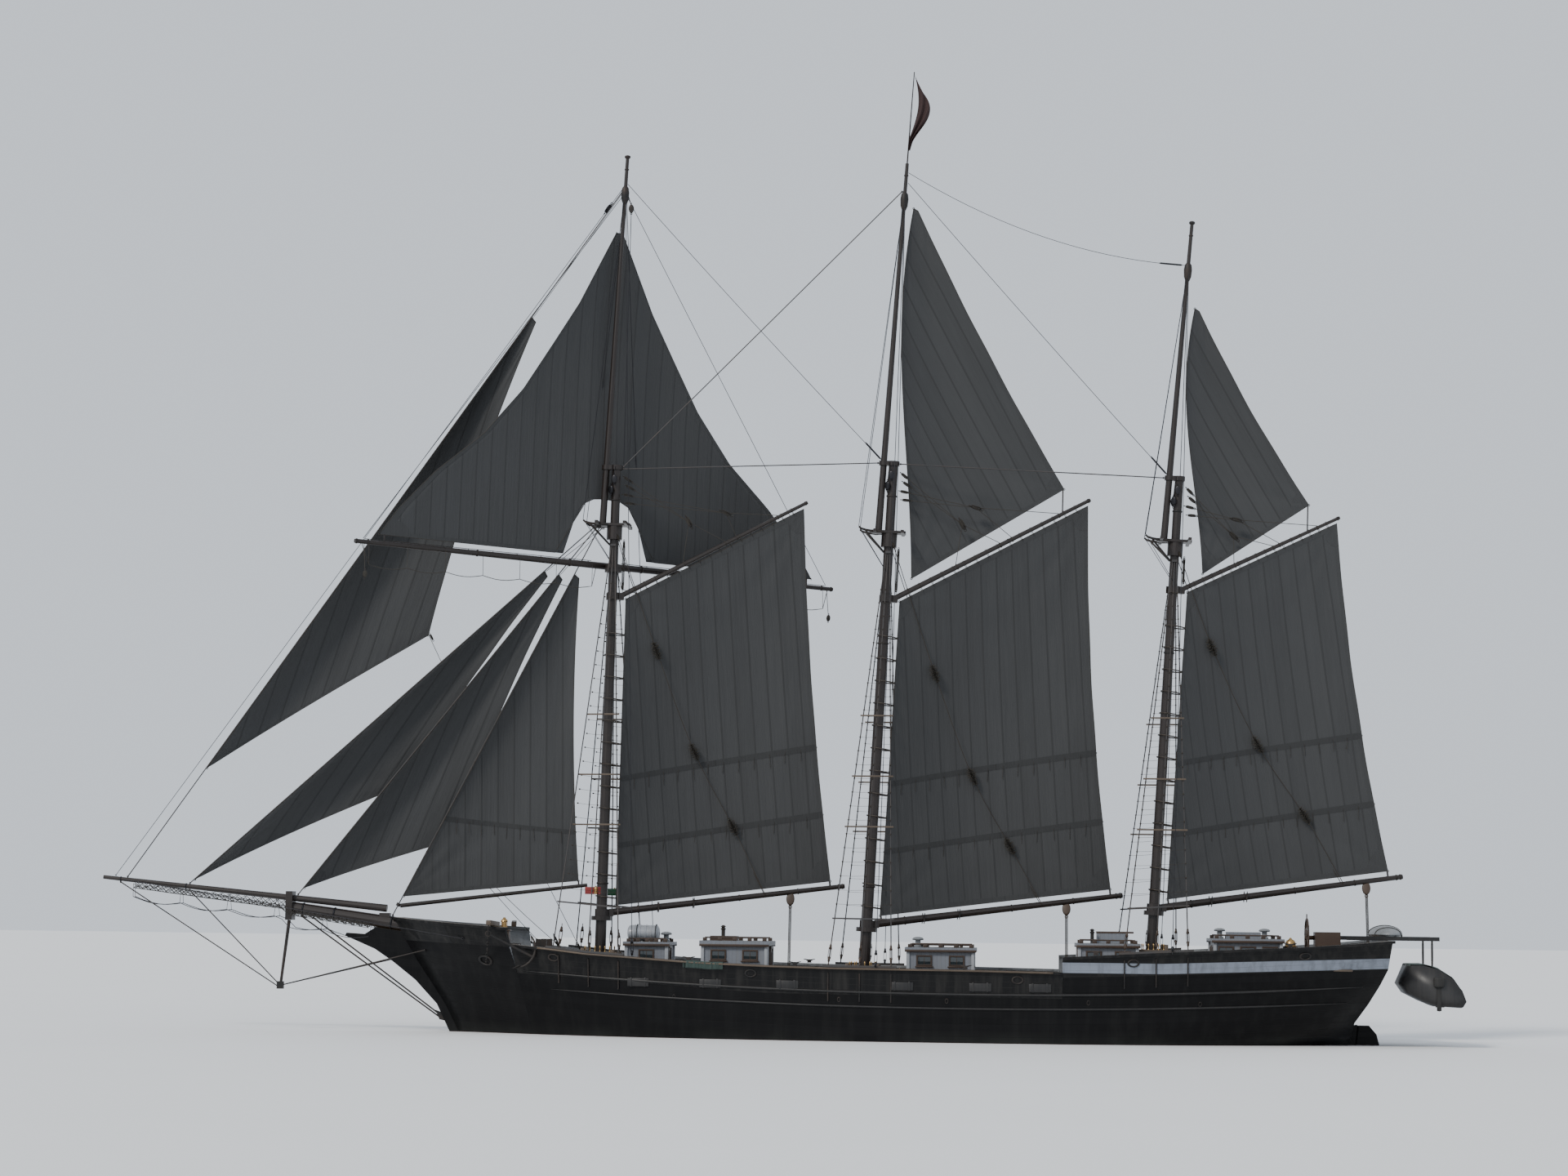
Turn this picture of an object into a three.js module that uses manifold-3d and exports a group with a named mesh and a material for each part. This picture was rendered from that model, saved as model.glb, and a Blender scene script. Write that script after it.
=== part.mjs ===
// A three-masted topsail schooner under sail, at full size.
// Millimetres. X runs aft, Y to starboard and Z up, from the waterline amidships.
import * as THREE from 'three';
import Module from 'manifold-3d';
import { mergeVertices } from 'three/addons/utils/BufferGeometryUtils.js';

const wasm = await Module();
wasm.setup();

// Driving dimensions
const SEAT_GAP = 0.3;
const BOW_STATION = -12350;
const STERN_STATION = 12400;
const FORECASTLE_BREAK = -10100;
const FORECASTLE_EDGE = -10570;
const QUARTERDECK_BREAK = 4500;
const KEEL_HALF_WIDTH = 130;
const BULWARK_THICKNESS = 100;
const RAIL_OVERHANG = 70;
const RAIL_THICKNESS = 70;
const STAY_RADIUS = 16;
const LINE_SIDES = 8;
const EYE_RADIUS = 30;
const MAST_SIDES = 16;
const SPAR_SIDES = 12;
const SAIL_THICKNESS = 16;
const SAIL_PANELS = 6;
const SWING = THREE.MathUtils.degToRad(12);
const YARD_SWING = THREE.MathUtils.degToRad(51);
const STAYSAIL_SWING = THREE.MathUtils.degToRad(8);

// The hull's form. Half breadths are at the rail and at the waterline.
// Fine and round shape the bottom, and flare shapes the side.
const HULL_FORM = [
  { at: -12350, rail: 190, water: 130, keel: -1950, fine: 1.2, round: 1.5, flare: 1.5 },
  { at: -11400, rail: 1180, water: 560, keel: -2020, fine: 1.3, round: 1.4, flare: 1.35 },
  { at: -9800, rail: 2150, water: 1420, keel: -2060, fine: 1.6, round: 1.15, flare: 1.2 },
  { at: -7000, rail: 2850, water: 2420, keel: -2110, fine: 2.1, round: 0.95, flare: 1.1 },
  { at: -3500, rail: 3150, water: 2980, keel: -2170, fine: 2.5, round: 0.85, flare: 1 },
  { at: 0, rail: 3210, water: 3100, keel: -2220, fine: 2.6, round: 0.85, flare: 1 },
  { at: 4500, rail: 3120, water: 2920, keel: -2280, fine: 2.2, round: 1, flare: 0.95 },
  { at: 8000, rail: 2890, water: 2250, keel: -2330, fine: 1.6, round: 1.3, flare: 0.85 },
  { at: 10500, rail: 2640, water: 1280, keel: -2360, fine: 1.25, round: 1.6, flare: 0.7 },
  { at: 12400, rail: 2330, water: 130, keel: -2390, fine: 1.2, round: 1.8, flare: 0.6 },
];
const STATIONS = [
  -12350, -11900, -11200, -10115, -10085, -9300, -8500, -7000, -5300, -3500, -1700, 0,
  2200, 4498, 4502, 6300, 8000, 9300, 10500, 11500, 12400,
];
// The end faces of the hull, seen from the side
const STEM_FACE = [
  { z: -2400, x: -10990 }, { z: -1950, x: -11420 }, { z: -1200, x: -12010 }, { z: 0, x: -12350 },
  { z: 800, x: -12760 }, { z: 1500, x: -13240 }, { z: 2200, x: -13720 }, { z: 3300, x: -14330 },
];
const STERN_FACE = [
  { z: -2500, x: 12150 }, { z: 640, x: 12464 }, { z: 1140, x: 12780 }, { z: 1660, x: 13060 },
  { z: 2080, x: 13250 }, { z: 2500, x: 13330 }, { z: 3000, x: 13340 },
];
const SHEER = [
  { x: -12350, z: 2680 }, { x: -10100, z: 2480 }, { x: -8500, z: 2270 }, { x: -5300, z: 2075 },
  { x: -2600, z: 1985 }, { x: 2500, z: 1960 }, { x: 4500, z: 1930 }, { x: 7500, z: 1970 },
  { x: 10150, z: 2090 }, { x: 12400, z: 2230 },
];
const FORECASTLE_TOP = [{ x: -12350, z: 3180 }, { x: -10100, z: 2930 }];
const QUARTERDECK_TOP = [{ x: 4500, z: 2330 }, { x: 10700, z: 2680 }, { x: 12400, z: 2880 }];
const FORECASTLE_DECK = [{ x: -14500, z: 2560 }, { x: -10650, z: 2400 }];
const MAIN_DECK = [{ x: -10650, z: 1700 }, { x: -3500, z: 1270 }, { x: 4500, z: 1220 }];
const QUARTERDECK = [{ x: 4500, z: 1780 }, { x: 13700, z: 2120 }];

// Keel, stem and sternpost. The cutwater rises from the forefoot to the beak under the bowsprit.
const KEEL_HEEL = { heel: -2500, low: -2650 };
const CUTWATER = [
  { x: -10300, z: -2250 }, { x: -11050, z: -2200 }, { x: -11720, z: -1950 }, { x: -12180, z: -1350 },
  { x: -12470, z: -700 }, { x: -12610, z: 0 }, { x: -12990, z: 770 }, { x: -13620, z: 1430 },
  { x: -14280, z: 1940 }, { x: -14800, z: 2280 }, { x: -15250, z: 2470 }, { x: -15660, z: 2640 },
];
const BEAK_TOP = [[-15620, 2720], [-15100, 2690]];
const BEAK_UNDER_BOWSPRIT = [-14780, -14090];
const STEM_TOP = 2780;

// Rudder hung aft of the sternpost, and the screw's aperture before it
const POST_RAKE = 0.1;
const POST_AFT = 12600;
const POST_HEAD = 560;
const RUDDER_NOSE = 60;
const SCREW_APERTURE = { fore: 11600, aft: 12600, half: 500, low: -2080, high: -920 };
const SHAFT_HEIGHT = -1500;

// Spars: foot is where the mast's axis meets the waterline plane, rake its lean aft
const MASTS = {
  fore: {
    foot: -8440, rake: 0.0155, radius: 160, headRadius: 125, cap: 16100, trees: 14420,
    heelX: -8555, heel: 14560, truckX: -8040, truck: 25080, staff: 0, spreader: 780,
  },
  main: {
    foot: -1060, rake: 0.0486, radius: 165, headRadius: 130, cap: 16250, trees: 14250,
    heelX: -672, heel: 14390, truckX: 40, truck: 24870, staff: 2700, spreader: 470,
  },
  mizzen: {
    foot: 6874, rake: 0.0583, radius: 155, headRadius: 120, cap: 15850, trees: 14040,
    heelX: 7376, heel: 14180, truckX: 8160, truck: 23090, staff: 0, spreader: 780,
  },
};
const TOPMAST_RADIUS = 100;
const CAP_WALL = 45;
const CAP_HEIGHT = 130;
const TRUCK_RADIUS = 50;
const MAST_FOOT = 1200;
const HOUNDS = { reach: 90, drop: 460 };
const TREES_DEPTH = 70;
const SPREADER_DEPTH = 75;
const SPREADER_LENGTH = 90;
const HEEL_RISE = 12;
const SADDLE_DEPTH = 120;

// Sail plans in the plane of each mast: r is measured aft of the mast's axis, h along it
const GAFF_RIGS = {
  fore: {
    sail: 'foresail', boomHeight: 3390, boomEnd: [6910, 4320], boomRadius: 100, gaffHeight: 12350,
    gaffEnd: [5540, 15290], gaffRadius: 75, tackR: 420, clewR: 6520, throatR: 320, peakR: 5380,
    foot: 185, belly: 520, leech: -140, jawReach: 330,
  },
  main: {
    sail: 'mainsail', boomHeight: 3170, boomEnd: [7280, 4400], boomRadius: 110, gaffHeight: 12340,
    gaffEnd: [5760, 15600], gaffRadius: 80, tackR: 400, clewR: 6960, throatR: 330, peakR: 5640,
    foot: 210, belly: 560, leech: -200, jawReach: 330,
  },
  mizzen: {
    sail: 'mizzen_sail', boomHeight: 3730, boomEnd: [7110, 5080], boomRadius: 105, gaffHeight: 12640,
    gaffEnd: [4730, 15090], gaffRadius: 70, tackR: 400, clewR: 6720, throatR: 360, peakR: 4600,
    foot: 210, belly: 520, leech: -190, jawReach: 330,
  },
};
const TOPSAILS = {
  main: { tack: [720, 12960], clew: [5000, 15860], head: [170, 23620], belly: 330, hollow: 430 },
  mizzen: { tack: [860, 13160], clew: [3840, 15380], head: [190, 20700], belly: 260, hollow: 430 },
};
const TOPSAIL_SIDE = 90;
const JAW_DROP = 110;
const JAW_CLEARANCE = 7;
const JAW_THICKNESS = 75;
const JAW_RISE = 90;

// Head gear on the centreline, X and Z
const BOWSPRIT = { heel: [-13000, 2830], end: [-17300, 3420], radius: 190, endRadius: 165 };
const JIB_BOOM = { heel: [-14500, 3420], end: [-22700, 4210], radius: 105, endRadius: 55 };
const BOWSPRIT_HOLE = 8;
const BOWSPRIT_CAP = { fore: -17370, aft: -17180, half: 230, low: 3060, high: 3870 };
const CHOCK = { fore: -14700, aft: -14400, half: 120, low: 3000, high: 3290 };

// The dolphin striker: its stays run to the jib boom and to the bows
const STRIKER = { head: [-17300, 3054], foot: [-17495, 1230], radius: 50, footRadius: 40 };
const STRIKER_BLOCK = { fore: -17590, aft: -17410, half: 75, low: 1120, high: 1330 };
const STRIKER_STAYS = [{ from: [-17520, 1160], boom: -22200 }, { from: [-17520, 1230], boom: -20200 }];
const STRIKER_GUY = { x: -17470, half: 35, z: 1225, station: -11900, height: 2280 };
const BOBSTAY_RADIUS = 22;
const BOBSTAY_PLATE = { low: 290, high: 530, reach: 170, half: 32 };
const BOBSTAYS = [{ stem: 345, bowsprit: -16950 }, { stem: 455, bowsprit: -16600 }];

// The fore stay and the two jib stays: their feet along X, and their heads in a row under the crosstrees
const HEAD_STAY_FEET = [-14330, -17060, -20190];
const HEAD_STAY_PLATE = { r: -430, spacing: 75, over: 45, half: 25, height: 2 * EYE_RADIUS };

const YARD = { height: 13230, half: 8000, offset: 420, radius: 100, endRadius: 60, drop: 90, posts: 7080 };

const COLOURS = {
  hull: 0x15161a, white: 0xd9dcdf, timber: 0x4a3a28, spar: 0x5d4a33, sail: 0x6b6a58,
  wire: 0x24262a, house: 0xb9bfc4, iron: 0x2c2e31, bronze: 0x8a6a3c, boat: 0x8d9296,
};

const group = new THREE.Group();

function material(colour, roughness = 0.7, metalness = 0) {
  return new THREE.MeshStandardMaterial({ color: colour, roughness, metalness });
}

function addMesh(parent, name, geometry, colour, roughness, metalness) {
  const mesh = new THREE.Mesh(geometry, material(colour, roughness, metalness));
  mesh.name = name;
  parent.add(mesh);
  return mesh;
}

// Interpolation along tables that are sorted by their key

function linear(table, key, value, at) {
  let i = 1;
  while (i < table.length - 1 && at > table[i][key]) i += 1;
  const [low, high] = [table[i - 1], table[i]];
  const t = (at - low[key]) / (high[key] - low[key]);
  return low[value] + t * (high[value] - low[value]);
}

function smooth(table, key, value, at) {
  let i = 1;
  while (i < table.length - 1 && at > table[i][key]) i += 1;
  const rows = [table[Math.max(i - 2, 0)], table[i - 1], table[i], table[Math.min(i + 1, table.length - 1)]];
  const span = rows[2][key] - rows[1][key];
  const slope = (a, b) => (b[value] - a[value]) / (b[key] - a[key]);
  const startSlope = slope(rows[0], rows[2]);
  const endSlope = slope(rows[1], rows[3]);
  const t = THREE.MathUtils.clamp((at - rows[1][key]) / span, 0, 1);
  const rest = 1 - t;
  return rows[1][value] * rest * rest * (1 + 2 * t) + startSlope * span * t * rest * rest
    + rows[2][value] * t * t * (3 - 2 * t) - endSlope * span * t * t * rest;
}

// Closed geometry

function geometryFrom(positions, triangles) {
  const geometry = new THREE.BufferGeometry();
  geometry.setAttribute('position', new THREE.Float32BufferAttribute(positions, 3));
  geometry.setIndex(triangles);
  return geometry;
}

function signedVolume(points, triangles) {
  let total = 0;
  for (let i = 0; i < triangles.length; i += 3) {
    const [a, b, c] = [points[triangles[i]], points[triangles[i + 1]], points[triangles[i + 2]]];
    total += a.dot(new THREE.Vector3().crossVectors(b, c));
  }
  return total;
}

// Triangles that close a ring of a few corners, flattened along the direction that it faces most
function capTriangles(ring) {
  const normal = new THREE.Vector3();
  ring.forEach((p, i) => {
    const q = ring[(i + 1) % ring.length];
    normal.x += (p.y - q.y) * (p.z + q.z);
    normal.y += (p.z - q.z) * (p.x + q.x);
    normal.z += (p.x - q.x) * (p.y + q.y);
  });
  const size = [Math.abs(normal.x), Math.abs(normal.y), Math.abs(normal.z)];
  const facing = size.indexOf(Math.max(...size));
  const flat = ring.map((p) => {
    if (facing === 0) return new THREE.Vector2(p.y, p.z);
    if (facing === 1) return new THREE.Vector2(p.z, p.x);
    return new THREE.Vector2(p.x, p.y);
  });
  const turned = THREE.ShapeUtils.area(flat) < 0;
  const faces = THREE.ShapeUtils.triangulateShape(flat, []);
  return faces.map((face) => (isLikeRing(flat, face, turned) ? face : [face[0], face[2], face[1]]));
}

function isLikeRing(flat, [a, b, c], turned) {
  return (THREE.ShapeUtils.area([flat[a], flat[b], flat[c]]) < 0) === turned;
}

// Triangles that close a ring whose second half runs back beside its first half
function ladderTriangles(ring) {
  const last = ring.length - 1;
  return Array.from({ length: ring.length / 2 - 1 }, (_, i) => [
    [i, i + 1, last - i - 1], [i, last - i - 1, last - i],
  ]).flat();
}

// A closed solid through rings of points that match one another
function loft(rings, close = capTriangles) {
  const count = rings[0].length;
  const points = rings.flat();
  const triangles = [];
  for (let i = 0; i < rings.length - 1; i += 1) {
    for (let j = 0; j < count; j += 1) {
      const [a, b] = [i * count + j, i * count + ((j + 1) % count)];
      triangles.push(a, b, b + count, a, b + count, a + count);
    }
  }
  const last = (rings.length - 1) * count;
  close(rings[0]).forEach(([a, b, c]) => triangles.push(a, c, b));
  close(rings.at(-1)).forEach(([a, b, c]) => triangles.push(a + last, b + last, c + last));
  if (signedVolume(points, triangles) < 0) triangles.reverse();
  return geometryFrom(points.flatMap((p) => [p.x, p.y, p.z]), triangles);
}

// A closed sheet between two grids of points, whose faces are halved along the same diagonals on both sides
function cloth(front, back) {
  const [rows, columns] = [front.length, front[0].length];
  const points = [...front.flat(), ...back.flat()];
  const behind = rows * columns;
  const at = (i, j) => i * columns + j;
  const triangles = [];
  for (let i = 0; i < rows - 1; i += 1) {
    for (let j = 0; j < columns - 1; j += 1) {
      const [a, b, c, d] = [at(i, j), at(i, j + 1), at(i + 1, j + 1), at(i + 1, j)];
      triangles.push(a, b, c, a, c, d, ...[a, c, b, a, d, c].map((k) => k + behind));
    }
  }
  const along = (i) => Array.from({ length: columns - 1 }, (_, j) => at(i, j));
  const up = (j) => Array.from({ length: rows - 1 }, (_, i) => at(i, j));
  const edge = [
    ...along(0), ...up(columns - 1), ...along(rows - 1).map((k) => k + 1).reverse(),
    ...up(0).map((k) => k + columns).reverse(),
  ];
  edge.forEach((p, i) => {
    const q = edge[(i + 1) % edge.length];
    triangles.push(q, p, p + behind, q, p + behind, q + behind);
  });
  if (signedVolume(points, triangles) < 0) triangles.reverse();
  return geometryFrom(points.flatMap((p) => [p.x, p.y, p.z]), triangles);
}

function solidOf(geometry) {
  const bare = geometry.clone();
  bare.deleteAttribute('normal');
  bare.deleteAttribute('uv');
  const merged = mergeVertices(bare, 0.001);
  return new wasm.Manifold(new wasm.Mesh({
    numProp: 3,
    vertProperties: new Float32Array(merged.attributes.position.array),
    triVerts: new Uint32Array(merged.index.array),
  }));
}

function geometryOf(solid) {
  const mesh = solid.getMesh();
  return geometryFrom(Array.from(mesh.vertProperties), Array.from(mesh.triVerts));
}

function join(...geometries) {
  return geometryOf(geometries.map(solidOf).reduce((whole, piece) => whole.add(piece)));
}

function cut(geometry, ...tools) {
  return geometryOf(tools.map(solidOf).reduce((whole, tool) => whole.subtract(tool), solidOf(geometry)));
}

// Simple shapes, placed where they belong

function point(x, y, z) {
  return new THREE.Vector3(x, y, z);
}

// A round bar between two points, with a corner of its section on each axis across it
function bar(from, to, radius, endRadius = radius, sides = SPAR_SIDES) {
  const along = to.clone().sub(from);
  const geometry = new THREE.CylinderGeometry(endRadius, radius, along.length(), sides);
  const way = along.clone().normalize();
  const reference = Math.abs(way.z) > 0.9 ? point(1, 0, 0) : point(0, 0, 1);
  const up = reference.addScaledVector(way, -reference.dot(way)).normalize();
  geometry.applyMatrix4(new THREE.Matrix4().makeBasis(way.clone().cross(up), way, up));
  return geometry.translate(...from.clone().add(to).multiplyScalar(0.5).toArray());
}

// A taut line with a round eye about its end, and about its start unless that lies inside another piece.
// The angles are those of an eye's rings from its tip.
const EYE_ANGLES = [5, 20, 35, 50, 65, 80, 110];

function line(from, to, radius = STAY_RADIUS, startEye = true) {
  const along = to.clone().sub(from);
  const length = along.length();
  const way = along.normalize();
  const reference = Math.abs(way.z) > 0.9 ? point(1, 0, 0) : point(0, 0, 1);
  const up = reference.addScaledVector(way, -reference.dot(way)).normalize();
  const side = way.clone().cross(up);
  const eye = EYE_ANGLES.map(THREE.MathUtils.degToRad).map((angle) => (
    { r: EYE_RADIUS * Math.sin(angle), t: EYE_RADIUS * Math.cos(angle) }
  ));
  eye.push({ r: radius, t: -Math.sqrt(EYE_RADIUS ** 2 - radius ** 2) });
  const start = startEye ? eye.map(({ r, t }) => ({ r, t: -t })) : [{ r: radius, t: 0 }];
  const end = eye.map(({ r, t }) => ({ r, t: length + t })).reverse();
  return loft([...start, ...end].map(({ r, t }) => Array.from({ length: LINE_SIDES }, (_, i) => {
    const angle = 2 * Math.PI * i / LINE_SIDES;
    return from.clone().addScaledVector(way, t)
      .addScaledVector(up, r * Math.cos(angle)).addScaledVector(side, r * Math.sin(angle));
  })));
}

function box(x0, x1, y0, y1, z0, z1) {
  const geometry = new THREE.BoxGeometry(x1 - x0, y1 - y0, z1 - z0);
  return geometry.translate((x0 + x1) / 2, (y0 + y1) / 2, (z0 + z1) / 2);
}

function uprightBlock({ fore, aft, half, low, high }) {
  return box(fore, aft, -half, half, low, high);
}

function sidePlate(outline, halfWidth) {
  const shape = new THREE.Shape(outline.map(([x, z]) => new THREE.Vector2(x, z)));
  const geometry = new THREE.ExtrudeGeometry(shape, { depth: 2 * halfWidth, bevelEnabled: false });
  return geometry.rotateX(Math.PI / 2).translate(0, halfWidth, 0);
}

// The hull's surface

function fade(station, from, to) {
  const t = THREE.MathUtils.clamp((station - from) / (to - from), 0, 1);
  return t * t * (3 - 2 * t);
}

function lengthwise(station, z) {
  const bow = fade(station, -8500, BOW_STATION) * (linear(STEM_FACE, 'z', 'x', z) - BOW_STATION);
  const stern = fade(station, 9300, STERN_STATION) * (linear(STERN_FACE, 'z', 'x', z) - STERN_STATION);
  return station + bow + stern;
}

function halfBreadth(station, z) {
  const form = (value) => smooth(HULL_FORM, 'at', value, station);
  const [rail, water, keel] = [form('rail'), form('water'), form('keel')];
  if (z < 0) {
    const depth = Math.min(z / keel, 1);
    return KEEL_HALF_WIDTH + (water - KEEL_HALF_WIDTH) * (1 - depth ** form('fine')) ** form('round');
  }
  return water + (rail - water) * (z / linear(SHEER, 'x', 'z', station)) ** form('flare');
}

function hullPoint(station, z, side) {
  return point(lengthwise(station, z), side * halfBreadth(station, z), z);
}

// Deck height at a place on the ship, and on the hull's edge at a station
function deckHeight(x) {
  if (x < FORECASTLE_EDGE) return linear(FORECASTLE_DECK, 'x', 'z', x);
  if (x < QUARTERDECK_BREAK) return linear(MAIN_DECK, 'x', 'z', x);
  return linear(QUARTERDECK, 'x', 'z', x);
}

function deckEdge(station) {
  let deck = MAIN_DECK;
  if (station < FORECASTLE_BREAK) deck = FORECASTLE_DECK;
  if (station > QUARTERDECK_BREAK) deck = QUARTERDECK;
  let z = linear(deck, 'x', 'z', station);
  for (let i = 0; i < 20; i += 1) z = linear(deck, 'x', 'z', lengthwise(station, z));
  return z;
}

function keelHeight(station) {
  return smooth(HULL_FORM, 'at', 'keel', station);
}

const UNDERWATER_STEPS = [0, 0.03, 0.09, 0.19, 0.33, 0.5, 0.66, 0.8, 0.91, 1];
const TOPSIDE_STEPS = [0.12, 0.3, 0.55, 0.8, 1];

function sideHeights(station) {
  const [keel, deck] = [keelHeight(station), deckEdge(station)];
  return [...UNDERWATER_STEPS.map((t) => keel * (1 - t)), ...TOPSIDE_STEPS.map((t) => deck * t)];
}

function hullRing(station) {
  const heights = sideHeights(station);
  const starboard = heights.map((z) => hullPoint(station, z, 1));
  const port = heights.map((z) => hullPoint(station, z, -1)).reverse();
  return [...starboard, ...port];
}

function buildHull() {
  const body = loft(STATIONS.map(hullRing), ladderTriangles);
  const { fore, aft, half, low, high } = SCREW_APERTURE;
  addMesh(group, 'hull', cut(body, box(fore, aft, -half, half, low, high)), COLOURS.hull, 0.5);
}

// Stem, keel and sternpost in one outline, round the hull's own edge with a hair's clearance
function buildKeel() {
  const underBowsprit = (x) => [x, bowspritUnderside(x) - 2 * SEAT_GAP];
  const stem = [STEM_TOP, ...sideHeights(BOW_STATION).reverse()];
  const inner = stem.map((z) => [lengthwise(BOW_STATION, z) - 2 * SEAT_GAP, z]);
  STATIONS.forEach((station) => {
    const z = keelHeight(station);
    inner.push([lengthwise(station, z), z - 2 * SEAT_GAP]);
  });
  const postInside = (z) => STERN_STATION + POST_RAKE * z + SEAT_GAP;
  const postAft = (z) => POST_AFT + POST_RAKE * z;
  const postFoot = keelHeight(STERN_STATION);
  inner.push([postInside(postFoot), postFoot], [postInside(POST_HEAD - 40), POST_HEAD - 40]);
  const { heel, low } = KEEL_HEEL;
  const outer = [
    [postAft(POST_HEAD), POST_HEAD], [postAft(heel), heel], [postAft(heel), low],
    ...CUTWATER.map(({ x, z }) => [x, z]), ...BEAK_TOP, ...BEAK_UNDER_BOWSPRIT.map(underBowsprit),
  ];
  addMesh(group, 'stem_and_keel', sidePlate([...inner, ...outer], KEEL_HALF_WIDTH), COLOURS.hull, 0.6);
}

// A bulwark with its rail, along points on the hull's side. Its section's columns are
// lift: 0 at the foot, 1 under the rail, 2 on top of it, and inset: the distance inboard.
const RAIL_INSIDE = BULWARK_THICKNESS + RAIL_OVERHANG;
const BULWARK_SECTION = [
  { lift: 0, inset: 0 }, { lift: 1, inset: 0 },
  { lift: 1, inset: -RAIL_OVERHANG }, { lift: 2, inset: -RAIL_OVERHANG },
  { lift: 2, inset: RAIL_INSIDE }, { lift: 1, inset: RAIL_INSIDE },
  { lift: 1, inset: BULWARK_THICKNESS }, { lift: 0, inset: BULWARK_THICKNESS },
];

function inwardNormals(path) {
  const across = (a, b) => point(a.y - b.y, b.x - a.x, 0).normalize();
  return path.map((p, i) => {
    const before = across(path[Math.max(i - 1, 0)], path[Math.max(i, 1)]);
    const after = across(path[Math.min(i, path.length - 2)], path[Math.min(i + 1, path.length - 1)]);
    const middle = before.clone().add(after).normalize();
    return middle.divideScalar(Math.max(middle.dot(before), 0.3));
  });
}

// posts: the foot and the top of the wall's outer face at each place, in order along the wall
function wall(posts, inward) {
  const normals = inwardNormals(posts.map((post) => post.top));
  return loft(posts.map(({ foot, top }, i) => {
    const underRail = top.clone().lerp(foot, RAIL_THICKNESS / (top.z - foot.z));
    const levels = [foot, underRail, top];
    return BULWARK_SECTION.map(({ lift, inset }) => {
      const flat = lift === 2 ? point(underRail.x, underRail.y, top.z) : levels[lift];
      return flat.clone().addScaledVector(normals[i], inset * inward);
    });
  }));
}

// The top of the rail between two of the hull's sections, over the outside of the bulwark
function railPoint(station, side) {
  const table = station > QUARTERDECK_BREAK ? QUARTERDECK_TOP : SHEER;
  const i = STATIONS.findIndex((s) => s >= station);
  const [before, after] = [STATIONS[i - 1], STATIONS[i]].map((s) => {
    const { top } = postAt(s, linear(table, 'x', 'z', s), side);
    return top;
  });
  return before.lerp(after, (station - STATIONS[i - 1]) / (STATIONS[i] - STATIONS[i - 1]));
}

function postAt(station, topZ, side) {
  const footZ = deckEdge(station) + SEAT_GAP;
  return { foot: hullPoint(station, footZ, side), top: hullPoint(station, topZ, side) };
}

function buildBulwarks() {
  const amidships = STATIONS.filter((s) => s > FORECASTLE_BREAK && s < QUARTERDECK_BREAK);
  [['port', -1], ['starboard', 1]].forEach(([name, side]) => {
    const posts = amidships.map((s) => postAt(s, linear(SHEER, 'x', 'z', s), side));
    addMesh(group, `bulwark_${name}`, wall(posts, -side), COLOURS.hull, 0.5);
  });
  const forward = STATIONS.filter((s) => s < FORECASTLE_BREAK).reverse();
  const forecastlePost = (side) => (s) => postAt(s, linear(FORECASTLE_TOP, 'x', 'z', s), side);
  const bow = [...forward.map(forecastlePost(-1)), ...forward.map(forecastlePost(1)).reverse()];
  const aft = STATIONS.filter((s) => s > QUARTERDECK_BREAK);
  const quarterPost = (side) => (s) => postAt(s, linear(QUARTERDECK_TOP, 'x', 'z', s), side);
  const stern = [...aft.map(quarterPost(1)), ...aft.map(quarterPost(-1)).reverse()];
  const [thick, thin] = [BOWSPRIT.radius + BOWSPRIT_HOLE, BOWSPRIT.endRadius + BOWSPRIT_HOLE];
  const bowsprit = bar(onBowsprit(-0.3), onBowsprit(1), thick, thin, MAST_SIDES);
  addMesh(group, 'forecastle_bulwark', cut(wall(bow, -1), bowsprit), COLOURS.hull, 0.5);
  addMesh(group, 'quarterdeck_bulwark', wall(stern, -1), COLOURS.white, 0.5);
}

// Bowsprit and what it carries

function onBowsprit(t) {
  const [heel, end] = [BOWSPRIT.heel, BOWSPRIT.end];
  return point(heel[0] + t * (end[0] - heel[0]), 0, heel[1] + t * (end[1] - heel[1]));
}

function bowspritUnderside(x) {
  const t = (x - BOWSPRIT.heel[0]) / (BOWSPRIT.end[0] - BOWSPRIT.heel[0]);
  const slope = (BOWSPRIT.end[1] - BOWSPRIT.heel[1]) / (BOWSPRIT.end[0] - BOWSPRIT.heel[0]);
  const radius = BOWSPRIT.radius + t * (BOWSPRIT.endRadius - BOWSPRIT.radius);
  return onBowsprit(t).z - radius * Math.hypot(1, slope);
}

function onJibBoom(x) {
  const [heel, end] = [JIB_BOOM.heel, JIB_BOOM.end];
  const t = (x - heel[0]) / (end[0] - heel[0]);
  const radius = JIB_BOOM.radius + t * (JIB_BOOM.endRadius - JIB_BOOM.radius);
  return { axis: point(x, 0, heel[1] + t * (end[1] - heel[1])), radius };
}

function onTopOfJibBoom(x) {
  const { axis, radius } = onJibBoom(x);
  return axis.clone().add(point(0, 0, radius + EYE_RADIUS + 2 * SEAT_GAP));
}

// An eye of a stay that meets the underside of the jib boom or of the bowsprit
function underJibBoom(x) {
  const { axis, radius } = onJibBoom(x);
  return axis.clone().sub(point(0, 0, radius + EYE_RADIUS + 2 * SEAT_GAP));
}

function underBowsprit(x) {
  return point(x, 0, bowspritUnderside(x) - EYE_RADIUS - 2 * SEAT_GAP);
}

// The centre of an eye that lies against the hull's side
function besideHull(station, z, side) {
  const along = hullPoint(station + 50, z, side).sub(hullPoint(station - 50, z, side));
  const rise = hullPoint(station, z + 50, side).sub(hullPoint(station, z - 50, side));
  const outward = along.cross(rise).normalize();
  if (outward.y * side < 0) outward.negate();
  return hullPoint(station, z, side).addScaledVector(outward, EYE_RADIUS + 4 * SEAT_GAP);
}

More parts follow.
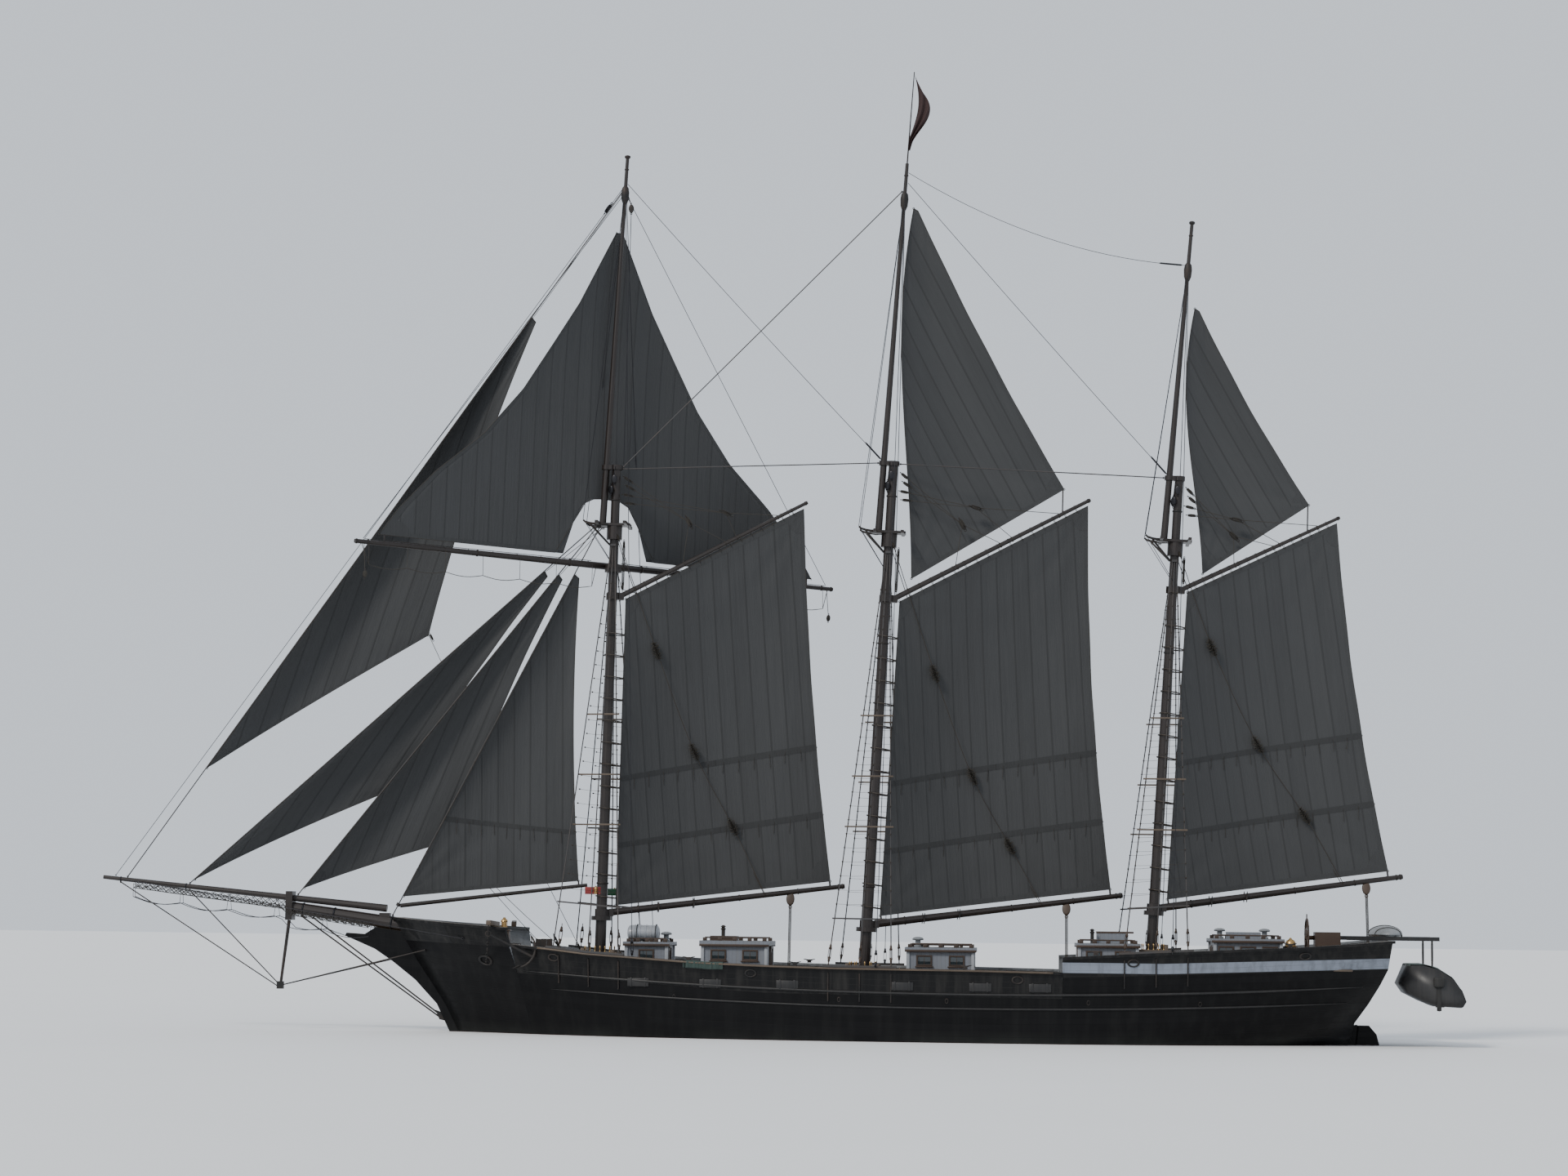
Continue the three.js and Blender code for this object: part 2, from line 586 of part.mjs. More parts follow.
function buildHeadGear() {
  const [holeAft, holeFore] = [onJibBoom(JIB_BOOM.heel[0] - 1000), onJibBoom(JIB_BOOM.heel[0] - 4000)];
  const [aftRadius, foreRadius] = [holeAft.radius + 2 * SEAT_GAP, holeFore.radius + 2 * SEAT_GAP];
  const jibBoomHole = bar(holeAft.axis, holeFore.axis, aftRadius, foreRadius, MAST_SIDES);
  const spar = bar(onBowsprit(0), onBowsprit(1), BOWSPRIT.radius, BOWSPRIT.endRadius, MAST_SIDES);
  const pieces = [spar, uprightBlock(BOWSPRIT_CAP), uprightBlock(CHOCK)];
  addMesh(group, 'bowsprit', cut(join(...pieces), jibBoomHole), COLOURS.spar, 0.6);
  const [heel, end] = [JIB_BOOM.heel, JIB_BOOM.end].map(([x]) => onJibBoom(x).axis);
  const jibBoom = bar(heel, end, JIB_BOOM.radius, JIB_BOOM.endRadius, MAST_SIDES);
  addMesh(group, 'jib_boom', jibBoom, COLOURS.spar, 0.6);

  const [head, foot] = [STRIKER.head, STRIKER.foot].map(([x, z]) => point(x, 0, z));
  const post = bar(head, foot, STRIKER.radius, STRIKER.footRadius, 8);
  const stays = STRIKER_STAYS.map(({ from: [x, z], boom }) => (
    line(point(x, 0, z), underJibBoom(boom), STAY_RADIUS, false)
  ));
  const { x, half, z, station, height } = STRIKER_GUY;
  const guys = [-1, 1].map((side) => (
    line(point(x, side * half, z), besideHull(station, height, side), STAY_RADIUS, false)
  ));
  const striker = join(post, uprightBlock(STRIKER_BLOCK), ...stays, ...guys);
  addMesh(group, 'dolphin_striker', striker, COLOURS.iron, 0.5, 0.6);
  buildBobstays();
}

function buildBobstays() {
  const { low, high, reach, half } = BOBSTAY_PLATE;
  const face = (z) => linear(CUTWATER, 'z', 'x', z) - 2 * SEAT_GAP;
  const plate = sidePlate([
    [face(low), low], [face(high), high], [face(high) - reach, high + 60], [face(low) - reach, low + 40],
  ], half);
  const stays = BOBSTAYS.map(({ stem, bowsprit }) => (
    line(point(face(stem) - 70, 0, stem), underBowsprit(bowsprit), BOBSTAY_RADIUS, false)
  ));
  addMesh(group, 'bobstays', join(plate, ...stays), COLOURS.iron, 0.5, 0.6);
}

// Masts

function mastFrame(mast) {
  const frame = new THREE.Group();
  frame.position.x = mast.foot;
  frame.rotation.y = Math.atan(mast.rake);
  frame.updateMatrix();
  group.add(frame);
  return frame;
}

// A place in the ship given in a mast's own frame: r aft of its axis and h along it
function inMast(mast, x, z) {
  const lean = Math.atan(mast.rake);
  const dx = x - mast.foot;
  return point(dx * Math.cos(lean) - z * Math.sin(lean), 0, dx * Math.sin(lean) + z * Math.cos(lean));
}

// The other way round: a place in a mast's own frame given in the ship
function toShip(mast, { x, y, z }) {
  const lean = Math.atan(mast.rake);
  return point(
    mast.foot + x * Math.cos(lean) + z * Math.sin(lean), y, -x * Math.sin(lean) + z * Math.cos(lean),
  );
}

// The topmast's axis in the lower mast's frame, at a height along it
function topmastAt(mast, h) {
  const [heel, truck] = [inMast(mast, mast.heelX, mast.heel), inMast(mast, mast.truckX, mast.truck)];
  return heel.lerp(truck, (h - heel.z) / (truck.z - heel.z));
}

function mastRadius(mast, h) {
  const t = (h - 1500) / (mast.cap - 1500);
  return mast.radius + t * (mast.headRadius - mast.radius);
}

// The lower mast's centre and radius at a height in the ship
function onMast(mast, z) {
  return { x: mast.foot + mast.rake * z, radius: mastRadius(mast, z) };
}

function topmastAxis(mast, z) {
  const t = (z - mast.heel) / (mast.truck - mast.heel);
  const radius = TOPMAST_RADIUS + t * (TRUCK_RADIUS - TOPMAST_RADIUS);
  return { x: mast.heelX + t * (mast.truckX - mast.heelX), radius };
}

// A short drum round a mast's axis, in the mast's own frame
function drum(radius, low, high, sides = MAST_SIDES) {
  return bar(point(0, 0, low), point(0, 0, high), radius, radius, sides);
}

function topmastEnds(mast) {
  return { heel: topmastAt(mast, mast.trees + HEEL_RISE), truck: inMast(mast, mast.truckX, mast.truck) };
}

function lowerMast(mast, saddles) {
  const [low, high] = [point(0, 0, MAST_FOOT), point(0, 0, mast.cap)];
  const pole = bar(low, high, mastRadius(mast, MAST_FOOT), mast.headRadius, MAST_SIDES);
  const { heel, truck } = topmastEnds(mast);
  const [thick, thin] = [TOPMAST_RADIUS + 2 * SEAT_GAP, TRUCK_RADIUS + 2 * SEAT_GAP];
  const topmastHole = bar(heel, truck, thick, thin, MAST_SIDES);
  const inCap = topmastAt(mast, mast.cap).x;
  const cap = join(
    drum(mast.headRadius + CAP_WALL, mast.cap - CAP_HEIGHT, mast.cap),
    drum(TOPMAST_RADIUS + CAP_WALL - 10, mast.cap - CAP_HEIGHT, mast.cap).translate(inCap, 0, 0),
    box(inCap, 0, -110, 110, mast.cap - CAP_HEIGHT, mast.cap),
  );
  const houndsTop = mast.trees - TREES_DEPTH - SEAT_GAP;
  const hounds = drum(mastRadius(mast, mast.trees) + HOUNDS.reach, mast.trees - HOUNDS.drop, houndsTop);
  const rings = saddles.map(({ height, reach }) => (
    drum(mastRadius(mast, height) + reach, height - SADDLE_DEPTH, height)
  ));
  return cut(join(cut(cap, topmastHole), pole, hounds, ...rings), deckUnder(mast));
}

// What lies under the deck near a mast, in the mast's own frame
function deckUnder(mast) {
  const around = mast.foot + mast.rake * 1500;
  const corners = [-600, 600].map((dx) => {
    const x = around + dx;
    return inMast(mast, x, deckHeight(x) + SEAT_GAP);
  });
  const ring = (side) => [
    point(corners[0].x, side, corners[0].z), point(corners[1].x, side, corners[1].z),
    point(corners[1].x, side, -3000), point(corners[0].x, side, -3000),
  ];
  return loft([ring(-600), ring(600)]);
}

function crosstrees(mast) {
  const top = mast.trees;
  const front = topmastAt(mast, top).x - TOPMAST_RADIUS - 90;
  const plate = box(front, mast.headRadius + 330, -230, 230, top - TREES_DEPTH, top);
  const spreaders = [front + 60, mast.headRadius + 200].map((r) => (
    box(r, r + SPREADER_LENGTH, -mast.spreader, mast.spreader, top - SPREADER_DEPTH, top + 5)
  ));
  const hole = drum(mastRadius(mast, top) + 4, top - 300, top + 300);
  return cut(join(plate, ...spreaders), hole);
}

function topmast(mast) {
  const { heel, truck } = topmastEnds(mast);
  const pole = bar(heel, truck, TOPMAST_RADIUS, TRUCK_RADIUS, MAST_SIDES);
  if (!mast.staff) return pole;
  const lean = truck.clone().sub(heel).normalize();
  const staffFoot = truck.clone().addScaledVector(lean, -100);
  const staffHead = truck.clone().addScaledVector(lean, mast.staff);
  return join(pole, bar(staffFoot, staffHead, 22, 14, 8));
}

function buildMasts() {
  const saddles = {
    fore: [{ height: YARD.height - YARD.drop, reach: 110 }],
    main: [],
    mizzen: [],
  };
  Object.entries(MASTS).forEach(([name, mast]) => {
    const frame = mastFrame(mast);
    const boomSaddle = { height: GAFF_RIGS[name].boomHeight - JAW_DROP - SEAT_GAP, reach: 130 };
    addMesh(frame, `${name}_mast`, lowerMast(mast, [boomSaddle, ...saddles[name]]), COLOURS.spar, 0.6);
    addMesh(frame, `${name}_crosstrees`, crosstrees(mast), COLOURS.timber, 0.6);
    addMesh(frame, `${name}_topmast`, topmast(mast), COLOURS.spar, 0.6);
  });
}

// Standing rigging

// A set's shrouds run from feet along the rail to heads in a row beside the mast, under its hounds.
// Low down a sheer pole crosses them.
const SHROUDS = [{ foot: -850, head: -48 }, { foot: 0, head: 0 }, { foot: 850, head: 48 }];
const SHROUD_DROP = 620;
const SHROUD_HEAD = { half: 75, width: 80, middle: 30, below: 45, above: 20 };
const RAIL_PLANK = { half: 50, height: 60, reach: 1000 };
const SHEER_POLE = { at: 0.11, over: 70, width: 24, height: 20 };

function shroudSet(mast, side) {
  const top = mast.trees - SHROUD_DROP;
  const head = onMast(mast, top);
  const face = onMast(mast, top - SHROUD_HEAD.below).radius + 2 * SEAT_GAP;
  const [near, far] = [side * face, side * (face + SHROUD_HEAD.width)].sort((a, b) => a - b);
  const [low, high] = [top - SHROUD_HEAD.below, top + SHROUD_HEAD.above];
  const block = box(head.x - SHROUD_HEAD.half, head.x + SHROUD_HEAD.half, near, far, low, high);
  const base = mast.foot + mast.rake * 2300;
  const ends = [-RAIL_PLANK.reach, RAIL_PLANK.reach].map((dx) => base + dx);
  const inside = STATIONS.filter((s) => s > ends[0] && s < ends[1]);
  const plank = loft([ends[0], ...inside, ends[1]].map((s) => {
    const centre = railPoint(s, side).add(point(0, 0, 5 * SEAT_GAP + RAIL_PLANK.height / 2));
    return rectangle(centre, RAIL_PLANK.half, RAIL_PLANK.height / 2);
  }));
  const legs = SHROUDS.map((shroud) => ({
    from: railPoint(base + shroud.foot, side).add(point(0, 0, RAIL_PLANK.height * 0.6)),
    to: point(head.x + shroud.head, side * (face + SHROUD_HEAD.middle), top),
  }));
  const lines = legs.map(({ from, to }) => bar(from, to, STAY_RADIUS, STAY_RADIUS, 6));
  const [fore, aft] = [legs[0], legs[2]].map(({ from, to }) => from.clone().lerp(to, SHEER_POLE.at));
  const over = aft.clone().sub(fore).setLength(SHEER_POLE.over);
  const poleEnds = [fore.sub(over), aft.add(over)];
  const pole = loft(poleEnds.map((p) => rectangle(p, SHEER_POLE.width, SHEER_POLE.height)));
  return join(plank, block, ...lines, pole);
}

// The corners of a section across the ship, about its centre
function rectangle(centre, halfWidth, halfHeight) {
  return [[-1, -1], [1, -1], [1, 1], [-1, 1]].map(([y, z]) => (
    centre.clone().add(point(0, y * halfWidth, z * halfHeight))
  ));
}

// On the fore or after side of a mast's cap, in the ship's frame
function capSide(mast, direction, drop) {
  const front = topmastAt(mast, mast.cap).x - TOPMAST_RADIUS - CAP_WALL + 10;
  const face = direction < 0 ? front : mast.headRadius + CAP_WALL;
  return toShip(mast, point(face + direction * (EYE_RADIUS + 2 * SEAT_GAP), 0, mast.cap - drop));
}

function topmastSide(mast, z, direction) {
  const { x, radius } = topmastAxis(mast, z);
  return point(x + direction * (radius + EYE_RADIUS + 2 * SEAT_GAP), 0, z);
}

// The first head stay stands on the bowsprit and the others on the jib boom
function headStay(i) {
  const { r, spacing, height } = HEAD_STAY_PLATE;
  const under = MASTS.fore.trees - SPREADER_DEPTH - 2 * SEAT_GAP - height / 2;
  const top = toShip(MASTS.fore, point(r - i * spacing, 0, under));
  const x = HEAD_STAY_FEET[i];
  if (i > 0) return { foot: onTopOfJibBoom(x), top };
  const t = (x - BOWSPRIT.heel[0]) / (BOWSPRIT.end[0] - BOWSPRIT.heel[0]);
  return { foot: point(x, 0, onBowsprit(t).z + BOWSPRIT.radius + EYE_RADIUS + 2), top };
}

function headStays() {
  const { r, spacing, over, half, height } = HEAD_STAY_PLATE;
  const top = MASTS.fore.trees - SPREADER_DEPTH - 2 * SEAT_GAP;
  const [front, back] = [r - 2 * spacing - over, r + over];
  const corners = [[front, top], [back, top], [back, top - height], [front, top - height]];
  const ring = (y) => corners.map(([x, z]) => toShip(MASTS.fore, point(x, y, z)));
  const lines = HEAD_STAY_FEET.map((_, i) => line(headStay(i).top, headStay(i).foot, STAY_RADIUS, false));
  return join(loft([ring(-half), ring(half)]), ...lines);
}

function buildStays() {
  const { fore, main, mizzen } = MASTS;
  Object.entries(MASTS).forEach(([name, mast]) => {
    addMesh(group, `${name}_shrouds_port`, shroudSet(mast, -1), COLOURS.wire, 0.6, 0.3);
    addMesh(group, `${name}_shrouds_starboard`, shroudSet(mast, 1), COLOURS.wire, 0.6, 0.3);
  });
  addMesh(group, 'head_stays', headStays(), COLOURS.wire, 0.5, 0.4);
  const stays = {
    fore_topmast_stay: [topmastSide(fore, 24080, -1), onTopOfJibBoom(-22000)],
    fore_spring_stay: [capSide(fore, 1, 97), capSide(main, -1, 65)],
    main_spring_stay: [capSide(main, 1, 65), capSide(mizzen, -1, 65)],
    main_topmast_stay: [topmastSide(main, 24050, -1), capSide(fore, 1, 32)],
  };
  Object.entries(stays).forEach(([name, [from, to]]) => {
    addMesh(group, name, line(from, to), COLOURS.wire, 0.5, 0.4);
  });
}

// Sails: closed panels between four corners, bellied to leeward
function sail({ tack, clew, peak, throat, belly, roach = 0, hollow = 0, fullFoot = 0.2 }) {
  const normal = clew.clone().sub(tack).cross(throat.clone().sub(tack)).normalize();
  if (normal.y < 0) normal.negate();
  const aft = clew.clone().sub(tack).normalize();
  const place = (u, v, face) => {
    const low = tack.clone().lerp(clew, u);
    const high = throat.clone().lerp(peak, u);
    const depth = belly * Math.sin(Math.PI * u ** 0.8) * Math.sin(Math.PI * (fullFoot + (1 - fullFoot) * v));
    return low.lerp(high, v)
      .addScaledVector(aft, u * roach * 4 * v * (1 - v) - (1 - u) * hollow * 6 * v * v * (1 - v))
      .addScaledVector(normal, depth + face * SAIL_THICKNESS / 2);
  };
  const across = Array.from({ length: SAIL_PANELS + 1 }, (_, i) => i / SAIL_PANELS);
  const face = (side) => across.map((v) => across.map((u) => place(u, v, side)));
  return cloth(face(1), face(-1));
}

function jib({ foot, head, stayFrom, stayTo, clew, belly, headWidth = 160 }) {
  const along = stayTo.clone().sub(stayFrom).normalize();
  const onStay = (z) => stayFrom.clone().addScaledVector(along, (z - stayFrom.z) / along.z);
  const aft = clew.clone().sub(onStay(foot));
  aft.addScaledVector(along, -aft.dot(along)).normalize();
  // how far the stay's eight-sided section reaches towards the sail
  const inPlane = Math.hypot(aft.x, aft.z);
  const reach = Math.max(inPlane, (inPlane + Math.abs(aft.y)) * Math.SQRT1_2);
  const off = STAY_RADIUS * reach + SEAT_GAP;
  const [tack, throat] = [foot, head].map((z) => onStay(z).addScaledVector(aft, off));
  const peak = throat.clone().addScaledVector(aft, headWidth).addScaledVector(along, -40);
  return sail({ tack, clew, peak, throat, belly, roach: -belly * 0.6, fullFoot: 0.25 });
}

function buildJibs() {
  const topmastStay = { stayFrom: onTopOfJibBoom(-22000), stayTo: topmastSide(MASTS.fore, 24080, -1) };
  const flying = { ...topmastStay, foot: 7350, head: 20400, clew: point(-13700, 1000, 11280), belly: 480 };
  const outer = {
    stayFrom: headStay(2).foot, stayTo: headStay(2).top,
    foot: 4180, head: 13050, clew: point(-14300, 900, 6950), belly: 380,
  };
  const inner = {
    stayFrom: headStay(1).foot, stayTo: headStay(1).top,
    foot: 3980, head: 12950, clew: point(-12850, 800, 5380), belly: 340,
  };
  Object.entries({ flying_jib: flying, outer_jib: outer, inner_jib: inner }).forEach(([name, values]) => {
    addMesh(group, name, jib(values), COLOURS.sail, 0.9);
  });
}

// The staysail turns about the fore stay, on a boom with a ring round the stay
function buildStaysail() {
  const foreStay = headStay(0);
  const along = foreStay.top.sub(foreStay.foot).normalize();
  const frame = new THREE.Group();
  frame.position.copy(foreStay.foot);
  const aft = point(along.z, 0, -along.x);
  frame.matrix.makeBasis(aft, point(0, 1, 0), along);
  frame.quaternion.setFromRotationMatrix(frame.matrix);
  const swung = new THREE.Group();
  swung.rotation.z = STAYSAIL_SWING;
  frame.add(swung);
  group.add(frame);
  const local = (x, z) => {
    const d = point(x, 0, z).sub(foreStay.foot);
    return point(d.dot(aft), 0, d.dot(along));
  };
  const ringAt = 330;
  const [start, end] = [point(60, 0, ringAt), local(-8850, 4130)];
  const ring = cut(
    bar(point(0, 0, ringAt - 45), point(0, 0, ringAt + 45), 62, 62, MAST_SIDES),
    bar(point(0, 0, 0), point(0, 0, 800), STAY_RADIUS + 1, STAY_RADIUS + 1, MAST_SIDES),
  );
  const club = bar(start, end, 60, 50);
  const boomWay = end.clone().sub(start).normalize();
  const up = point(-boomWay.z, 0, boomWay.x);
  const onBoom = (t, rise) => start.clone().lerp(end, t).addScaledVector(up, rise);
  const clewPost = bar(onBoom(0.955, 0), onBoom(0.955, 150), 22, 22, 8);
  const stayHole = bar(point(0, 0, 0), point(0, 0, 800), STAY_RADIUS + 2, STAY_RADIUS + 2, MAST_SIDES);
  addMesh(swung, 'staysail_boom', cut(join(ring, club, clewPost), stayHole), COLOURS.spar, 0.6);
  const tack = point(STAY_RADIUS + SEAT_GAP, 0, ringAt + 280);
  const throat = point(STAY_RADIUS + SEAT_GAP, 0, local(-9150, 12850).z);
  const peak = throat.clone().add(point(150, 0, -30));
  const clew = onBoom(0.955, 150 + 2 * SEAT_GAP);
  const panel = sail({ tack, clew, peak, throat, belly: 300, roach: -150, fullFoot: 0.12 });
  addMesh(swung, 'fore_staysail', panel, COLOURS.sail, 0.9);
}

// A fork round the mast: its throat is round and it opens forward
function jaws(mast, height, reach) {
  const clear = mastRadius(mast, height - JAW_DROP) + JAW_CLEARANCE;
  const [low, high] = [height - JAW_DROP, height + JAW_RISE];
  const body = join(
    drum(clear + JAW_THICKNESS, low, high),
    box(0, reach, -clear * 0.75, clear * 0.75, low, high),
  );
  return cut(body, drum(clear, low - 300, high + 300), box(-800, 0, -clear, clear, low - 300, high + 300));
}

function buildGaffRig(name) {
  const mast = MASTS[name];
  const rig = GAFF_RIGS[name];
  const frame = mastFrame(mast);
  const swung = new THREE.Group();
  swung.rotation.z = SWING;
  frame.add(swung);
  const spar = (height, [r, h], radius) => {
    const start = point(230, 0, height);
    const end = point(r, 0, h);
    const way = end.clone().sub(start).normalize();
    const up = point(-way.z, 0, way.x);
    const radiusAt = (distance) => radius * (1 - 0.35 * distance / end.distanceTo(start));
    const on = (aft, rise) => {
      const distance = (aft - start.x) / way.x;
      return start.clone().addScaledVector(way, distance).addScaledVector(up, rise);
    };
    return { start, end, on, radiusAt, way };
  };
  const boom = spar(rig.boomHeight, rig.boomEnd, rig.boomRadius);
  const posts = [rig.tackR + 20, rig.clewR - 20].map((r) => (
    bar(boom.on(r, 0), boom.on(r, rig.foot), 26, 26, 8)
  ));
  const boomSolid = join(
    bar(boom.start, boom.end, rig.boomRadius, rig.boomRadius * 0.65),
    jaws(mast, rig.boomHeight, rig.jawReach), ...posts,
  );
  addMesh(swung, `${name}_boom`, boomSolid, COLOURS.spar, 0.6);

  const gaff = spar(rig.gaffHeight, rig.gaffEnd, rig.gaffRadius);
  const underGaff = (r) => {
    const distance = (r - gaff.start.x) / gaff.way.x;
    return gaff.on(r, -gaff.radiusAt(distance) - 2 * SEAT_GAP);
  };
  const gaffParts = [
    bar(gaff.start, gaff.end, rig.gaffRadius, rig.gaffRadius * 0.65),
    jaws(mast, rig.gaffHeight, rig.jawReach),
  ];
  const topsail = TOPSAILS[name];
  if (topsail) {
    const side = point(0, TOPSAIL_SIDE, 0);
    const corners = [topsail.tack, topsail.clew, topsail.head];
    const [tack, clew, head] = corners.map(([r, h]) => point(r, 0, h).add(side));
    const peak = head.clone().add(point(130, 0, -60));
    const { belly, hollow } = topsail;
    const panel = sail({ tack, clew, peak, throat: head, belly, hollow, roach: -120, fullFoot: 0.12 });
    addMesh(swung, `${name}_topsail`, panel, COLOURS.sail, 0.9);
    const footSlope = (clew.z - tack.z) / (clew.x - tack.x);
    const sheetTop = clew.clone().add(point(-30, 0, -50 * footSlope - 2 * SEAT_GAP));
    const sheetFoot = gaff.on(clew.x - 30, 0);
    gaffParts.push(bar(sheetFoot, sheetTop, 20, 20, 8));
  }
  addMesh(swung, `${name}_gaff`, join(...gaffParts), COLOURS.spar, 0.6);
  const panel = sail({
    tack: boom.on(rig.tackR, rig.foot + 2 * SEAT_GAP),
    clew: boom.on(rig.clewR, rig.foot + 2 * SEAT_GAP),
    throat: underGaff(rig.throatR),
    peak: underGaff(rig.peakR),
    belly: rig.belly,
    roach: rig.leech,
  });
  addMesh(swung, rig.sail, panel, COLOURS.sail, 0.9);
}

// The fore yard with the raffee over it, braced sharp up. Its widths are half the sail's.
const RAFFEE_ROWS = [
  { h: 13480, half: 7250 }, { h: 14300, half: 6650 }, { h: 15400, half: 5600 }, { h: 16600, half: 4150 },
  { h: 18000, half: 2950 }, { h: 19400, half: 2050 }, { h: 20700, half: 1230 }, { h: 21900, half: 620 },
  { h: 22900, half: 110 },
];
const ARCH = { half: 1350, top: 15150 };
const RAFFEE_BELLY = 620;
const RAFFEE_COLUMNS = 16;
// How far before the mast's axis the raffee stands, at its foot and at its head
const RAFFEE_LEAN = { low: -470, high: -270 };

function buildYard() {
  const mast = MASTS.fore;
  const frame = mastFrame(mast);
  const swung = new THREE.Group();
  // local -X is forward, so the yard lies along local Y until it is braced round
  swung.rotation.z = -YARD_SWING;
  frame.add(swung);
  const front = -YARD.offset;
  const halves = [-1, 1].map((side) => {
    const [inner, outer] = [side * -60, side * YARD.half].map((y) => point(front, y, YARD.height));
    return bar(inner, outer, YARD.radius, YARD.endRadius);
  });
  const clear = mastRadius(mast, YARD.height - YARD.drop) + JAW_CLEARANCE;
  const hoop = cut(
    drum(clear + 55, YARD.height - YARD.drop + SEAT_GAP, YARD.height + 20),
    drum(clear, YARD.height - 1000, YARD.height + 1000),
  );
  const arm = box(front, -clear - 20, -70, 70, YARD.height - 60, YARD.height + 10);
  const posts = [-1, 1].map((side) => bar(
    point(RAFFEE_LEAN.low, side * YARD.posts, YARD.height),
    point(RAFFEE_LEAN.low, side * YARD.posts, RAFFEE_ROWS[0].h - SEAT_GAP), 22, 22, 8,
  ));
  addMesh(swung, 'fore_yard', join(...halves, hoop, arm, ...posts), COLOURS.spar, 0.6);

  const base = RAFFEE_ROWS[0].h;
  const top = RAFFEE_ROWS.at(-1).h;
  const archRise = (w) => (ARCH.top - base) * Math.sqrt(Math.max(0, 1 - (w / ARCH.half) ** 4));
  const place = (s, row, face) => {
    const rise = archRise(s * RAFFEE_ROWS[0].half);
    const h = base + rise + (row.h - base) * (top - base - rise) / (top - base);
    const w = s * linear(RAFFEE_ROWS, 'h', 'half', h);
    const up = (h - base) / (top - base);
    const depth = RAFFEE_BELLY * Math.cos(s * Math.PI / 2) * Math.sin(Math.PI * Math.min(1, 0.04 + up)) * up;
    const lean = THREE.MathUtils.lerp(RAFFEE_LEAN.low, RAFFEE_LEAN.high, up);
    return point(lean - depth * 0.5 - face * SAIL_THICKNESS / 2, w, h);
  };
  const across = Array.from({ length: RAFFEE_COLUMNS + 1 }, (_, i) => {
    const t = -1 + 2 * i / RAFFEE_COLUMNS;
    return Math.sign(t) * Math.abs(t) ** 1.6;
  });
  const face = (side) => RAFFEE_ROWS.map((row) => across.map((s) => place(s, row, side)));
  addMesh(swung, 'raffee', cloth(face(1), face(-1)), COLOURS.sail, 0.9);
}

// Rudder, propeller and wheel

const RUDDER_ROWS = [
  { z: -2440, chord: 640 }, { z: -1900, chord: 900 }, { z: -900, chord: 850 }, { z: -50, chord: 620 },
  { z: 300, chord: 500 }, { z: 540, chord: 270 },
];

function buildRudder() {
  const rings = RUDDER_ROWS.map(({ z, chord }) => {
    const x = POST_AFT + POST_RAKE * z + RUDDER_NOSE + SEAT_GAP;
    const nose = Array.from({ length: 9 }, (_, i) => {
      const angle = Math.PI / 2 + Math.PI * i / 8;
      return point(x + RUDDER_NOSE * Math.cos(angle), RUDDER_NOSE * Math.sin(angle), z);
    });
    return [...nose, point(x + chord, -25, z), point(x + chord, 25, z)];
  });
  addMesh(group, 'rudder', loft(rings), COLOURS.hull, 0.6);
}

function buildPropeller() {
  const face = SCREW_APERTURE.fore + SEAT_GAP;
  const hub = bar(point(face, 0, SHAFT_HEIGHT), point(face + 400, 0, SHAFT_HEIGHT), 75, 45, MAST_SIDES);
  const blades = [0, 1, 2].map((i) => {
    const blade = new THREE.SphereGeometry(1, 8, 6).scale(28, 130, 215);
    blade.rotateZ(THREE.MathUtils.degToRad(32)).translate(0, 0, 260);
    return blade.rotateX(i * 2 * Math.PI / 3).translate(face + 220, 0, SHAFT_HEIGHT);
  });
  addMesh(group, 'propeller', join(hub, ...blades), COLOURS.bronze, 0.35, 0.9);
}

const WHEEL = { x: 11300, radius: 520, rise: 900 };

function buildWheel() {
  const z = deckHeight(WHEEL.x) + WHEEL.rise;
  const rim = new THREE.TorusGeometry(WHEEL.radius, 26, 6, 18).rotateY(Math.PI / 2).translate(WHEEL.x, 0, z);
  const spokes = [0, 1, 2].map((i) => {
    const reach = point(0, WHEEL.radius + 130, 0).applyAxisAngle(point(1, 0, 0), (i + 0.5) * Math.PI / 3);
    const centre = point(WHEEL.x, 0, z);
    return bar(centre.clone().sub(reach), centre.clone().add(reach), 17, 17, 6);
  });
  const hub = bar(point(WHEEL.x - 60, 0, z), point(WHEEL.x + 200, 0, z), 60, 60, 12);
  addMesh(group, 'steering_wheel', join(rim, ...spokes, hub), COLOURS.timber, 0.5);
  const front = WHEEL.x + 200 + SEAT_GAP;
  addMesh(group, 'steering_box', join(
    onDeck(front, front + 700, 260, deckHeight(front) + 1050),
    onDeck(front, front + 450, 330, deckHeight(front) + 350),
  ), COLOURS.timber, 0.6);
}

// A block that stands on the deck, with its foot cut to the deck's slope
function onDeck(x0, x1, halfWidth, top, lift = SEAT_GAP) {
  const ring = (x) => [
    point(x, -halfWidth, deckHeight(x) + lift), point(x, halfWidth, deckHeight(x) + lift),
    point(x, halfWidth, top), point(x, -halfWidth, top),
  ];
  return loft([ring(x0), ring(x1)]);
}

// Deckhouses: walls between x0 and x1 with a roof that stands out past them
const HOUSES = [
  { name: 'fore_deckhouse', x0: -7560, x1: -6430, halfWidth: 900, top: 2580, roof: 80 },
  { name: 'galley_deckhouse', x0: -5400, x1: -3640, halfWidth: 1150, top: 2640, roof: 120 },
  { name: 'midship_deckhouse', x0: 290, x1: 2080, halfWidth: 1100, top: 2530, roof: 90 },
  { name: 'aft_deckhouse', x0: 5000, x1: 6580, halfWidth: 1150, top: 2700, roof: 80 },
  { name: 'stern_cabin', x0: 8700, x1: 10500, halfWidth: 1100, top: 2880, roof: 80 },
];

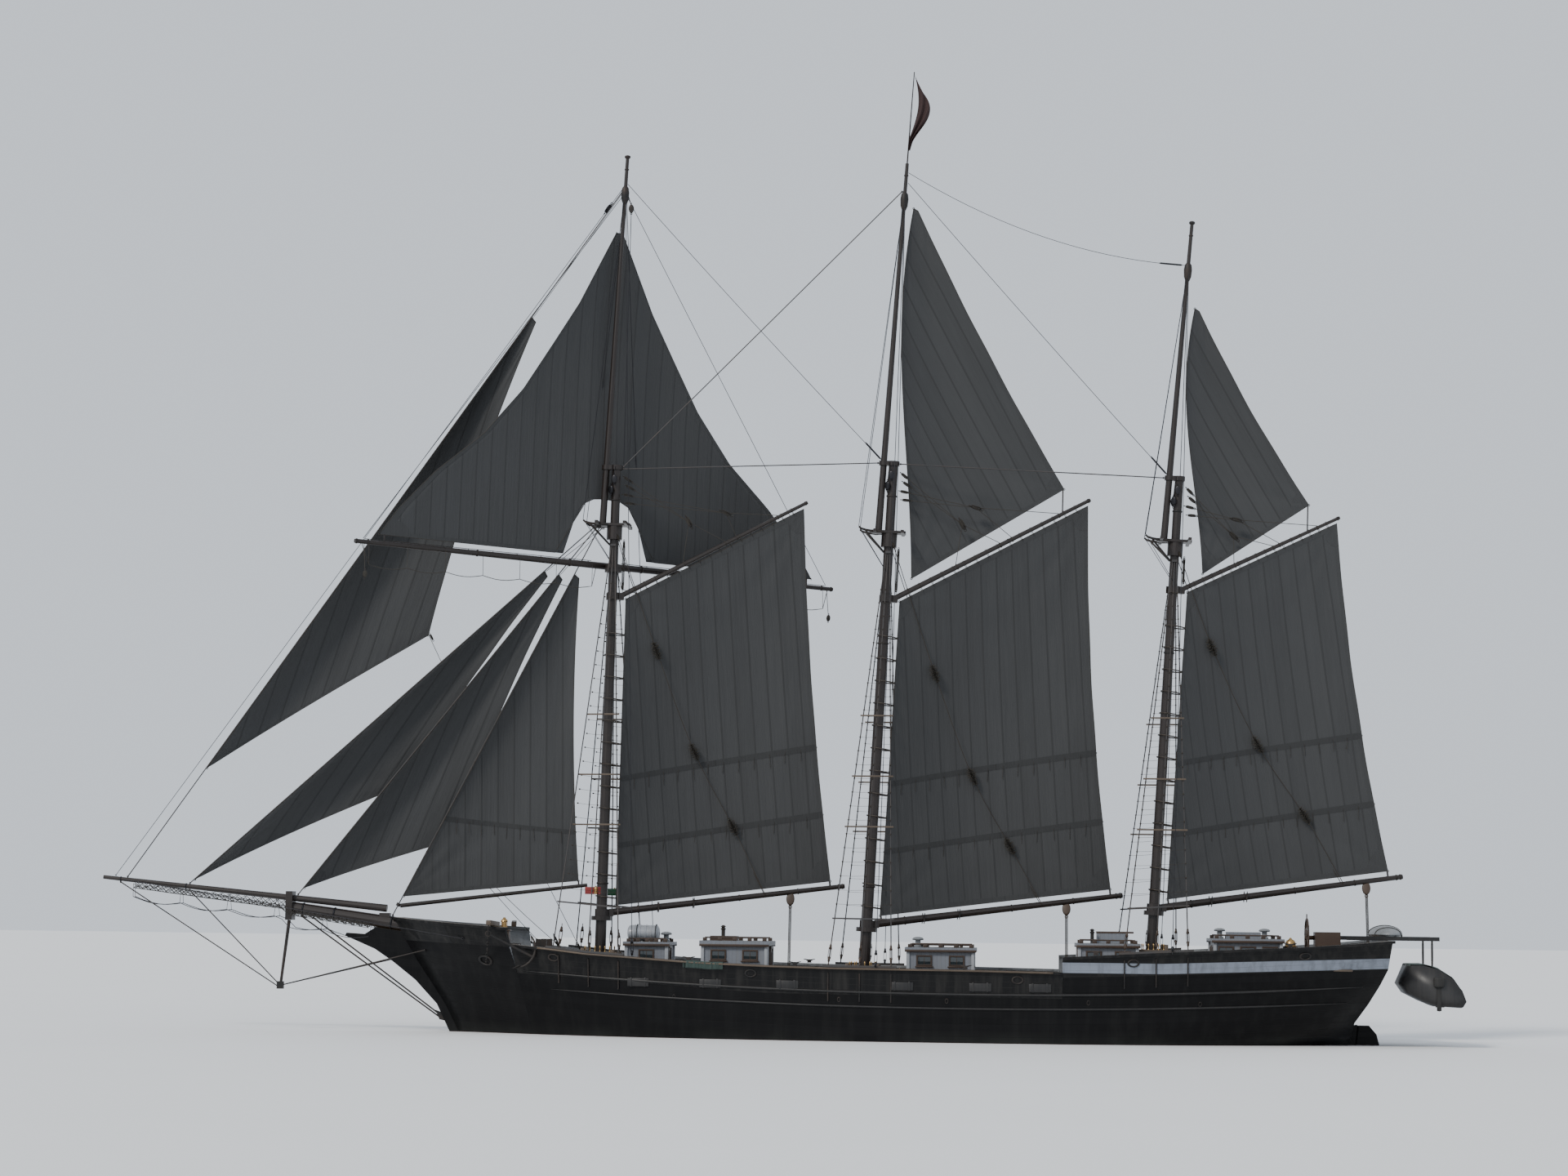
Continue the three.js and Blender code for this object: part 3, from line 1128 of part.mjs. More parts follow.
function buildHouses() {
  HOUSES.forEach(({ name, x0, x1, halfWidth, top, roof }) => {
    const pieces = [
      onDeck(x0, x1, halfWidth, top - 10),
      box(x0 - 90, x1 + 90, -halfWidth - 90, halfWidth + 90, top - roof, top),
    ];
    if (name === 'aft_deckhouse') pieces.push(box(5500, 6350, -420, 420, top - 20, 2990));
    if (name === 'stern_cabin') pieces.push(box(9100, 10000, -450, 450, top - 20, 3060));
    addMesh(group, name, join(...pieces), COLOURS.house, 0.6);
  });
}

function buildWindlass() {
  const [low, high] = [-10150, -9850];
  const bitts = [-620, 470].map((y) => {
    const ring = (x) => [
      point(x, y, deckHeight(x) + SEAT_GAP), point(x, y + 150, deckHeight(x) + SEAT_GAP),
      point(x, y + 150, 2620), point(x, y, 2620),
    ];
    return loft([ring(low), ring(high)]);
  });
  const barrel = bar(point(-10000, -1000, 2120), point(-10000, 1000, 2120), 150, 150, 12);
  addMesh(group, 'windlass', join(...bitts, barrel), COLOURS.iron, 0.5, 0.5);
}

// Davits over the taffrail and the covered dinghy that hangs under them, lying athwart
const DAVIT = { inner: 12300, outer: 14800, y: 950, height: 2880, depth: 110, fall: 14600 };
const DINGHY_SECTION = [
  [13700, 1720], [13880, 1460], [14300, 1250], [14640, 1110], [15400, 1070], [15500, 1230], [15400, 1500],
  [15130, 1880], [14720, 2140], [14300, 2250], [13930, 2250],
];
const DINGHY_CENTRE = { x: 14550, z: 1680 };
const DINGHY_STATIONS = [
  { y: -1550, scale: 0.93 }, { y: -700, scale: 1 }, { y: 300, scale: 0.97 }, { y: 1000, scale: 0.75 },
  { y: 1500, scale: 0.3 },
];

function buildBoat() {
  const centre = DINGHY_CENTRE;
  const rings = DINGHY_STATIONS.map(({ y, scale }) => DINGHY_SECTION.map(([x, z]) => point(
    centre.x + scale * (x - centre.x), y, centre.z + scale * (z - centre.z),
  )));
  const boat = loft(rings);
  addMesh(group, 'dinghy', boat, COLOURS.boat, 0.6);
  const low = DAVIT.height + 2 * SEAT_GAP;
  const beams = [-1, 1].map((side) => {
    const y = side * DAVIT.y;
    return join(
      box(DAVIT.inner, DAVIT.outer, y - 55, y + 55, low, low + DAVIT.depth),
      bar(point(DAVIT.fall, y, low + 20), point(DAVIT.fall, y, 1900), 25, 25, 8),
    );
  });
  const tie = box(DAVIT.outer - 110, DAVIT.outer - 10, -DAVIT.y, DAVIT.y, low + 10, low + 90);
  const overBoat = boat.clone().translate(0, 0, 2 * SEAT_GAP);
  addMesh(group, 'davits', cut(join(...beams, tie), overBoat), COLOURS.iron, 0.5, 0.5);
}

buildHull();
buildKeel();
buildBulwarks();
buildHeadGear();
buildMasts();
buildStays();
buildJibs();
buildStaysail();
Object.keys(GAFF_RIGS).forEach(buildGaffRig);
buildYard();
buildRudder();
buildPropeller();
buildWheel();
buildHouses();
buildWindlass();
buildBoat();

export default group;
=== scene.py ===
import math
import random
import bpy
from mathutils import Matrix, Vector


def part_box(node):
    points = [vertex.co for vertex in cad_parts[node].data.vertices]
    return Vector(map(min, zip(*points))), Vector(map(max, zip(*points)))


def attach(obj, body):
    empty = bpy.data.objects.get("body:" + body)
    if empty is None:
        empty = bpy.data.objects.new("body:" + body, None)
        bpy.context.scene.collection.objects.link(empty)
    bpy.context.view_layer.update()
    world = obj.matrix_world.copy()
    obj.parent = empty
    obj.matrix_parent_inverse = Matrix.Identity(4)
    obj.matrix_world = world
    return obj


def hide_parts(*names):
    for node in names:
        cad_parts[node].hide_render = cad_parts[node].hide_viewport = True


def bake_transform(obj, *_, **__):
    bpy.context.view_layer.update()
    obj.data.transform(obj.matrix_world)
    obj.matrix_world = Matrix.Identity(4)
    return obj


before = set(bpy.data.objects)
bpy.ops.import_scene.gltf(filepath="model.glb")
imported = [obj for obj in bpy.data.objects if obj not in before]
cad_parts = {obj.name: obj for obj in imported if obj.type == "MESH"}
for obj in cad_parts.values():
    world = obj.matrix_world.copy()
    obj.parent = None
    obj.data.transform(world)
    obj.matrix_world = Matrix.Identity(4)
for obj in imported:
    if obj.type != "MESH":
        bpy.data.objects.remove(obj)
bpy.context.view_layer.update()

from types import SimpleNamespace

import bmesh
import bpy
from mathutils import Matrix, Vector
from mathutils.bvhtree import BVHTree

bl_info = {
    "name": "Topsail schooner fit-out",
    "version": (1, 0, 0),
    "blender": (4, 5, 0),
    "location": "3D View > Sidebar > Schooner",
    "description": "Sails, rigging, deck fittings and finishes for the schooner's frame",
    "category": "Object",
}

# Masts, in metres. A mast's axis is at foot + rake * height, and x runs aft.
MASTS = {
    "fore": {
        "foot": -8.44, "rake": 0.0155, "radius": 0.160, "head": 0.125, "cap": 16.1, "trees": 14.42,
        "heel": (-8.555, 14.56), "truck": (-8.04, 25.08),
    },
    "main": {
        "foot": -1.06, "rake": 0.0486, "radius": 0.165, "head": 0.130, "cap": 16.25, "trees": 14.25,
        "heel": (-0.672, 14.39), "truck": (0.04, 24.87),
    },
    "mizzen": {
        "foot": 6.874, "rake": 0.0583, "radius": 0.155, "head": 0.120, "cap": 15.85, "trees": 14.04,
        "heel": (7.376, 14.18), "truck": (8.16, 23.09),
    },
}
TOPMAST_RADIUS = 0.100
TRUCK_RADIUS = 0.050
STAY_RADIUS = 0.016

# Gaff rigs in the plane of each mast: r is measured aft of the mast's axis, h along it
GAFF_RIGS = {
    "fore": {
        "sail": "foresail", "boom": (3.39, (6.91, 4.32), 0.100), "gaff": (12.35, (5.54, 15.29), 0.075), "foot": 0.185,
        "tack": 0.42, "clew": 6.52, "throat": 0.32, "peak": 5.38, "belly": 0.52, "leech": -0.14,
        "reefs": [(0.41, 0.358), (0.193, 0.178)], "lift": [(-6.92, 10.81), (-5.73, 7.96), (-4.57, 5.84)],
    },
    "main": {
        "sail": "mainsail", "boom": (3.17, (7.28, 4.40), 0.110), "gaff": (12.34, (5.76, 15.60), 0.080), "foot": 0.210,
        "tack": 0.40, "clew": 6.96, "throat": 0.33, "peak": 5.64, "belly": 0.56, "leech": -0.20,
        "reefs": [(0.416, 0.355), (0.201, 0.176)], "lift": [(1.04, 10.21), (2.22, 7.33), (3.32, 5.38)],
    },
    "mizzen": {
        "sail": "mizzen_sail", "boom": (3.73, (7.11, 5.08), 0.105), "gaff": (12.64, (4.73, 15.09), 0.070),
        "foot": 0.210, "tack": 0.40, "clew": 6.72, "throat": 0.36, "peak": 4.60, "belly": 0.52, "leech": -0.19,
        "reefs": [(0.439, 0.39), (0.208, 0.193)], "lift": [(8.81, 11.0), (10.24, 8.3), (11.59, 6.32)],
    },
}
SPAR_START = 0.23
SPAR_TAPER = 0.35
HEAD_GAP = 0.07
SWING = math.radians(12)
RIG_BODIES = {"fore": "fore_rig", "main": "main_rig", "mizzen": "mizzen_rig"}

TOPSAILS = {
    "main": {"tack": (0.72, 12.96), "clew": (5.00, 15.86), "head": (0.17, 23.62), "belly": 0.33, "hollow": 0.43},
    "mizzen": {"tack": (0.86, 13.16), "clew": (3.84, 15.38), "head": (0.19, 20.70), "belly": 0.26, "hollow": 0.43},
}
TOPSAIL_SIDE = 0.090

JIB_BOOM = {"heel": (-14.5, 3.42), "end": (-22.7, 4.21), "radius": 0.105, "end_radius": 0.055}
BOWSPRIT = {"heel": (-13.0, 2.83), "end": (-17.3, 3.42), "radius": 0.190, "end_radius": 0.165}
EYE = 0.0306
HEAD_STAY_FEET = (-14.33, -17.06, -20.19)
HEAD_STAY_TOPS = {"r": -0.43, "spacing": 0.075, "drop": 0.1056}
TOPMAST_STAY = {"boom": -22.0, "mast": 24.08}
JIBS = {
    "flying_jib": {"foot": 7.35, "head": 20.40, "clew": (-13.70, 1.00, 11.28), "belly": 0.48, "stay": None},
    "outer_jib": {"foot": 4.18, "head": 13.05, "clew": (-14.30, 0.90, 6.95), "belly": 0.38, "stay": 2},
    "inner_jib": {"foot": 3.98, "head": 12.95, "clew": (-12.85, 0.80, 5.38), "belly": 0.34, "stay": 1},
}
STAYSAIL = {"ring": 0.33, "boom": (-8.85, 4.13), "head": (-9.15, 12.85), "swing": math.radians(8)}

YARD = {"height": 13.23, "half": 8.0, "offset": 0.42, "radius": 0.10, "end_radius": 0.06}
YARD_SWING = math.radians(-51)
RAFFEE_ROWS = [
    (13.48, 7.25), (14.30, 6.65), (15.40, 5.60), (16.60, 4.15), (18.00, 2.95), (19.40, 2.05), (20.70, 1.23),
    (21.90, 0.62), (22.90, 0.11),
]
RAFFEE_ARCH = {"half": 1.35, "top": 15.15}
RAFFEE_BELLY = 0.62
RAFFEE_LEAN = (-0.47, -0.27)

# The foot of each shroud in a set, along the ship from its middle one
SHROUD_FEET = (-0.85, 0.0, 0.85)
SHROUD_BASE_HEIGHT = 2.30
SHEER_POLE_AT = 0.11

# Deckhouses: forward and after wall, half width, top of the roof, thickness of the roof
HOUSES = {
    "fore_deckhouse": (-7.56, -6.43, 0.90, 2.58, 0.08), "galley_deckhouse": (-5.40, -3.64, 1.15, 2.64, 0.12),
    "midship_deckhouse": (0.29, 2.08, 1.10, 2.53, 0.09), "aft_deckhouse": (5.00, 6.58, 1.15, 2.70, 0.08),
    "stern_cabin": (8.70, 10.50, 1.10, 2.88, 0.08),
}
ROOF_LIP = 0.09


# Reading the frame

def surface(*nodes):
    """A search tree over the faces of some of the frame's nodes."""
    points, faces = [], []
    for node in nodes:
        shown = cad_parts[node]
        start = len(points)
        points += [shown.matrix_world @ v.co for v in shown.data.vertices]
        faces += [[start + i for i in face.vertices] for face in shown.data.polygons]
    return BVHTree.FromPolygons(points, faces)


HULL_SIDE = surface("hull", "bulwark_port", "bulwark_starboard", "forecastle_bulwark", "quarterdeck_bulwark")
HULL_SHELL = surface("hull")
HOUSE_TOPS = surface("hull", *HOUSES, "steering_box", "windlass")


def under(tree, x, y, top=8.0):
    """The height of the first face under a point."""
    place, _, _, _ = tree.ray_cast(Vector((x, y, top)), Vector((0, 0, -1)))
    if place is None:
        raise RuntimeError(f"nothing lies under {x:.2f}, {y:.2f}")
    return place.z


def deck(x, y):
    return under(HULL_SHELL, x, y)


def outside(x, z, side):
    """The hull's outer face at a station and height, and the way that it faces."""
    place, normal, _, _ = HULL_SIDE.ray_cast(Vector((x, side * 8, z)), Vector((0, -side, 0)))
    if place is None:
        raise RuntimeError(f"the hull has no side at {x:.2f}, {z:.2f}")
    if normal.y * side < 0:
        normal.negate()
    return place, normal


def rail_top(x, side):
    """The top of the bulwark's cap rail over a station."""
    high = 3.3
    while True:
        edge, _, _, _ = HULL_SIDE.ray_cast(Vector((x, side * 8, high)), Vector((0, -side, 0)))
        if edge is not None and abs(edge.y) > 1.0:
            break
        high -= 0.05
        if high < 1.5:
            raise RuntimeError(f"there is no rail at {x:.2f}")
    best = None
    for step in range(-4, 12):
        hit, _, _, _ = HULL_SIDE.ray_cast(Vector((x, edge.y - side * 0.02 * step, 6)), Vector((0, 0, -1)))
        if hit is not None and (best is None or hit.z > best.z + 0.002):
            best = hit
    return best


# Places in the ship

def mast_frame(name, swing=0.0):
    """The frame of a mast, with its X aft and its Z along the mast, turned by a swing."""
    mast = MASTS[name]
    lean = Matrix.Rotation(math.atan(mast["rake"]), 4, "Y")
    return Matrix.Translation((mast["foot"], 0, 0)) @ lean @ Matrix.Rotation(swing, 4, "Z")


def mast_radius(name, h):
    mast = MASTS[name]
    return mast["radius"] + (h - 1.5) / (mast["cap"] - 1.5) * (mast["head"] - mast["radius"])


def topmast_at(name, z):
    """The topmast's axis and radius at a height in the ship."""
    (x0, z0), (x1, z1) = MASTS[name]["heel"], MASTS[name]["truck"]
    t = (z - z0) / (z1 - z0)
    return Vector((x0 + t * (x1 - x0), 0, z)), TOPMAST_RADIUS + t * (TRUCK_RADIUS - TOPMAST_RADIUS)


def spar_at(spar, x):
    """The axis and the radius of the jib boom or the bowsprit at a station."""
    (x0, z0), (x1, z1) = spar["heel"], spar["end"]
    t = (x - x0) / (x1 - x0)
    return Vector((x, 0, z0 + t * (z1 - z0))), spar["radius"] + t * (spar["end_radius"] - spar["radius"])


def on_jib_boom(x):
    axis, radius = spar_at(JIB_BOOM, x)
    return axis + Vector((0, 0, radius + EYE))


def head_stay(i):
    """The foot and the top of one of the stays from the bowsprit to the foremast."""
    mast = MASTS["fore"]
    top = mast_frame("fore") @ Vector((HEAD_STAY_TOPS["r"] - i * HEAD_STAY_TOPS["spacing"], 0,
                                       mast["trees"] - HEAD_STAY_TOPS["drop"]))
    x = HEAD_STAY_FEET[i]
    if i > 0:
        return on_jib_boom(x), top
    axis, _ = spar_at(BOWSPRIT, x)
    return axis + Vector((0, 0, BOWSPRIT["radius"] + 0.032)), top


def topmast_stay():
    axis, radius = topmast_at("fore", TOPMAST_STAY["mast"])
    return on_jib_boom(TOPMAST_STAY["boom"]), axis - Vector((radius + EYE, 0, 0))


def shroud_lines(name, side):
    """The three shrouds of a set, each from its foot on the rail to its head at the mast."""
    mast = MASTS[name]
    top = mast["trees"] - 0.62
    base = mast["foot"] + mast["rake"] * SHROUD_BASE_HEIGHT
    radius = mast_radius(name, top - 0.045)
    lines = []
    for i, foot in enumerate(SHROUD_FEET):
        low = rail_top(base + foot, side) + Vector((0, 0, 0.04))
        head = Vector((mast["foot"] + mast["rake"] * top + 0.048 * (i - 1), side * (radius + 0.0306), top))
        lines.append((low, head))
    return lines


class Spar:
    """A boom or a gaff in the plane of its mast."""

    def __init__(self, height, end, radius):
        self.start = Vector((SPAR_START, 0, height))
        self.end = Vector((end[0], 0, end[1]))
        self.radius = radius
        self.length = (self.end - self.start).length
        self.way = (self.end - self.start) / self.length
        self.up = Vector((-self.way.z, 0, self.way.x))

    def radius_at(self, r):
        return self.radius * (1 - SPAR_TAPER * (r - self.start.x) / self.way.x / self.length)

    def on(self, r, rise=0.0):
        return self.start + self.way * ((r - self.start.x) / self.way.x) + self.up * rise


# Modelling by hand: a primitive, shaped in edit mode

def start(kind, **values):
    """A primitive of a kind, alone in the selection and open in edit mode."""
    bpy.ops.object.select_all(action="DESELECT")
    getattr(bpy.ops.mesh, f"primitive_{kind}_add")(**values)
    bpy.ops.object.mode_set(mode="EDIT")


def resize(value, centre=(0, 0, 0)):
    bpy.ops.transform.resize(value=value, center_override=centre)


def start_box(size, centre=(0, 0, 0)):
    start("cube", size=1, location=centre)
    resize(size, centre)


def pick(test, kind="faces"):
    """Selects the faces or edges of the open mesh whose middle and normal, or run, pass a test."""
    mesh = bmesh.from_edit_mesh(bpy.context.object.data)
    bpy.ops.mesh.select_all(action="DESELECT")
    mesh.normal_update()
    for part in getattr(mesh, kind):
        if kind == "faces":
            wanted = test(part.calc_center_median(), part.normal)
        else:
            first, last = (v.co for v in part.verts)
            wanted = test((first + last) / 2, last - first)
        if wanted:
            part.select_set(True)
    bmesh.update_edit_mesh(bpy.context.object.data)


def extrude(move_, size=None, centre=None):
    bpy.ops.mesh.extrude_region_move(TRANSFORM_OT_translate={"value": move_})
    if size is not None:
        resize(size, centre)


def cut(z, **values):
    """Cuts the selected mesh level."""
    bpy.ops.mesh.bisect(plane_co=(0, 0, z), plane_no=(0, 0, 1), **values)


def bevelled(offset, segments=2):
    bpy.ops.mesh.select_all(action="SELECT")
    bpy.ops.mesh.bevel(offset=offset, segments=segments, affect="EDGES")


def sink_panels(thickness, depth=-0.012):
    bpy.ops.mesh.inset(thickness=thickness, use_individual=True)
    bpy.ops.mesh.extrude_faces_move(TRANSFORM_OT_shrink_fatten={"value": depth})


def closed(smooth=30):
    """Leaves edit mode and takes the finished mesh out of its object."""
    bpy.ops.mesh.select_all(action="SELECT")
    bpy.ops.mesh.remove_doubles(threshold=0.00005)
    bpy.ops.mesh.normals_make_consistent(inside=False)
    bpy.ops.object.mode_set(mode="OBJECT")
    shown = bpy.context.object
    bpy.ops.object.transform_apply(location=True, rotation=True, scale=True)
    bpy.ops.object.shade_smooth_by_angle(angle=math.radians(smooth))
    mesh = shown.data.copy()
    bpy.data.objects.remove(shown, do_unlink=True)
    return mesh


def boxed(low, high, edge=0.01, segments=2):
    """A box between two corners with its edges rounded."""
    size = [b - a for a, b in zip(low, high)]
    start_box(size, [(a + b) / 2 for a, b in zip(low, high)])
    bpy.ops.mesh.bevel(offset=min(edge, 0.45 * min(size)), segments=segments, affect="EDGES")
    return closed()


def bar(x, y, low, high, edge=0.01):
    """A rounded box about the origin, x and y being half its sides."""
    return boxed((-x, -y, low), (x, y, high), edge)


def turned(profile, sides=12, smooth=40):
    """A shape of rings round Z, given as radius and height from its foot to its head."""
    radius, low = profile[0]
    start("circle", vertices=sides, radius=radius, fill_type="NGON", location=(0, 0, low))
    for wide, high in profile[1:]:
        extrude((0, 0, high - low), (wide / radius, wide / radius, 1), (0, 0, high))
        radius, low = wide, high
    return closed(smooth)


def ringed(radius, thick, sides=20, around=8, squash=1.0):
    """A ring round Z of a round section, spun from its section."""
    start("circle", vertices=around, radius=thick, location=(radius, 0, 0), rotation=(math.pi / 2, 0, 0))
    resize((1, 1, squash), (radius, 0, 0))
    bpy.ops.mesh.spin(steps=sides, angle=math.tau, center=(0, 0, 0), axis=(0, 0, 1))
    return closed(60)


def move(x, y=0, z=0):
    return Matrix.Translation(x if isinstance(x, Vector) else (x, y, z))


def sized(*size):
    return Matrix.Diagonal((*size, 1))


def raised(z):
    return Vector((0, 0, z))


def placed(at, way=None, size=1.0, up=(0, 0, 1)):
    """A matrix that puts a shape at a place, with its Z along a way and its X towards up."""
    turn = Matrix.Identity(4)
    if way is not None:
        z = Vector(way).normalized()
        y = z.cross(Vector(up))
        if y.length < 0.001:
            y = z.cross(Vector((1, 0, 0)) if abs(z.x) < 0.9 else Vector((0, 1, 0)))
        y.normalize()
        turn = Matrix((y.cross(z), y, z)).transposed().to_4x4()
    if not hasattr(size, "__len__"):
        size = (size,) * 3
    return Matrix.Translation(at) @ turn @ sized(*size)


def on_wall(at, way, size=1.0):
    """A matrix that puts an upright shape at a place with its Y along a level way."""
    return placed(at, UP, size, Vector(way).cross(UP))


UP = raised(1)
ACROSS = Matrix.Rotation(math.pi / 2, 4, "Y")
UPRIGHT = Matrix.Rotation(math.pi / 2, 4, "X")
SHAPES = {}

# The slot of each material of the fit-out
SLOTS = {material: slot for slot, materials in {
    "wire_rope": "hemp_rope tarred_rope wire_rope worn_tufts", "ironwork": "iron_black galvanised",
    "varnished_wood": "teak hoop_wood", "dark_wood": "block_wood rail_wood pane_glass", "bronze": "bronze",
    "white_paint": "white_enamel grey_enamel port_red starboard_green", "hull_paint": "black_enamel",
    "sailcloth": "sail_canvas sail_bands sail_patches cover_canvas pennant_cloth",
}.items() for material in materials.split()}


class Bundle:
    """Gathers lines and copies of modelled shapes into one piece."""

    def __init__(self, name, material, body="ship", slot=None):
        self.name, self.material, self.body, self.slot = name, material, body, slot
        self.mesh = bmesh.new()
        self.lay = self.mesh.loops.layers.uv.new("UVMap")

    def add(self, shape, matrix):
        """Adds a copy of a mesh, or of the shape of a name, turned the right way out if mirrored."""
        copy = (SHAPES[shape] if isinstance(shape, str) else shape).copy()
        copy.transform(matrix)
        if matrix.determinant() < 0:
            copy.flip_normals()
        self.mesh.from_mesh(copy)
        bpy.data.meshes.remove(copy)

    def line(self, points, radius, sides=6, radii=None, loop=False):
        """A rope or rod along points. Its UV runs in metres, so that a lay can follow it."""
        points = [Vector(p) for p in points]
        count = len(points)
        rings, run, normal = [], 0.0, None
        for i, p in enumerate(points):
            before = points[i - 1] if i or loop else p
            after = points[(i + 1) % count] if i < count - 1 or loop else p
            way = (after - before).normalized()
            if normal is None:
                normal = way.orthogonal().normalized()
            normal = (normal - way * normal.dot(way)).normalized()
            cross = way.cross(normal)
            wide = radii[i] if radii else radius
            run += (p - points[i - 1]).length if i else 0.0
            rings.append(([self.mesh.verts.new(
                p + (normal * math.cos(a) + cross * math.sin(a)) * wide)
                for a in (math.tau * k / sides for k in range(sides))], run))
        pairs = list(zip(rings, rings[1:])) + ([(rings[-1], rings[0])] if loop else [])
        for (low, at), (high, to) in pairs:
            for k in range(sides):
                j = (k + 1) % sides
                face = self.mesh.faces.new((low[k], low[j], high[j], high[k]))
                face.smooth = True
                end = to if to > at else at + (points[0] - points[-1]).length
                for loop_, (u, v) in zip(face.loops, ((k, at), (k + 1, at), (k + 1, end), (k, end))):
                    loop_[self.lay].uv = (u / sides, v)
        if not loop:
            self.mesh.faces.new(list(reversed(rings[0][0])))
            self.mesh.faces.new(rings[-1][0])

    def as_mesh(self):
        """Its shapes as one mesh, for another bundle."""
        return to_mesh(self.mesh, self.name)

    def finish(self):
        return shown_piece(self.name, self.as_mesh(), self.material, self.body, self.slot)


def finish(*bundles):
    for bundle in bundles:
        bundle.finish()


def to_mesh(mesh, name):
    data = bpy.data.meshes.new(name)
    mesh.to_mesh(data)
    mesh.free()
    return data


def alone(piece):
    """Selects one object and makes it the active one."""
    bpy.ops.object.select_all(action="DESELECT")
    bpy.context.view_layer.objects.active = piece
    piece.select_set(True)


def shown_piece(name, data, material, body, slot=None):
    """A piece of the fit-out with its material, on its body unless it bridges two."""
    piece = bpy.data.objects.new(name, data)
    bpy.context.scene.collection.objects.link(piece)
    data.materials.clear()
    data.materials.append(bpy.data.materials[material])
    for face in data.polygons:
        face.material_index = 0
    if body is not None:
        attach(piece, body)
    slot or SLOTS[material]
    return piece


def joined(*parts):
    """One mesh from several, each given with its matrix or alone."""
    whole = bmesh.new()
    whole.loops.layers.uv.new("UVMap")
    for part in parts:
        mesh, matrix = part if isinstance(part, tuple) else (part, Matrix.Identity(4))
        copy = mesh.copy()
        copy.transform(matrix)
        whole.from_mesh(copy)
        bpy.data.meshes.remove(copy)
    return to_mesh(whole, "joined")


def sagging(a, b, sag, steps=10):
    """Points of a line that hangs a little between two ends."""
    a, b = Vector(a), Vector(b)
    return [a.lerp(b, t) - raised(4 * sag * t * (1 - t)) for t in (i / steps for i in range(steps + 1))]


def coil(centre, radius, rope, turns, normal, steps):
    """Points of a coil of rope that lies flat or hangs on a pin."""
    z = Vector(normal).normalized()
    x = z.orthogonal().normalized()
    y = z.cross(x)
    points = []
    for i in range(turns * steps + 1):
        a, layer = math.tau * i / steps, i / steps
        wide = radius - rope * 1.7 * (layer % 3)
        points.append(Vector(centre) + (x * math.cos(a) + y * math.sin(a)) * wide
                      + z * rope * (1 + 1.6 * (layer // 3) + 0.3 * math.sin(3 * a)))
    return points


# Materials

class Value:
    """What a socket gives, so that sums and products of sockets can be written as such."""

    def __init__(self, socket):
        self.socket, self.tree = socket, socket.id_data

    def to(self, operation, *others, clamp=False):
        return maths(self.tree, operation, self, *others, clamp=clamp)

    def __add__(self, other):
        return self.to("ADD", other)

    def __sub__(self, other):
        return self.to("SUBTRACT", other)

    def __rsub__(self, other):
        return maths(self.tree, "SUBTRACT", other, self)

    def __mul__(self, other):
        return self.to("MULTIPLY", other)

    def __truediv__(self, other):
        return self.to("DIVIDE", other)


def feed(socket, value):
    """Joins a socket to what another gives, or sets it."""
    if isinstance(value, Value):
        value.tree.links.new(value.socket, socket)
    else:
        socket.default_value = value


def named(sockets):
    return SimpleNamespace(**{socket.name.lower(): Value(socket) for socket in sockets if socket.name})


def maths(tree, operation, *values, clamp=False):
    return Nodes(tree).add("Math", {"operation": operation, "use_clamp": clamp},
                           **{f"in{i}": v for i, v in enumerate(values)})


class Nodes:
    """The nodes of a material or of an effect."""

    def __init__(self, tree, ends=None):
        self.tree, self.ends = tree, ends

    def node(self, kind, settings=None, **inputs):
        """A node whose inputs are set or joined. in0, in1 and so on go by number."""
        made = self.tree.nodes.new("ShaderNode" + kind)
        for key, value in (settings or {}).items():
            setattr(made, key, value)
        for key, value in inputs.items():
            feed(made.inputs[int(key[2:]) if key[2:].isdigit() else key.replace("_", " ")], value)
        return made

    def add(self, kind, settings=None, **inputs):
        return Value(self.node(kind, settings, **inputs).outputs[0])

    def use(self, name, **inputs):
        """An effect, with what it gives under the names of its outputs."""
        made = self.node("Group", {"node_tree": bpy.data.node_groups[name]}, **inputs)
        return named(made.outputs)

    def give(self, **values):
        """Feeds the end of an effect, or the shader of a material."""
        for key, value in values.items():
            feed(self.ends.inputs[key.replace("_", " ")], value)

    def mix(self, mask, first, second):
        first, second = (v if isinstance(v, Value) else (*v[:3], 1) for v in (first, second))
        return Value(self.node("Mix", {"data_type": "RGBA"}, in0=mask, in6=first, in7=second).outputs[2])

    def ramp(self, value, low, high, to_low=0.0, to_high=1.0):
        return self.add("MapRange", {"clamp": True}, Value=value, From_Min=low, From_Max=high,
                        To_Min=to_low, To_Max=to_high)

    def noise(self, vector, scale, detail=3.0, rough=0.55):
        return self.add("TexNoise", None, Vector=vector, Scale=scale, Detail=detail, Roughness=rough)

    def stretched(self, vector, size):
        return self.add("Mapping", None, Vector=vector, Scale=size)

    def parts(self, vector):
        return [Value(socket) for socket in self.node("SeparateXYZ", None, Vector=vector).outputs]

    def place(self):
        return Value(self.node("TexCoord").outputs["Object"])

    def facing(self):
        return self.parts(Value(self.node("NewGeometry").outputs["Normal"]))

    def cloth_place(self):
        return self.add("UVMap", {"uv_map": "UVMap"})

    def weather(self, scale):
        return self.use("Weather", Place=self.place(), Scale=scale)

    def bump(self, height, strength, distance, under_bump=None):
        inputs = {"Normal": under_bump} if under_bump else {}
        made = self.add("Bump", None, Height=height, Strength=strength, Distance=distance, **inputs)
        self.give(Normal=made)
        return made


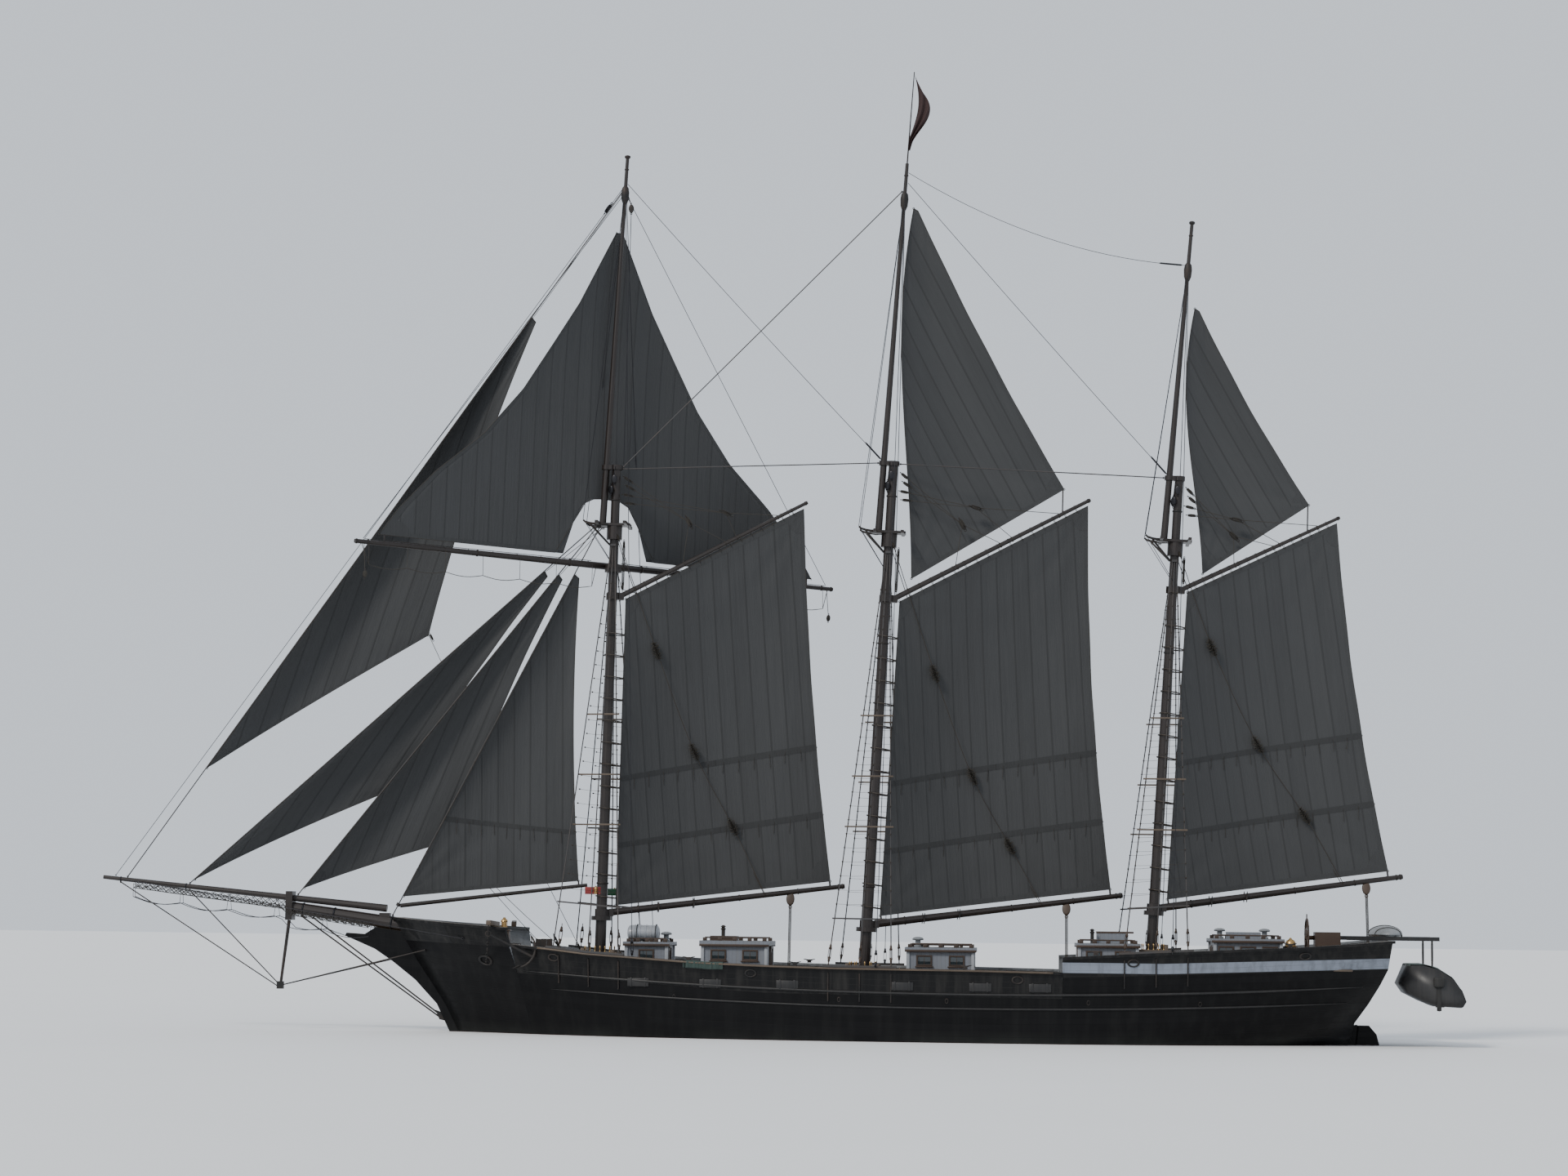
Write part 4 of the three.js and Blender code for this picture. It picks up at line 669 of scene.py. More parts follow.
def effect(name, inputs, outputs):
    """An empty shader node group with named sockets: its nodes and what its inputs give."""
    group = bpy.data.node_groups.new(name, "ShaderNodeTree")
    for label, value in inputs.items():
        kind = "NodeSocketVector" if label == "Place" else "NodeSocketFloat"
        socket = group.interface.new_socket(label, in_out="INPUT", socket_type=kind)
        if value is not None:
            socket.default_value = value
    for label in outputs.split():
        group.interface.new_socket(label, in_out="OUTPUT", socket_type="NodeSocketFloat")
    into = group.nodes.new("NodeGroupInput")
    return Nodes(group, group.nodes.new("NodeGroupOutput")), named(into.outputs)


def make_effects():
    # Boards side by side: where their seams lie, and a tone for each board
    nodes, given = effect("Planking", {"Across": None, "Along": None, "Width": 0.14, "Length": 6.0, "Seam": 0.008},
                          "Seam Tone Height")
    rows = given.across / given.width
    row = rows.to("FLOOR")
    seam = 1.0 - nodes.ramp((rows - row).to("PINGPONG", 0.5), 0.0, given.seam / given.width)
    runs = given.along / given.length + nodes.add("TexWhiteNoise", {"noise_dimensions": "1D"}, W=row) * 7.0
    board = runs.to("FLOOR")
    butt = 1.0 - nodes.ramp((runs - board).to("PINGPONG", 0.5), 0.0, given.seam / given.length)
    tone = nodes.add("TexWhiteNoise", {"noise_dimensions": "2D"}, Vector=nodes.add("CombineXYZ", None, X=row, Y=board))
    gap = seam.to("MAXIMUM", butt)
    nodes.give(Seam=gap, Tone=tone, Height=gap * -1.0)

    # Wood grain that is long in one direction
    nodes, given = effect("Wood grain", {"Place": None}, "Grain Height")
    fine = nodes.noise(given.place, 9.0, 6.0, 0.65)
    broad = nodes.noise(given.place, 1.6, 2.0)
    nodes.give(Grain=nodes.ramp(fine * 0.65 + broad * 0.35, 0.32, 0.68), Height=fine)

    # Stains in broad patches and in streaks that run down
    nodes, given = effect("Weather", {"Place": None, "Scale": 1.0}, "Patches Streaks Fine")
    scaled = nodes.add("VectorMath", {"operation": "SCALE"}, Vector=given.place, Scale=given.scale)
    streaks = nodes.noise(nodes.stretched(scaled, (3.2, 3.2, 0.22)), 1.3, 4.0, 0.6)
    nodes.give(Patches=nodes.ramp(nodes.noise(scaled, 0.45, 4.0, 0.6), 0.38, 0.66),
               Streaks=nodes.ramp(streaks, 0.45, 0.72), Fine=nodes.noise(scaled, 14.0, 4.0, 0.7))

    # The strands of a laid rope. X is round the rope and Y runs along it in metres.
    nodes, given = effect("Rope lay", {"Turns": 9.0, "Strands": 3.0}, "Strand Height")
    around, along, _ = nodes.parts(nodes.cloth_place())
    wave = (around * given.strands + along * given.turns).to("FRACT").to("PINGPONG", 0.5)
    rise = (wave * 2.0).to("POWER", 0.5)
    nodes.give(Strand=rise, Height=rise)

    # Sailcloth: cloths sewn side by side, creases that run down them, and the weave
    nodes, given = effect("Sailcloth", {"Cloth": 0.46, "Seam": 0.028}, "Seam Stain Creases Weave Tone")
    flat = nodes.cloth_place()
    cloths = nodes.parts(flat)[0] / given.cloth
    which = cloths.to("FLOOR")
    edge = given.seam / given.cloth
    nodes.give(Seam=1.0 - nodes.ramp((cloths - which).to("PINGPONG", 0.5), edge * 0.7, edge),
               Stain=nodes.ramp(nodes.noise(flat, 0.35, 4.0, 0.6), 0.35, 0.7),
               Creases=nodes.noise(nodes.stretched(flat, (7.0, 0.5, 1.0)), 1.0, 4.0, 0.6),
               Weave=nodes.noise(flat, 160.0, 2.0, 0.7),
               Tone=nodes.add("TexWhiteNoise", {"noise_dimensions": "1D"}, W=which))


def fresh(name, **constants):
    """A material with a Principled shader whose constant sockets are set."""
    material = bpy.data.materials.new(name)
    material.use_nodes = True
    tree = material.node_tree
    tree.nodes.clear()
    nodes = Nodes(tree, tree.nodes.new("ShaderNodeBsdfPrincipled"))
    output = tree.nodes.new("ShaderNodeOutputMaterial")
    tree.links.new(nodes.ends.outputs[0], output.inputs[0])
    nodes.give(**constants)
    return nodes


def shade(colour, factor):
    return tuple(min(1.0, c * factor) for c in colour[:3])


def grain_material(name, colour, along="Z", gloss=0.45, contrast=0.55):
    """Varnished or oiled wood whose grain runs along one axis."""
    nodes = fresh(name, Coat_Weight=0.0)
    size = [0.35 if axis == along else 6 for axis in "XYZ"]
    grain = nodes.use("Wood grain", Place=nodes.stretched(nodes.place(), size))
    weather = nodes.weather(1.6)
    base = nodes.mix(grain.grain, shade(colour, contrast), colour)
    nodes.give(Base_Color=nodes.mix(weather.patches * 0.35, base, shade(colour, 1.7)),
               Roughness=weather.fine * 0.25 + (gloss - 0.1))
    nodes.bump(grain.height, 0.25, 0.004)


def painted_material(name, colour, stain, gloss, amount, scale):
    """Paint with stains, streaks and brush marks."""
    nodes = fresh(name)
    weather = nodes.weather(scale)
    dirt = (weather.patches * (amount * 0.5)).to("ADD", weather.streaks * (amount * 0.7), clamp=True)
    nodes.give(Base_Color=nodes.mix(dirt, colour, stain), Roughness=weather.fine * 0.3 + (gloss - 0.12))
    nodes.bump(weather.fine, 0.18, 0.003)


def metal_material(name, colour, rust, gloss, metallic, amount):
    """Metal with patches of rust or tarnish."""
    nodes = fresh(name)
    weather = nodes.weather(4.0)
    spread = weather.patches * amount
    nodes.give(Base_Color=nodes.mix(spread, colour, rust), Metallic=metallic - spread * 0.6,
               Roughness=weather.fine * 0.35 + (gloss - 0.15))
    nodes.bump(weather.fine, 0.3, 0.003)


def rope_material(name, colour, turns):
    """Laid rope, wire or yarns."""
    nodes = fresh(name, Roughness=0.85)
    lay = nodes.use("Rope lay", Turns=turns)
    # Painted shade: the grooves between the strands are darkened to 0.45 of the rope's colour.
    strands = nodes.mix(lay.strand, shade(colour, 0.45), colour)
    nodes.give(Base_Color=nodes.mix(nodes.weather(2.0).fine * 0.4, strands, shade(colour, 1.5)))
    nodes.bump(lay.height, 0.6, 0.004)


def canvas_material(name, colour, cloth, seam_shade=0.62):
    """Canvas sewn from cloths of one width."""
    nodes = fresh(name, Roughness=0.85, Sheen_Weight=0.12)
    canvas = nodes.use("Sailcloth", Cloth=cloth)
    paint = nodes.mix(canvas.tone, shade(colour, 0.93), shade(colour, 1.07))
    paint = nodes.mix(canvas.stain * 0.4, paint, shade(colour, 0.78))
    # Painted highlight: the crease ridges, which the bump below raises, are made lighter.
    paint = nodes.mix(nodes.ramp(canvas.creases, 0.42, 0.7, 0.0, 0.35), paint, shade(colour, 1.22))
    nodes.give(Base_Color=nodes.mix(canvas.seam * 0.85, paint, shade(colour, seam_shade)))
    weave = nodes.bump(canvas.weave, 0.2, 0.002)
    nodes.bump(canvas.seam, 0.7, 0.006, nodes.bump(canvas.creases, 0.5, 0.05, weave))


def sheer_line(nodes):
    """Length, and height over a line that follows the sheer, so that planks rise towards both ends."""
    x, y, z = nodes.parts(nodes.place())
    off = x - 2.0
    return x, y, z, z - off * off * 0.0032


def hull_material(settings):
    """Black topsides planked along the sheer, a bottom coat under the water, and the laid decks."""
    nodes = fresh("hull_black", Specular_IOR_Level=0.12)
    x, y, z, level = sheer_line(nodes)
    planks = nodes.use("Planking", Across=level, Along=x, Width=0.17, Length=6.5, Seam=0.006)
    weather = nodes.weather(0.9)
    black, bottom = settings.hull_colour, settings.bottom_colour
    side = nodes.mix(planks.tone, shade(black, 0.85), shade(black, 1.25))
    side = nodes.mix(weather.streaks * 0.25, side, (0.022, 0.022, 0.021))
    side = nodes.mix(nodes.ramp(z, 0.35, 0.05) * weather.patches * 0.35, side, (0.035, 0.038, 0.033))
    side = nodes.mix(planks.seam * 0.7, side, (0.002, 0.002, 0.002))
    paint = nodes.mix(nodes.ramp(z, 0.015, -0.005), side, nodes.mix(weather.patches, bottom, shade(bottom, 0.6)))
    across = nodes.ramp(nodes.facing()[0].to("ABSOLUTE"), 0.85, 0.95)
    inboard = nodes.ramp(x.to("ABSOLUTE"), 11.2, 11.0) * nodes.ramp(z, 1.0, 1.1)
    paint = nodes.mix(across * inboard, paint, (0.20, 0.215, 0.23))

    colour = settings.deck_colour
    laid = nodes.use("Planking", Across=y, Along=x, Width=0.13, Length=5.0, Seam=0.007)
    grain = nodes.use("Wood grain", Place=nodes.stretched(nodes.place(), (0.5, 7, 7)))
    wood = nodes.mix(laid.tone, shade(colour, 0.8), shade(colour, 1.15))
    wood = nodes.mix(grain.grain * 0.4, wood, shade(colour, 0.6))
    wood = nodes.mix(laid.seam, wood, (0.012, 0.011, 0.010))
    on_deck = nodes.ramp(nodes.facing()[2], 0.6, 0.8) * nodes.ramp(z, 0.9, 1.0)
    nodes.give(Base_Color=nodes.mix(on_deck, paint, wood), Roughness=weather.fine * 0.25 + (on_deck * 0.35 + 0.25))
    heights = nodes.add("Mix", None, in0=on_deck, in2=planks.height, in3=laid.height)
    nodes.bump(heights, 0.45, 0.006, nodes.bump(weather.fine, 0.15, 0.004))


def bulwark_material(name, outer, band=None, cap=(0.10, 0.075, 0.05)):
    """A bulwark: painted boards outside, pale ones inside, and a worn wooden rail on top."""
    nodes = fresh(name, Specular_IOR_Level=0.2)
    x, y, z, level = sheer_line(nodes)
    weather = nodes.weather(1.3)
    planks = nodes.use("Planking", Across=level, Along=x, Width=0.15, Length=5.0, Seam=0.006)
    _, side, up = nodes.facing()
    if band:
        low, high, slope, start_x = band
        line = z - (x - start_x).to("MAXIMUM", 0.0) * slope
        inside = nodes.ramp(line, low - 0.006, low + 0.006) * nodes.ramp(line, high + 0.006, high - 0.006)
        # Painted shade: the band is white paint, set to the blue-grey that it shows in shade and sky light.
        outer = nodes.mix(inside, outer, (0.20, 0.225, 0.27))
    paint = nodes.mix(nodes.ramp(side * y, -0.05, 0.05), (0.22, 0.235, 0.25), outer)
    paint = nodes.mix(weather.streaks.to("MAXIMUM", planks.seam) * 0.45, paint, (0.035, 0.033, 0.030))
    grain = nodes.use("Wood grain", Place=nodes.stretched(nodes.place(), (0.5, 7, 7)))
    rail = nodes.mix(grain.grain, shade(cap, 0.7), shade(cap, 1.5))
    nodes.give(Base_Color=nodes.mix(nodes.ramp(up, 0.75, 0.85), paint, rail), Roughness=weather.fine * 0.3 + 0.28)
    nodes.bump(planks.height + grain.height * 0.3, 0.35, 0.005)


def house_material(colour):
    """A deckhouse: boarded sides of one colour under a dark roof of painted canvas."""
    nodes = fresh("house_grey")
    x, y, z = nodes.parts(nodes.place())
    weather = nodes.weather(1.8)
    boards = nodes.use("Planking", Across=x + y, Along=z, Width=0.11, Length=30.0, Seam=0.007)
    # The wall colour is a painted shade: light paint darkened and blued as it looks in shade.
    wall = nodes.mix(boards.tone, shade(colour, 0.93), colour)
    wall = nodes.mix(weather.streaks * 0.3, wall, (0.16, 0.15, 0.13))
    wall = nodes.mix(boards.seam * 0.5, wall, (0.08, 0.08, 0.08))
    roof = nodes.mix(weather.patches, (0.045, 0.048, 0.05), (0.085, 0.088, 0.088))
    nodes.give(Base_Color=nodes.mix(nodes.ramp(nodes.facing()[2], 0.5, 0.7), wall, roof),
               Roughness=weather.fine * 0.3 + 0.35)
    nodes.bump(boards.height + weather.fine * 0.4, 0.35, 0.005)


def make_materials(settings):
    make_effects()
    hull_material(settings)
    black = tuple(settings.hull_colour)
    bulwark_material("bulwark_black", black)
    bulwark_material("bulwark_banded", black, band=(1.915, 2.19, 0.0355, 7.2), cap=(0.05, 0.04, 0.032))
    house_material(settings.house_shade_colour)
    glass = fresh("pane_glass", Metallic=0.0, Coat_Weight=0.6, Coat_Roughness=0.04)
    fine = glass.weather(5.0).fine
    glass.give(Base_Color=glass.mix(fine, (0.012, 0.018, 0.022), (0.035, 0.045, 0.05)),
               Roughness=glass.ramp(fine, 0.3, 0.7, 0.05, 0.16))
    # Wood: colour, axis of the grain, gloss and contrast
    spar, canvas = settings.spar_colour, settings.sail_colour
    for name, *values in (
            ("spar_wood", spar, "Z", 0.38), ("boom_wood", spar, "X", 0.40), ("yard_wood", spar, "Y", 0.42),
            ("rail_wood", (0.085, 0.060, 0.040), "X", 0.5), ("teak", (0.046, 0.027, 0.017), "X", 0.45, 0.6),
            ("block_wood", (0.050, 0.030, 0.018), "Z", 0.5), ("hoop_wood", (0.026, 0.018, 0.012), "Z", 0.5)):
        grain_material(name, *values)
    # Paint: colour, stain, gloss, amount and scale of the stains
    for name, *values in (
            # Painted shade: the white enamel is set to the blue-grey that white paint shows in shade.
            ("white_enamel", (0.29, 0.31, 0.34), (0.15, 0.13, 0.11), 0.32, 0.35, 2.0),
            ("black_enamel", (0.005, 0.005, 0.0055), (0.030, 0.027, 0.025), 0.45, 0.4, 3.0),
            ("grey_enamel", (0.20, 0.215, 0.23), (0.09, 0.08, 0.07), 0.4, 0.4, 2.0),
            ("port_red", (0.22, 0.010, 0.008), (0.08, 0.012, 0.012), 0.3, 0.3, 5.0),
            ("starboard_green", (0.008, 0.10, 0.035), (0.012, 0.04, 0.02), 0.3, 0.3, 5.0),
            ("boat_paint", (0.016, 0.016, 0.017), (0.05, 0.045, 0.04), 0.42, 0.5, 2.5),
            ("rubber_black", (0.010, 0.010, 0.010), (0.035, 0.033, 0.03), 0.75, 0.5, 6.0),
            ("pennant_cloth", (0.030, 0.011, 0.010), (0.014, 0.006, 0.006), 0.75, 0.6, 3.0)):
        painted_material(name, *values)
    # Metal: colour, rust, gloss, metallic and amount of rust
    metal_material("galvanised", (0.060, 0.060, 0.062), (0.06, 0.035, 0.02), 0.55, 0.7, 0.4)
    metal_material("iron_black", (0.022, 0.022, 0.022), (0.045, 0.024, 0.014), 0.55, 0.6, 0.5)
    metal_material("bronze", (0.22, 0.135, 0.060), (0.06, 0.08, 0.055), 0.38, 0.95, 0.5)
    rope_material("hemp_rope", (0.036, 0.031, 0.025), 9.0)
    rope_material("tarred_rope", (0.030, 0.024, 0.018), 9.0)
    rope_material("wire_rope", (0.045, 0.045, 0.046), 22.0)
    rope_material("worn_tufts", (0.040, 0.034, 0.026), 60.0)
    # The sail canvas takes the painted-shade sail colour: pale cloth set dark, as it looks lit from behind.
    canvas_material("sail_canvas", canvas, 0.46)
    # Painted shade: the bands and patches are the same canvas doubled, set darker than it because less light comes
    # through two layers lit from behind.
    canvas_material("sail_bands", shade(canvas, 0.62), 3.0, 0.7)
    canvas_material("sail_patches", shade(canvas, 0.90), 3.0, 0.8)
    canvas_material("cover_canvas", (0.022, 0.042, 0.036), 1.1)


NODE_MATERIALS = {
    "hull_black": ["hull", "stem_and_keel", "rudder"],
    "bulwark_black": ["bulwark_port", "bulwark_starboard", "forecastle_bulwark"],
    "bulwark_banded": ["quarterdeck_bulwark"],
    "spar_wood": [f"{mast}_{part}" for mast in MASTS for part in ("mast", "topmast", "crosstrees")],
    "boom_wood": ["bowsprit", "jib_boom", "staysail_boom",
                  *(f"{mast}_{part}" for mast in MASTS for part in ("boom", "gaff"))],
    "yard_wood": ["fore_yard"],
    "house_grey": list(HOUSES),
    "galvanised": ["head_stays", "fore_topmast_stay", "fore_spring_stay", "main_spring_stay", "main_topmast_stay",
                   *(f"{mast}_shrouds_{side}" for mast in MASTS for side in ("port", "starboard"))],
    "iron_black": ["dolphin_striker", "bobstays", "windlass"], "bronze": ["propeller"],
    "teak": ["steering_wheel", "steering_box"], "black_enamel": ["davits"], "boat_paint": ["dinghy"],
}

# Nodes whose facets show: each is stood for by a copy of itself with smooth shading
SMOOTHED = {
    "hull": ("ship", "hull_paint", 32), "dinghy": ("ship", "boat_cover", 42), "propeller": ("propeller", "bronze", 45),
    "steering_wheel": ("helm", "varnished_wood", 40),
}


def finish_frame():
    """Gives each node of the frame its material, and a smooth copy where its facets show."""
    for material, nodes in NODE_MATERIALS.items():
        for node in nodes:
            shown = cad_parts[node]
            if not shown.material_slots:
                shown.data.materials.append(None)
            for slot in shown.material_slots:
                slot.material = bpy.data.materials[material]
            if node in SMOOTHED:
                body, slot_name, angle = SMOOTHED[node]
                copy = bmesh.new()
                copy.from_mesh(shown.data)
                bmesh.ops.remove_doubles(copy, verts=copy.verts, dist=0.0002)
                piece = shown_piece(f"{node}_shell", to_mesh(copy, f"{node}_shell"), material, body, slot_name)
                alone(piece)
                bpy.ops.object.shade_smooth_by_angle(angle=math.radians(angle))
                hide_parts(node)


# Sails

CLOTH_WIDTH = 0.46
SAIL_THICK = 0.006


class Sail:
    """A sail between four corners, bellied to leeward. u runs from luff to leech and v from foot to head."""

    def __init__(self, matrix, tack, clew, peak, throat, belly, roach=0.0, hollow=0.0, full_foot=0.2):
        self.matrix = matrix
        self.tack, self.clew, self.peak, self.throat = (Vector(p) for p in (tack, clew, peak, throat))
        self.belly, self.roach, self.hollow, self.full_foot = belly, roach, hollow, full_foot
        self.normal = (self.clew - self.tack).cross(self.throat - self.tack).normalized()
        if self.normal.y < 0:
            self.normal.negate()
        self.aft = (self.clew - self.tack).normalized()
        self.leech = (self.peak - self.clew).normalized()
        across = self.leech.cross(self.normal).normalized()
        self.across = across if across.dot(self.tack - self.clew) > 0 else -across

    def bare(self, u, v):
        low, high = self.tack.lerp(self.clew, u), self.throat.lerp(self.peak, u)
        rise = self.full_foot + (1 - self.full_foot) * v
        depth = self.belly * math.sin(math.pi * u ** 0.8) * math.sin(math.pi * rise)
        edge = u * self.roach * 4 * v * (1 - v) - (1 - u) * self.hollow * 6 * v * v * (1 - v)
        return low.lerp(high, v) + self.aft * edge + self.normal * depth

    def flat(self, u, v):
        """A place on the cut cloth, in metres from the leech and up from the clew."""
        off = self.bare(u, v) - self.clew
        return off.dot(self.across), off.dot(self.leech)

    def sewn(self, u, v):
        """A place on the cut cloth, how far the edges still hold it, and how high its seams stand."""
        across, up = self.flat(u, v)
        inside = min(1.0, 9 * min(u, 1 - u)) * min(1.0, 9 * min(v, 1 - v))
        return across, up, inside, 0.008 * math.sin(math.pi * ((across / CLOTH_WIDTH) % 1.0))

    def wrinkle(self, u, v):
        """How far seams, creases and a loose leech move the cloth off its smooth curve."""
        across, up, inside, scallop = self.sewn(u, v)
        pull = 0.0
        for corner_u, corner_v in ((0, 0), (1, 0), (0, 1), (1, 1)):
            x, y = (u - corner_u) * 5, (v - corner_v) * 8
            near = math.exp(-0.55 * math.hypot(x, y))
            pull += 0.022 * near * math.sin(11 * math.atan2(abs(y), abs(x) + 0.01))
        creases = 0.010 * math.sin(2.1 * across + 0.8 * math.sin(0.9 * up)) * math.sin(0.7 * up + across)
        flutter = 0.030 * max(0.0, 5 * u - 4) * math.sin(2.3 * up + 0.7) * math.sin(math.pi * v)
        return scallop * inside + (pull + creases) * inside + flutter * min(1.0, 12 * min(v, 1 - v))

    def shown(self, u, v, off=0.0):
        return self.matrix @ (self.bare(u, v) + self.normal * (self.wrinkle(u, v) + off))


class Raffee(Sail):
    """The triangular sail over the fore yard, arched over the mast at its foot. u runs from arm to arm."""

    def __init__(self, matrix):
        self.matrix = matrix
        self.base, self.top = RAFFEE_ROWS[0][0], RAFFEE_ROWS[-1][0]
        self.normal = Vector((-1, 0, 0))

    def half_at(self, h):
        for (h0, w0), (h1, w1) in zip(RAFFEE_ROWS, RAFFEE_ROWS[1:]):
            if h <= h1:
                return w0 + (h - h0) / (h1 - h0) * (w1 - w0)
        return RAFFEE_ROWS[-1][1]

    def bare(self, u, v):
        t = 2 * u - 1
        s = math.copysign(abs(t) ** 1.6, t)
        foot = s * RAFFEE_ROWS[0][1]
        rise = (RAFFEE_ARCH["top"] - self.base) * math.sqrt(max(0.0, 1 - (foot / RAFFEE_ARCH["half"]) ** 4))
        h = self.base + rise + v * (self.top - self.base - rise)
        up = (h - self.base) / (self.top - self.base)
        depth = RAFFEE_BELLY * math.cos(s * math.pi / 2) * math.sin(math.pi * min(1.0, 0.04 + up)) * up
        lean = RAFFEE_LEAN[0] + (RAFFEE_LEAN[1] - RAFFEE_LEAN[0]) * up
        return Vector((lean - depth * 0.5, s * self.half_at(h), h))

    def flat(self, u, v):
        place = self.bare(u, v)
        return place.y + YARD["half"], place.z - self.base

    def wrinkle(self, u, v):
        across, up, inside, scallop = self.sewn(u, v)
        creases = 0.014 * math.sin(1.6 * across) * math.sin(0.8 * up + 0.6 * across)
        return (scallop + creases) * inside


def plan_sails():
    """Every sail by its name, with its body, what carries it and its reefs."""
    plans = {}

    def plan(name, sail, body, carried_by, reefs=()):
        plans[name] = {"sail": sail, "body": body, "on": carried_by, "reefs": reefs}

    for rig, values in GAFF_RIGS.items():
        boom, gaff = Spar(*values["boom"]), Spar(*values["gaff"])
        corners = [boom.on(values[corner], values["foot"]) for corner in ("tack", "clew")]
        corners += [gaff.on(r, -gaff.radius_at(r) - HEAD_GAP) for r in (values["peak"], values["throat"])]
        plan(values["sail"], Sail(mast_frame(rig, SWING), *corners, values["belly"], values["leech"]), RIG_BODIES[rig],
             [f"{rig}_gaff", f"{rig}_boom"], values["reefs"])
    for rig, values in TOPSAILS.items():
        tack, clew, head = (Vector((r, TOPSAIL_SIDE, h)) for r, h in (values["tack"], values["clew"], values["head"]))
        plan(f"{rig}_topsail", Sail(mast_frame(rig, SWING), tack, clew, head + Vector((0.13, 0, -0.06)), head,
                                    values["belly"], -0.12, values["hollow"], 0.12), RIG_BODIES[rig], [f"{rig}_gaff"])
    for name, values in JIBS.items():
        low, high = topmast_stay() if values["stay"] is None else head_stay(values["stay"])
        along = (high - low).normalized()
        clew = Vector(values["clew"])
        on_stay = [low + along * ((z - low.z) / along.z) for z in (values["foot"], values["head"])]
        aft = clew - on_stay[0]
        aft = (aft - along * aft.dot(along)).normalized()
        tack, throat = (p + aft * (STAY_RADIUS + 0.004) for p in on_stay)
        sail = Sail(Matrix.Identity(4), tack, clew, throat + aft * 0.16 - along * 0.04, throat, values["belly"],
                    -0.6 * values["belly"], 0.0, 0.25)
        plan(name, sail, "ship", ["fore_topmast_stay" if values["stay"] is None else "head_stays"])
    plan("fore_staysail", staysail(), "staysail_rig", ["staysail_boom"], [(0.24, 0.16)])
    plan("raffee", Raffee(mast_frame("fore", YARD_SWING)), "yard_rig", ["fore_yard"])
    return plans


def staysail():
    """The boomed staysail, in a frame with its Z along the inner stay."""
    low, high = head_stay(0)
    along = (high - low).normalized()
    turn = Matrix((Vector((along.z, 0, -along.x)), Vector((0, 1, 0)), along)).transposed().to_4x4()
    rest = Matrix.Translation(low) @ turn
    last, head = (rest.inverted() @ Vector((x, 0, z)) for x, z in (STAYSAIL["boom"], STAYSAIL["head"]))
    first = Vector((0.06, 0, STAYSAIL["ring"]))
    way = (last - first).normalized()
    tack, throat = Vector((0.020, 0, STAYSAIL["ring"] + 0.28)), Vector((0.020, 0, head.z))
    clew = first.lerp(last, 0.955) + Vector((-way.z, 0, way.x)) * 0.1506
    peak = throat + Vector((0.15, 0, -0.03))
    return Sail(rest @ Matrix.Rotation(STAYSAIL["swing"], 4, "Z"), tack, clew, peak, throat, 0.30, -0.15, 0.0, 0.12)


def cloth_piece(name, place, flat, count, thick, material, body):
    """A thin sheet over a grid of places, and its area. flat gives a place on the uncreased cloth in metres."""
    columns, rows = count
    mesh = bmesh.new()
    lay = mesh.loops.layers.uv.new("UVMap")
    grid = [[mesh.verts.new(place(i / columns, j / rows)) for i in range(columns + 1)] for j in range(rows + 1)]
    area = 0.0
    for j in range(rows):
        for i in range(columns):
            corners = ((i, j), (i + 1, j), (i + 1, j + 1), (i, j + 1))
            face = mesh.faces.new([grid[b][a] for a, b in corners])
            face.smooth = True
            area += face.calc_area()
            for loop, (a, b) in zip(face.loops, corners):
                loop[lay].uv = flat(a / columns, b / rows)
    piece = shown_piece(name, to_mesh(mesh, name), material, body)
    alone(piece)
    wall = piece.modifiers.new("Cloth thickness", "SOLIDIFY")
    wall.thickness, wall.offset = thick, 0
    bpy.ops.object.modifier_apply(modifier=wall.name)
    return piece, area


def strip(bundle, sail, first, second, steps, thick=0.004):
    """A doubled strip of cloth on both faces of a sail, between two lines of places on it."""
    for side in (-1, 1):
        rings = []
        for k in range(steps + 1):
            a, b = first(k / steps), second(k / steps)
            lift = side * (SAIL_THICK / 2 + 0.0005)
            corners = [(a, lift), (b, lift), (b, lift + side * thick), (a, lift + side * thick)]
            rings.append([(bundle.mesh.verts.new(sail.shown(*place, off)), sail.flat(*place))
                          for place, off in corners])
        for low, high in zip(rings, rings[1:]):
            for k in range(4):
                j = (k + 1) % 4
                quad = [low[k], low[j], high[j], high[k]]
                face = bundle.mesh.faces.new([v for v, _ in quad])
                for loop, (_, uv) in zip(face.loops, quad):
                    loop[bundle.lay].uv = uv
        for ring in (rings[0], rings[-1]):
            bundle.mesh.faces.new([v for v, _ in ring])
    bmesh.ops.recalc_face_normals(bundle.mesh, faces=bundle.mesh.faces[:])


def sail_size(sail):
    return [(sail.bare(u, v) - sail.bare(0, 0)).length for u, v in ((1, 0), (0, 1))]


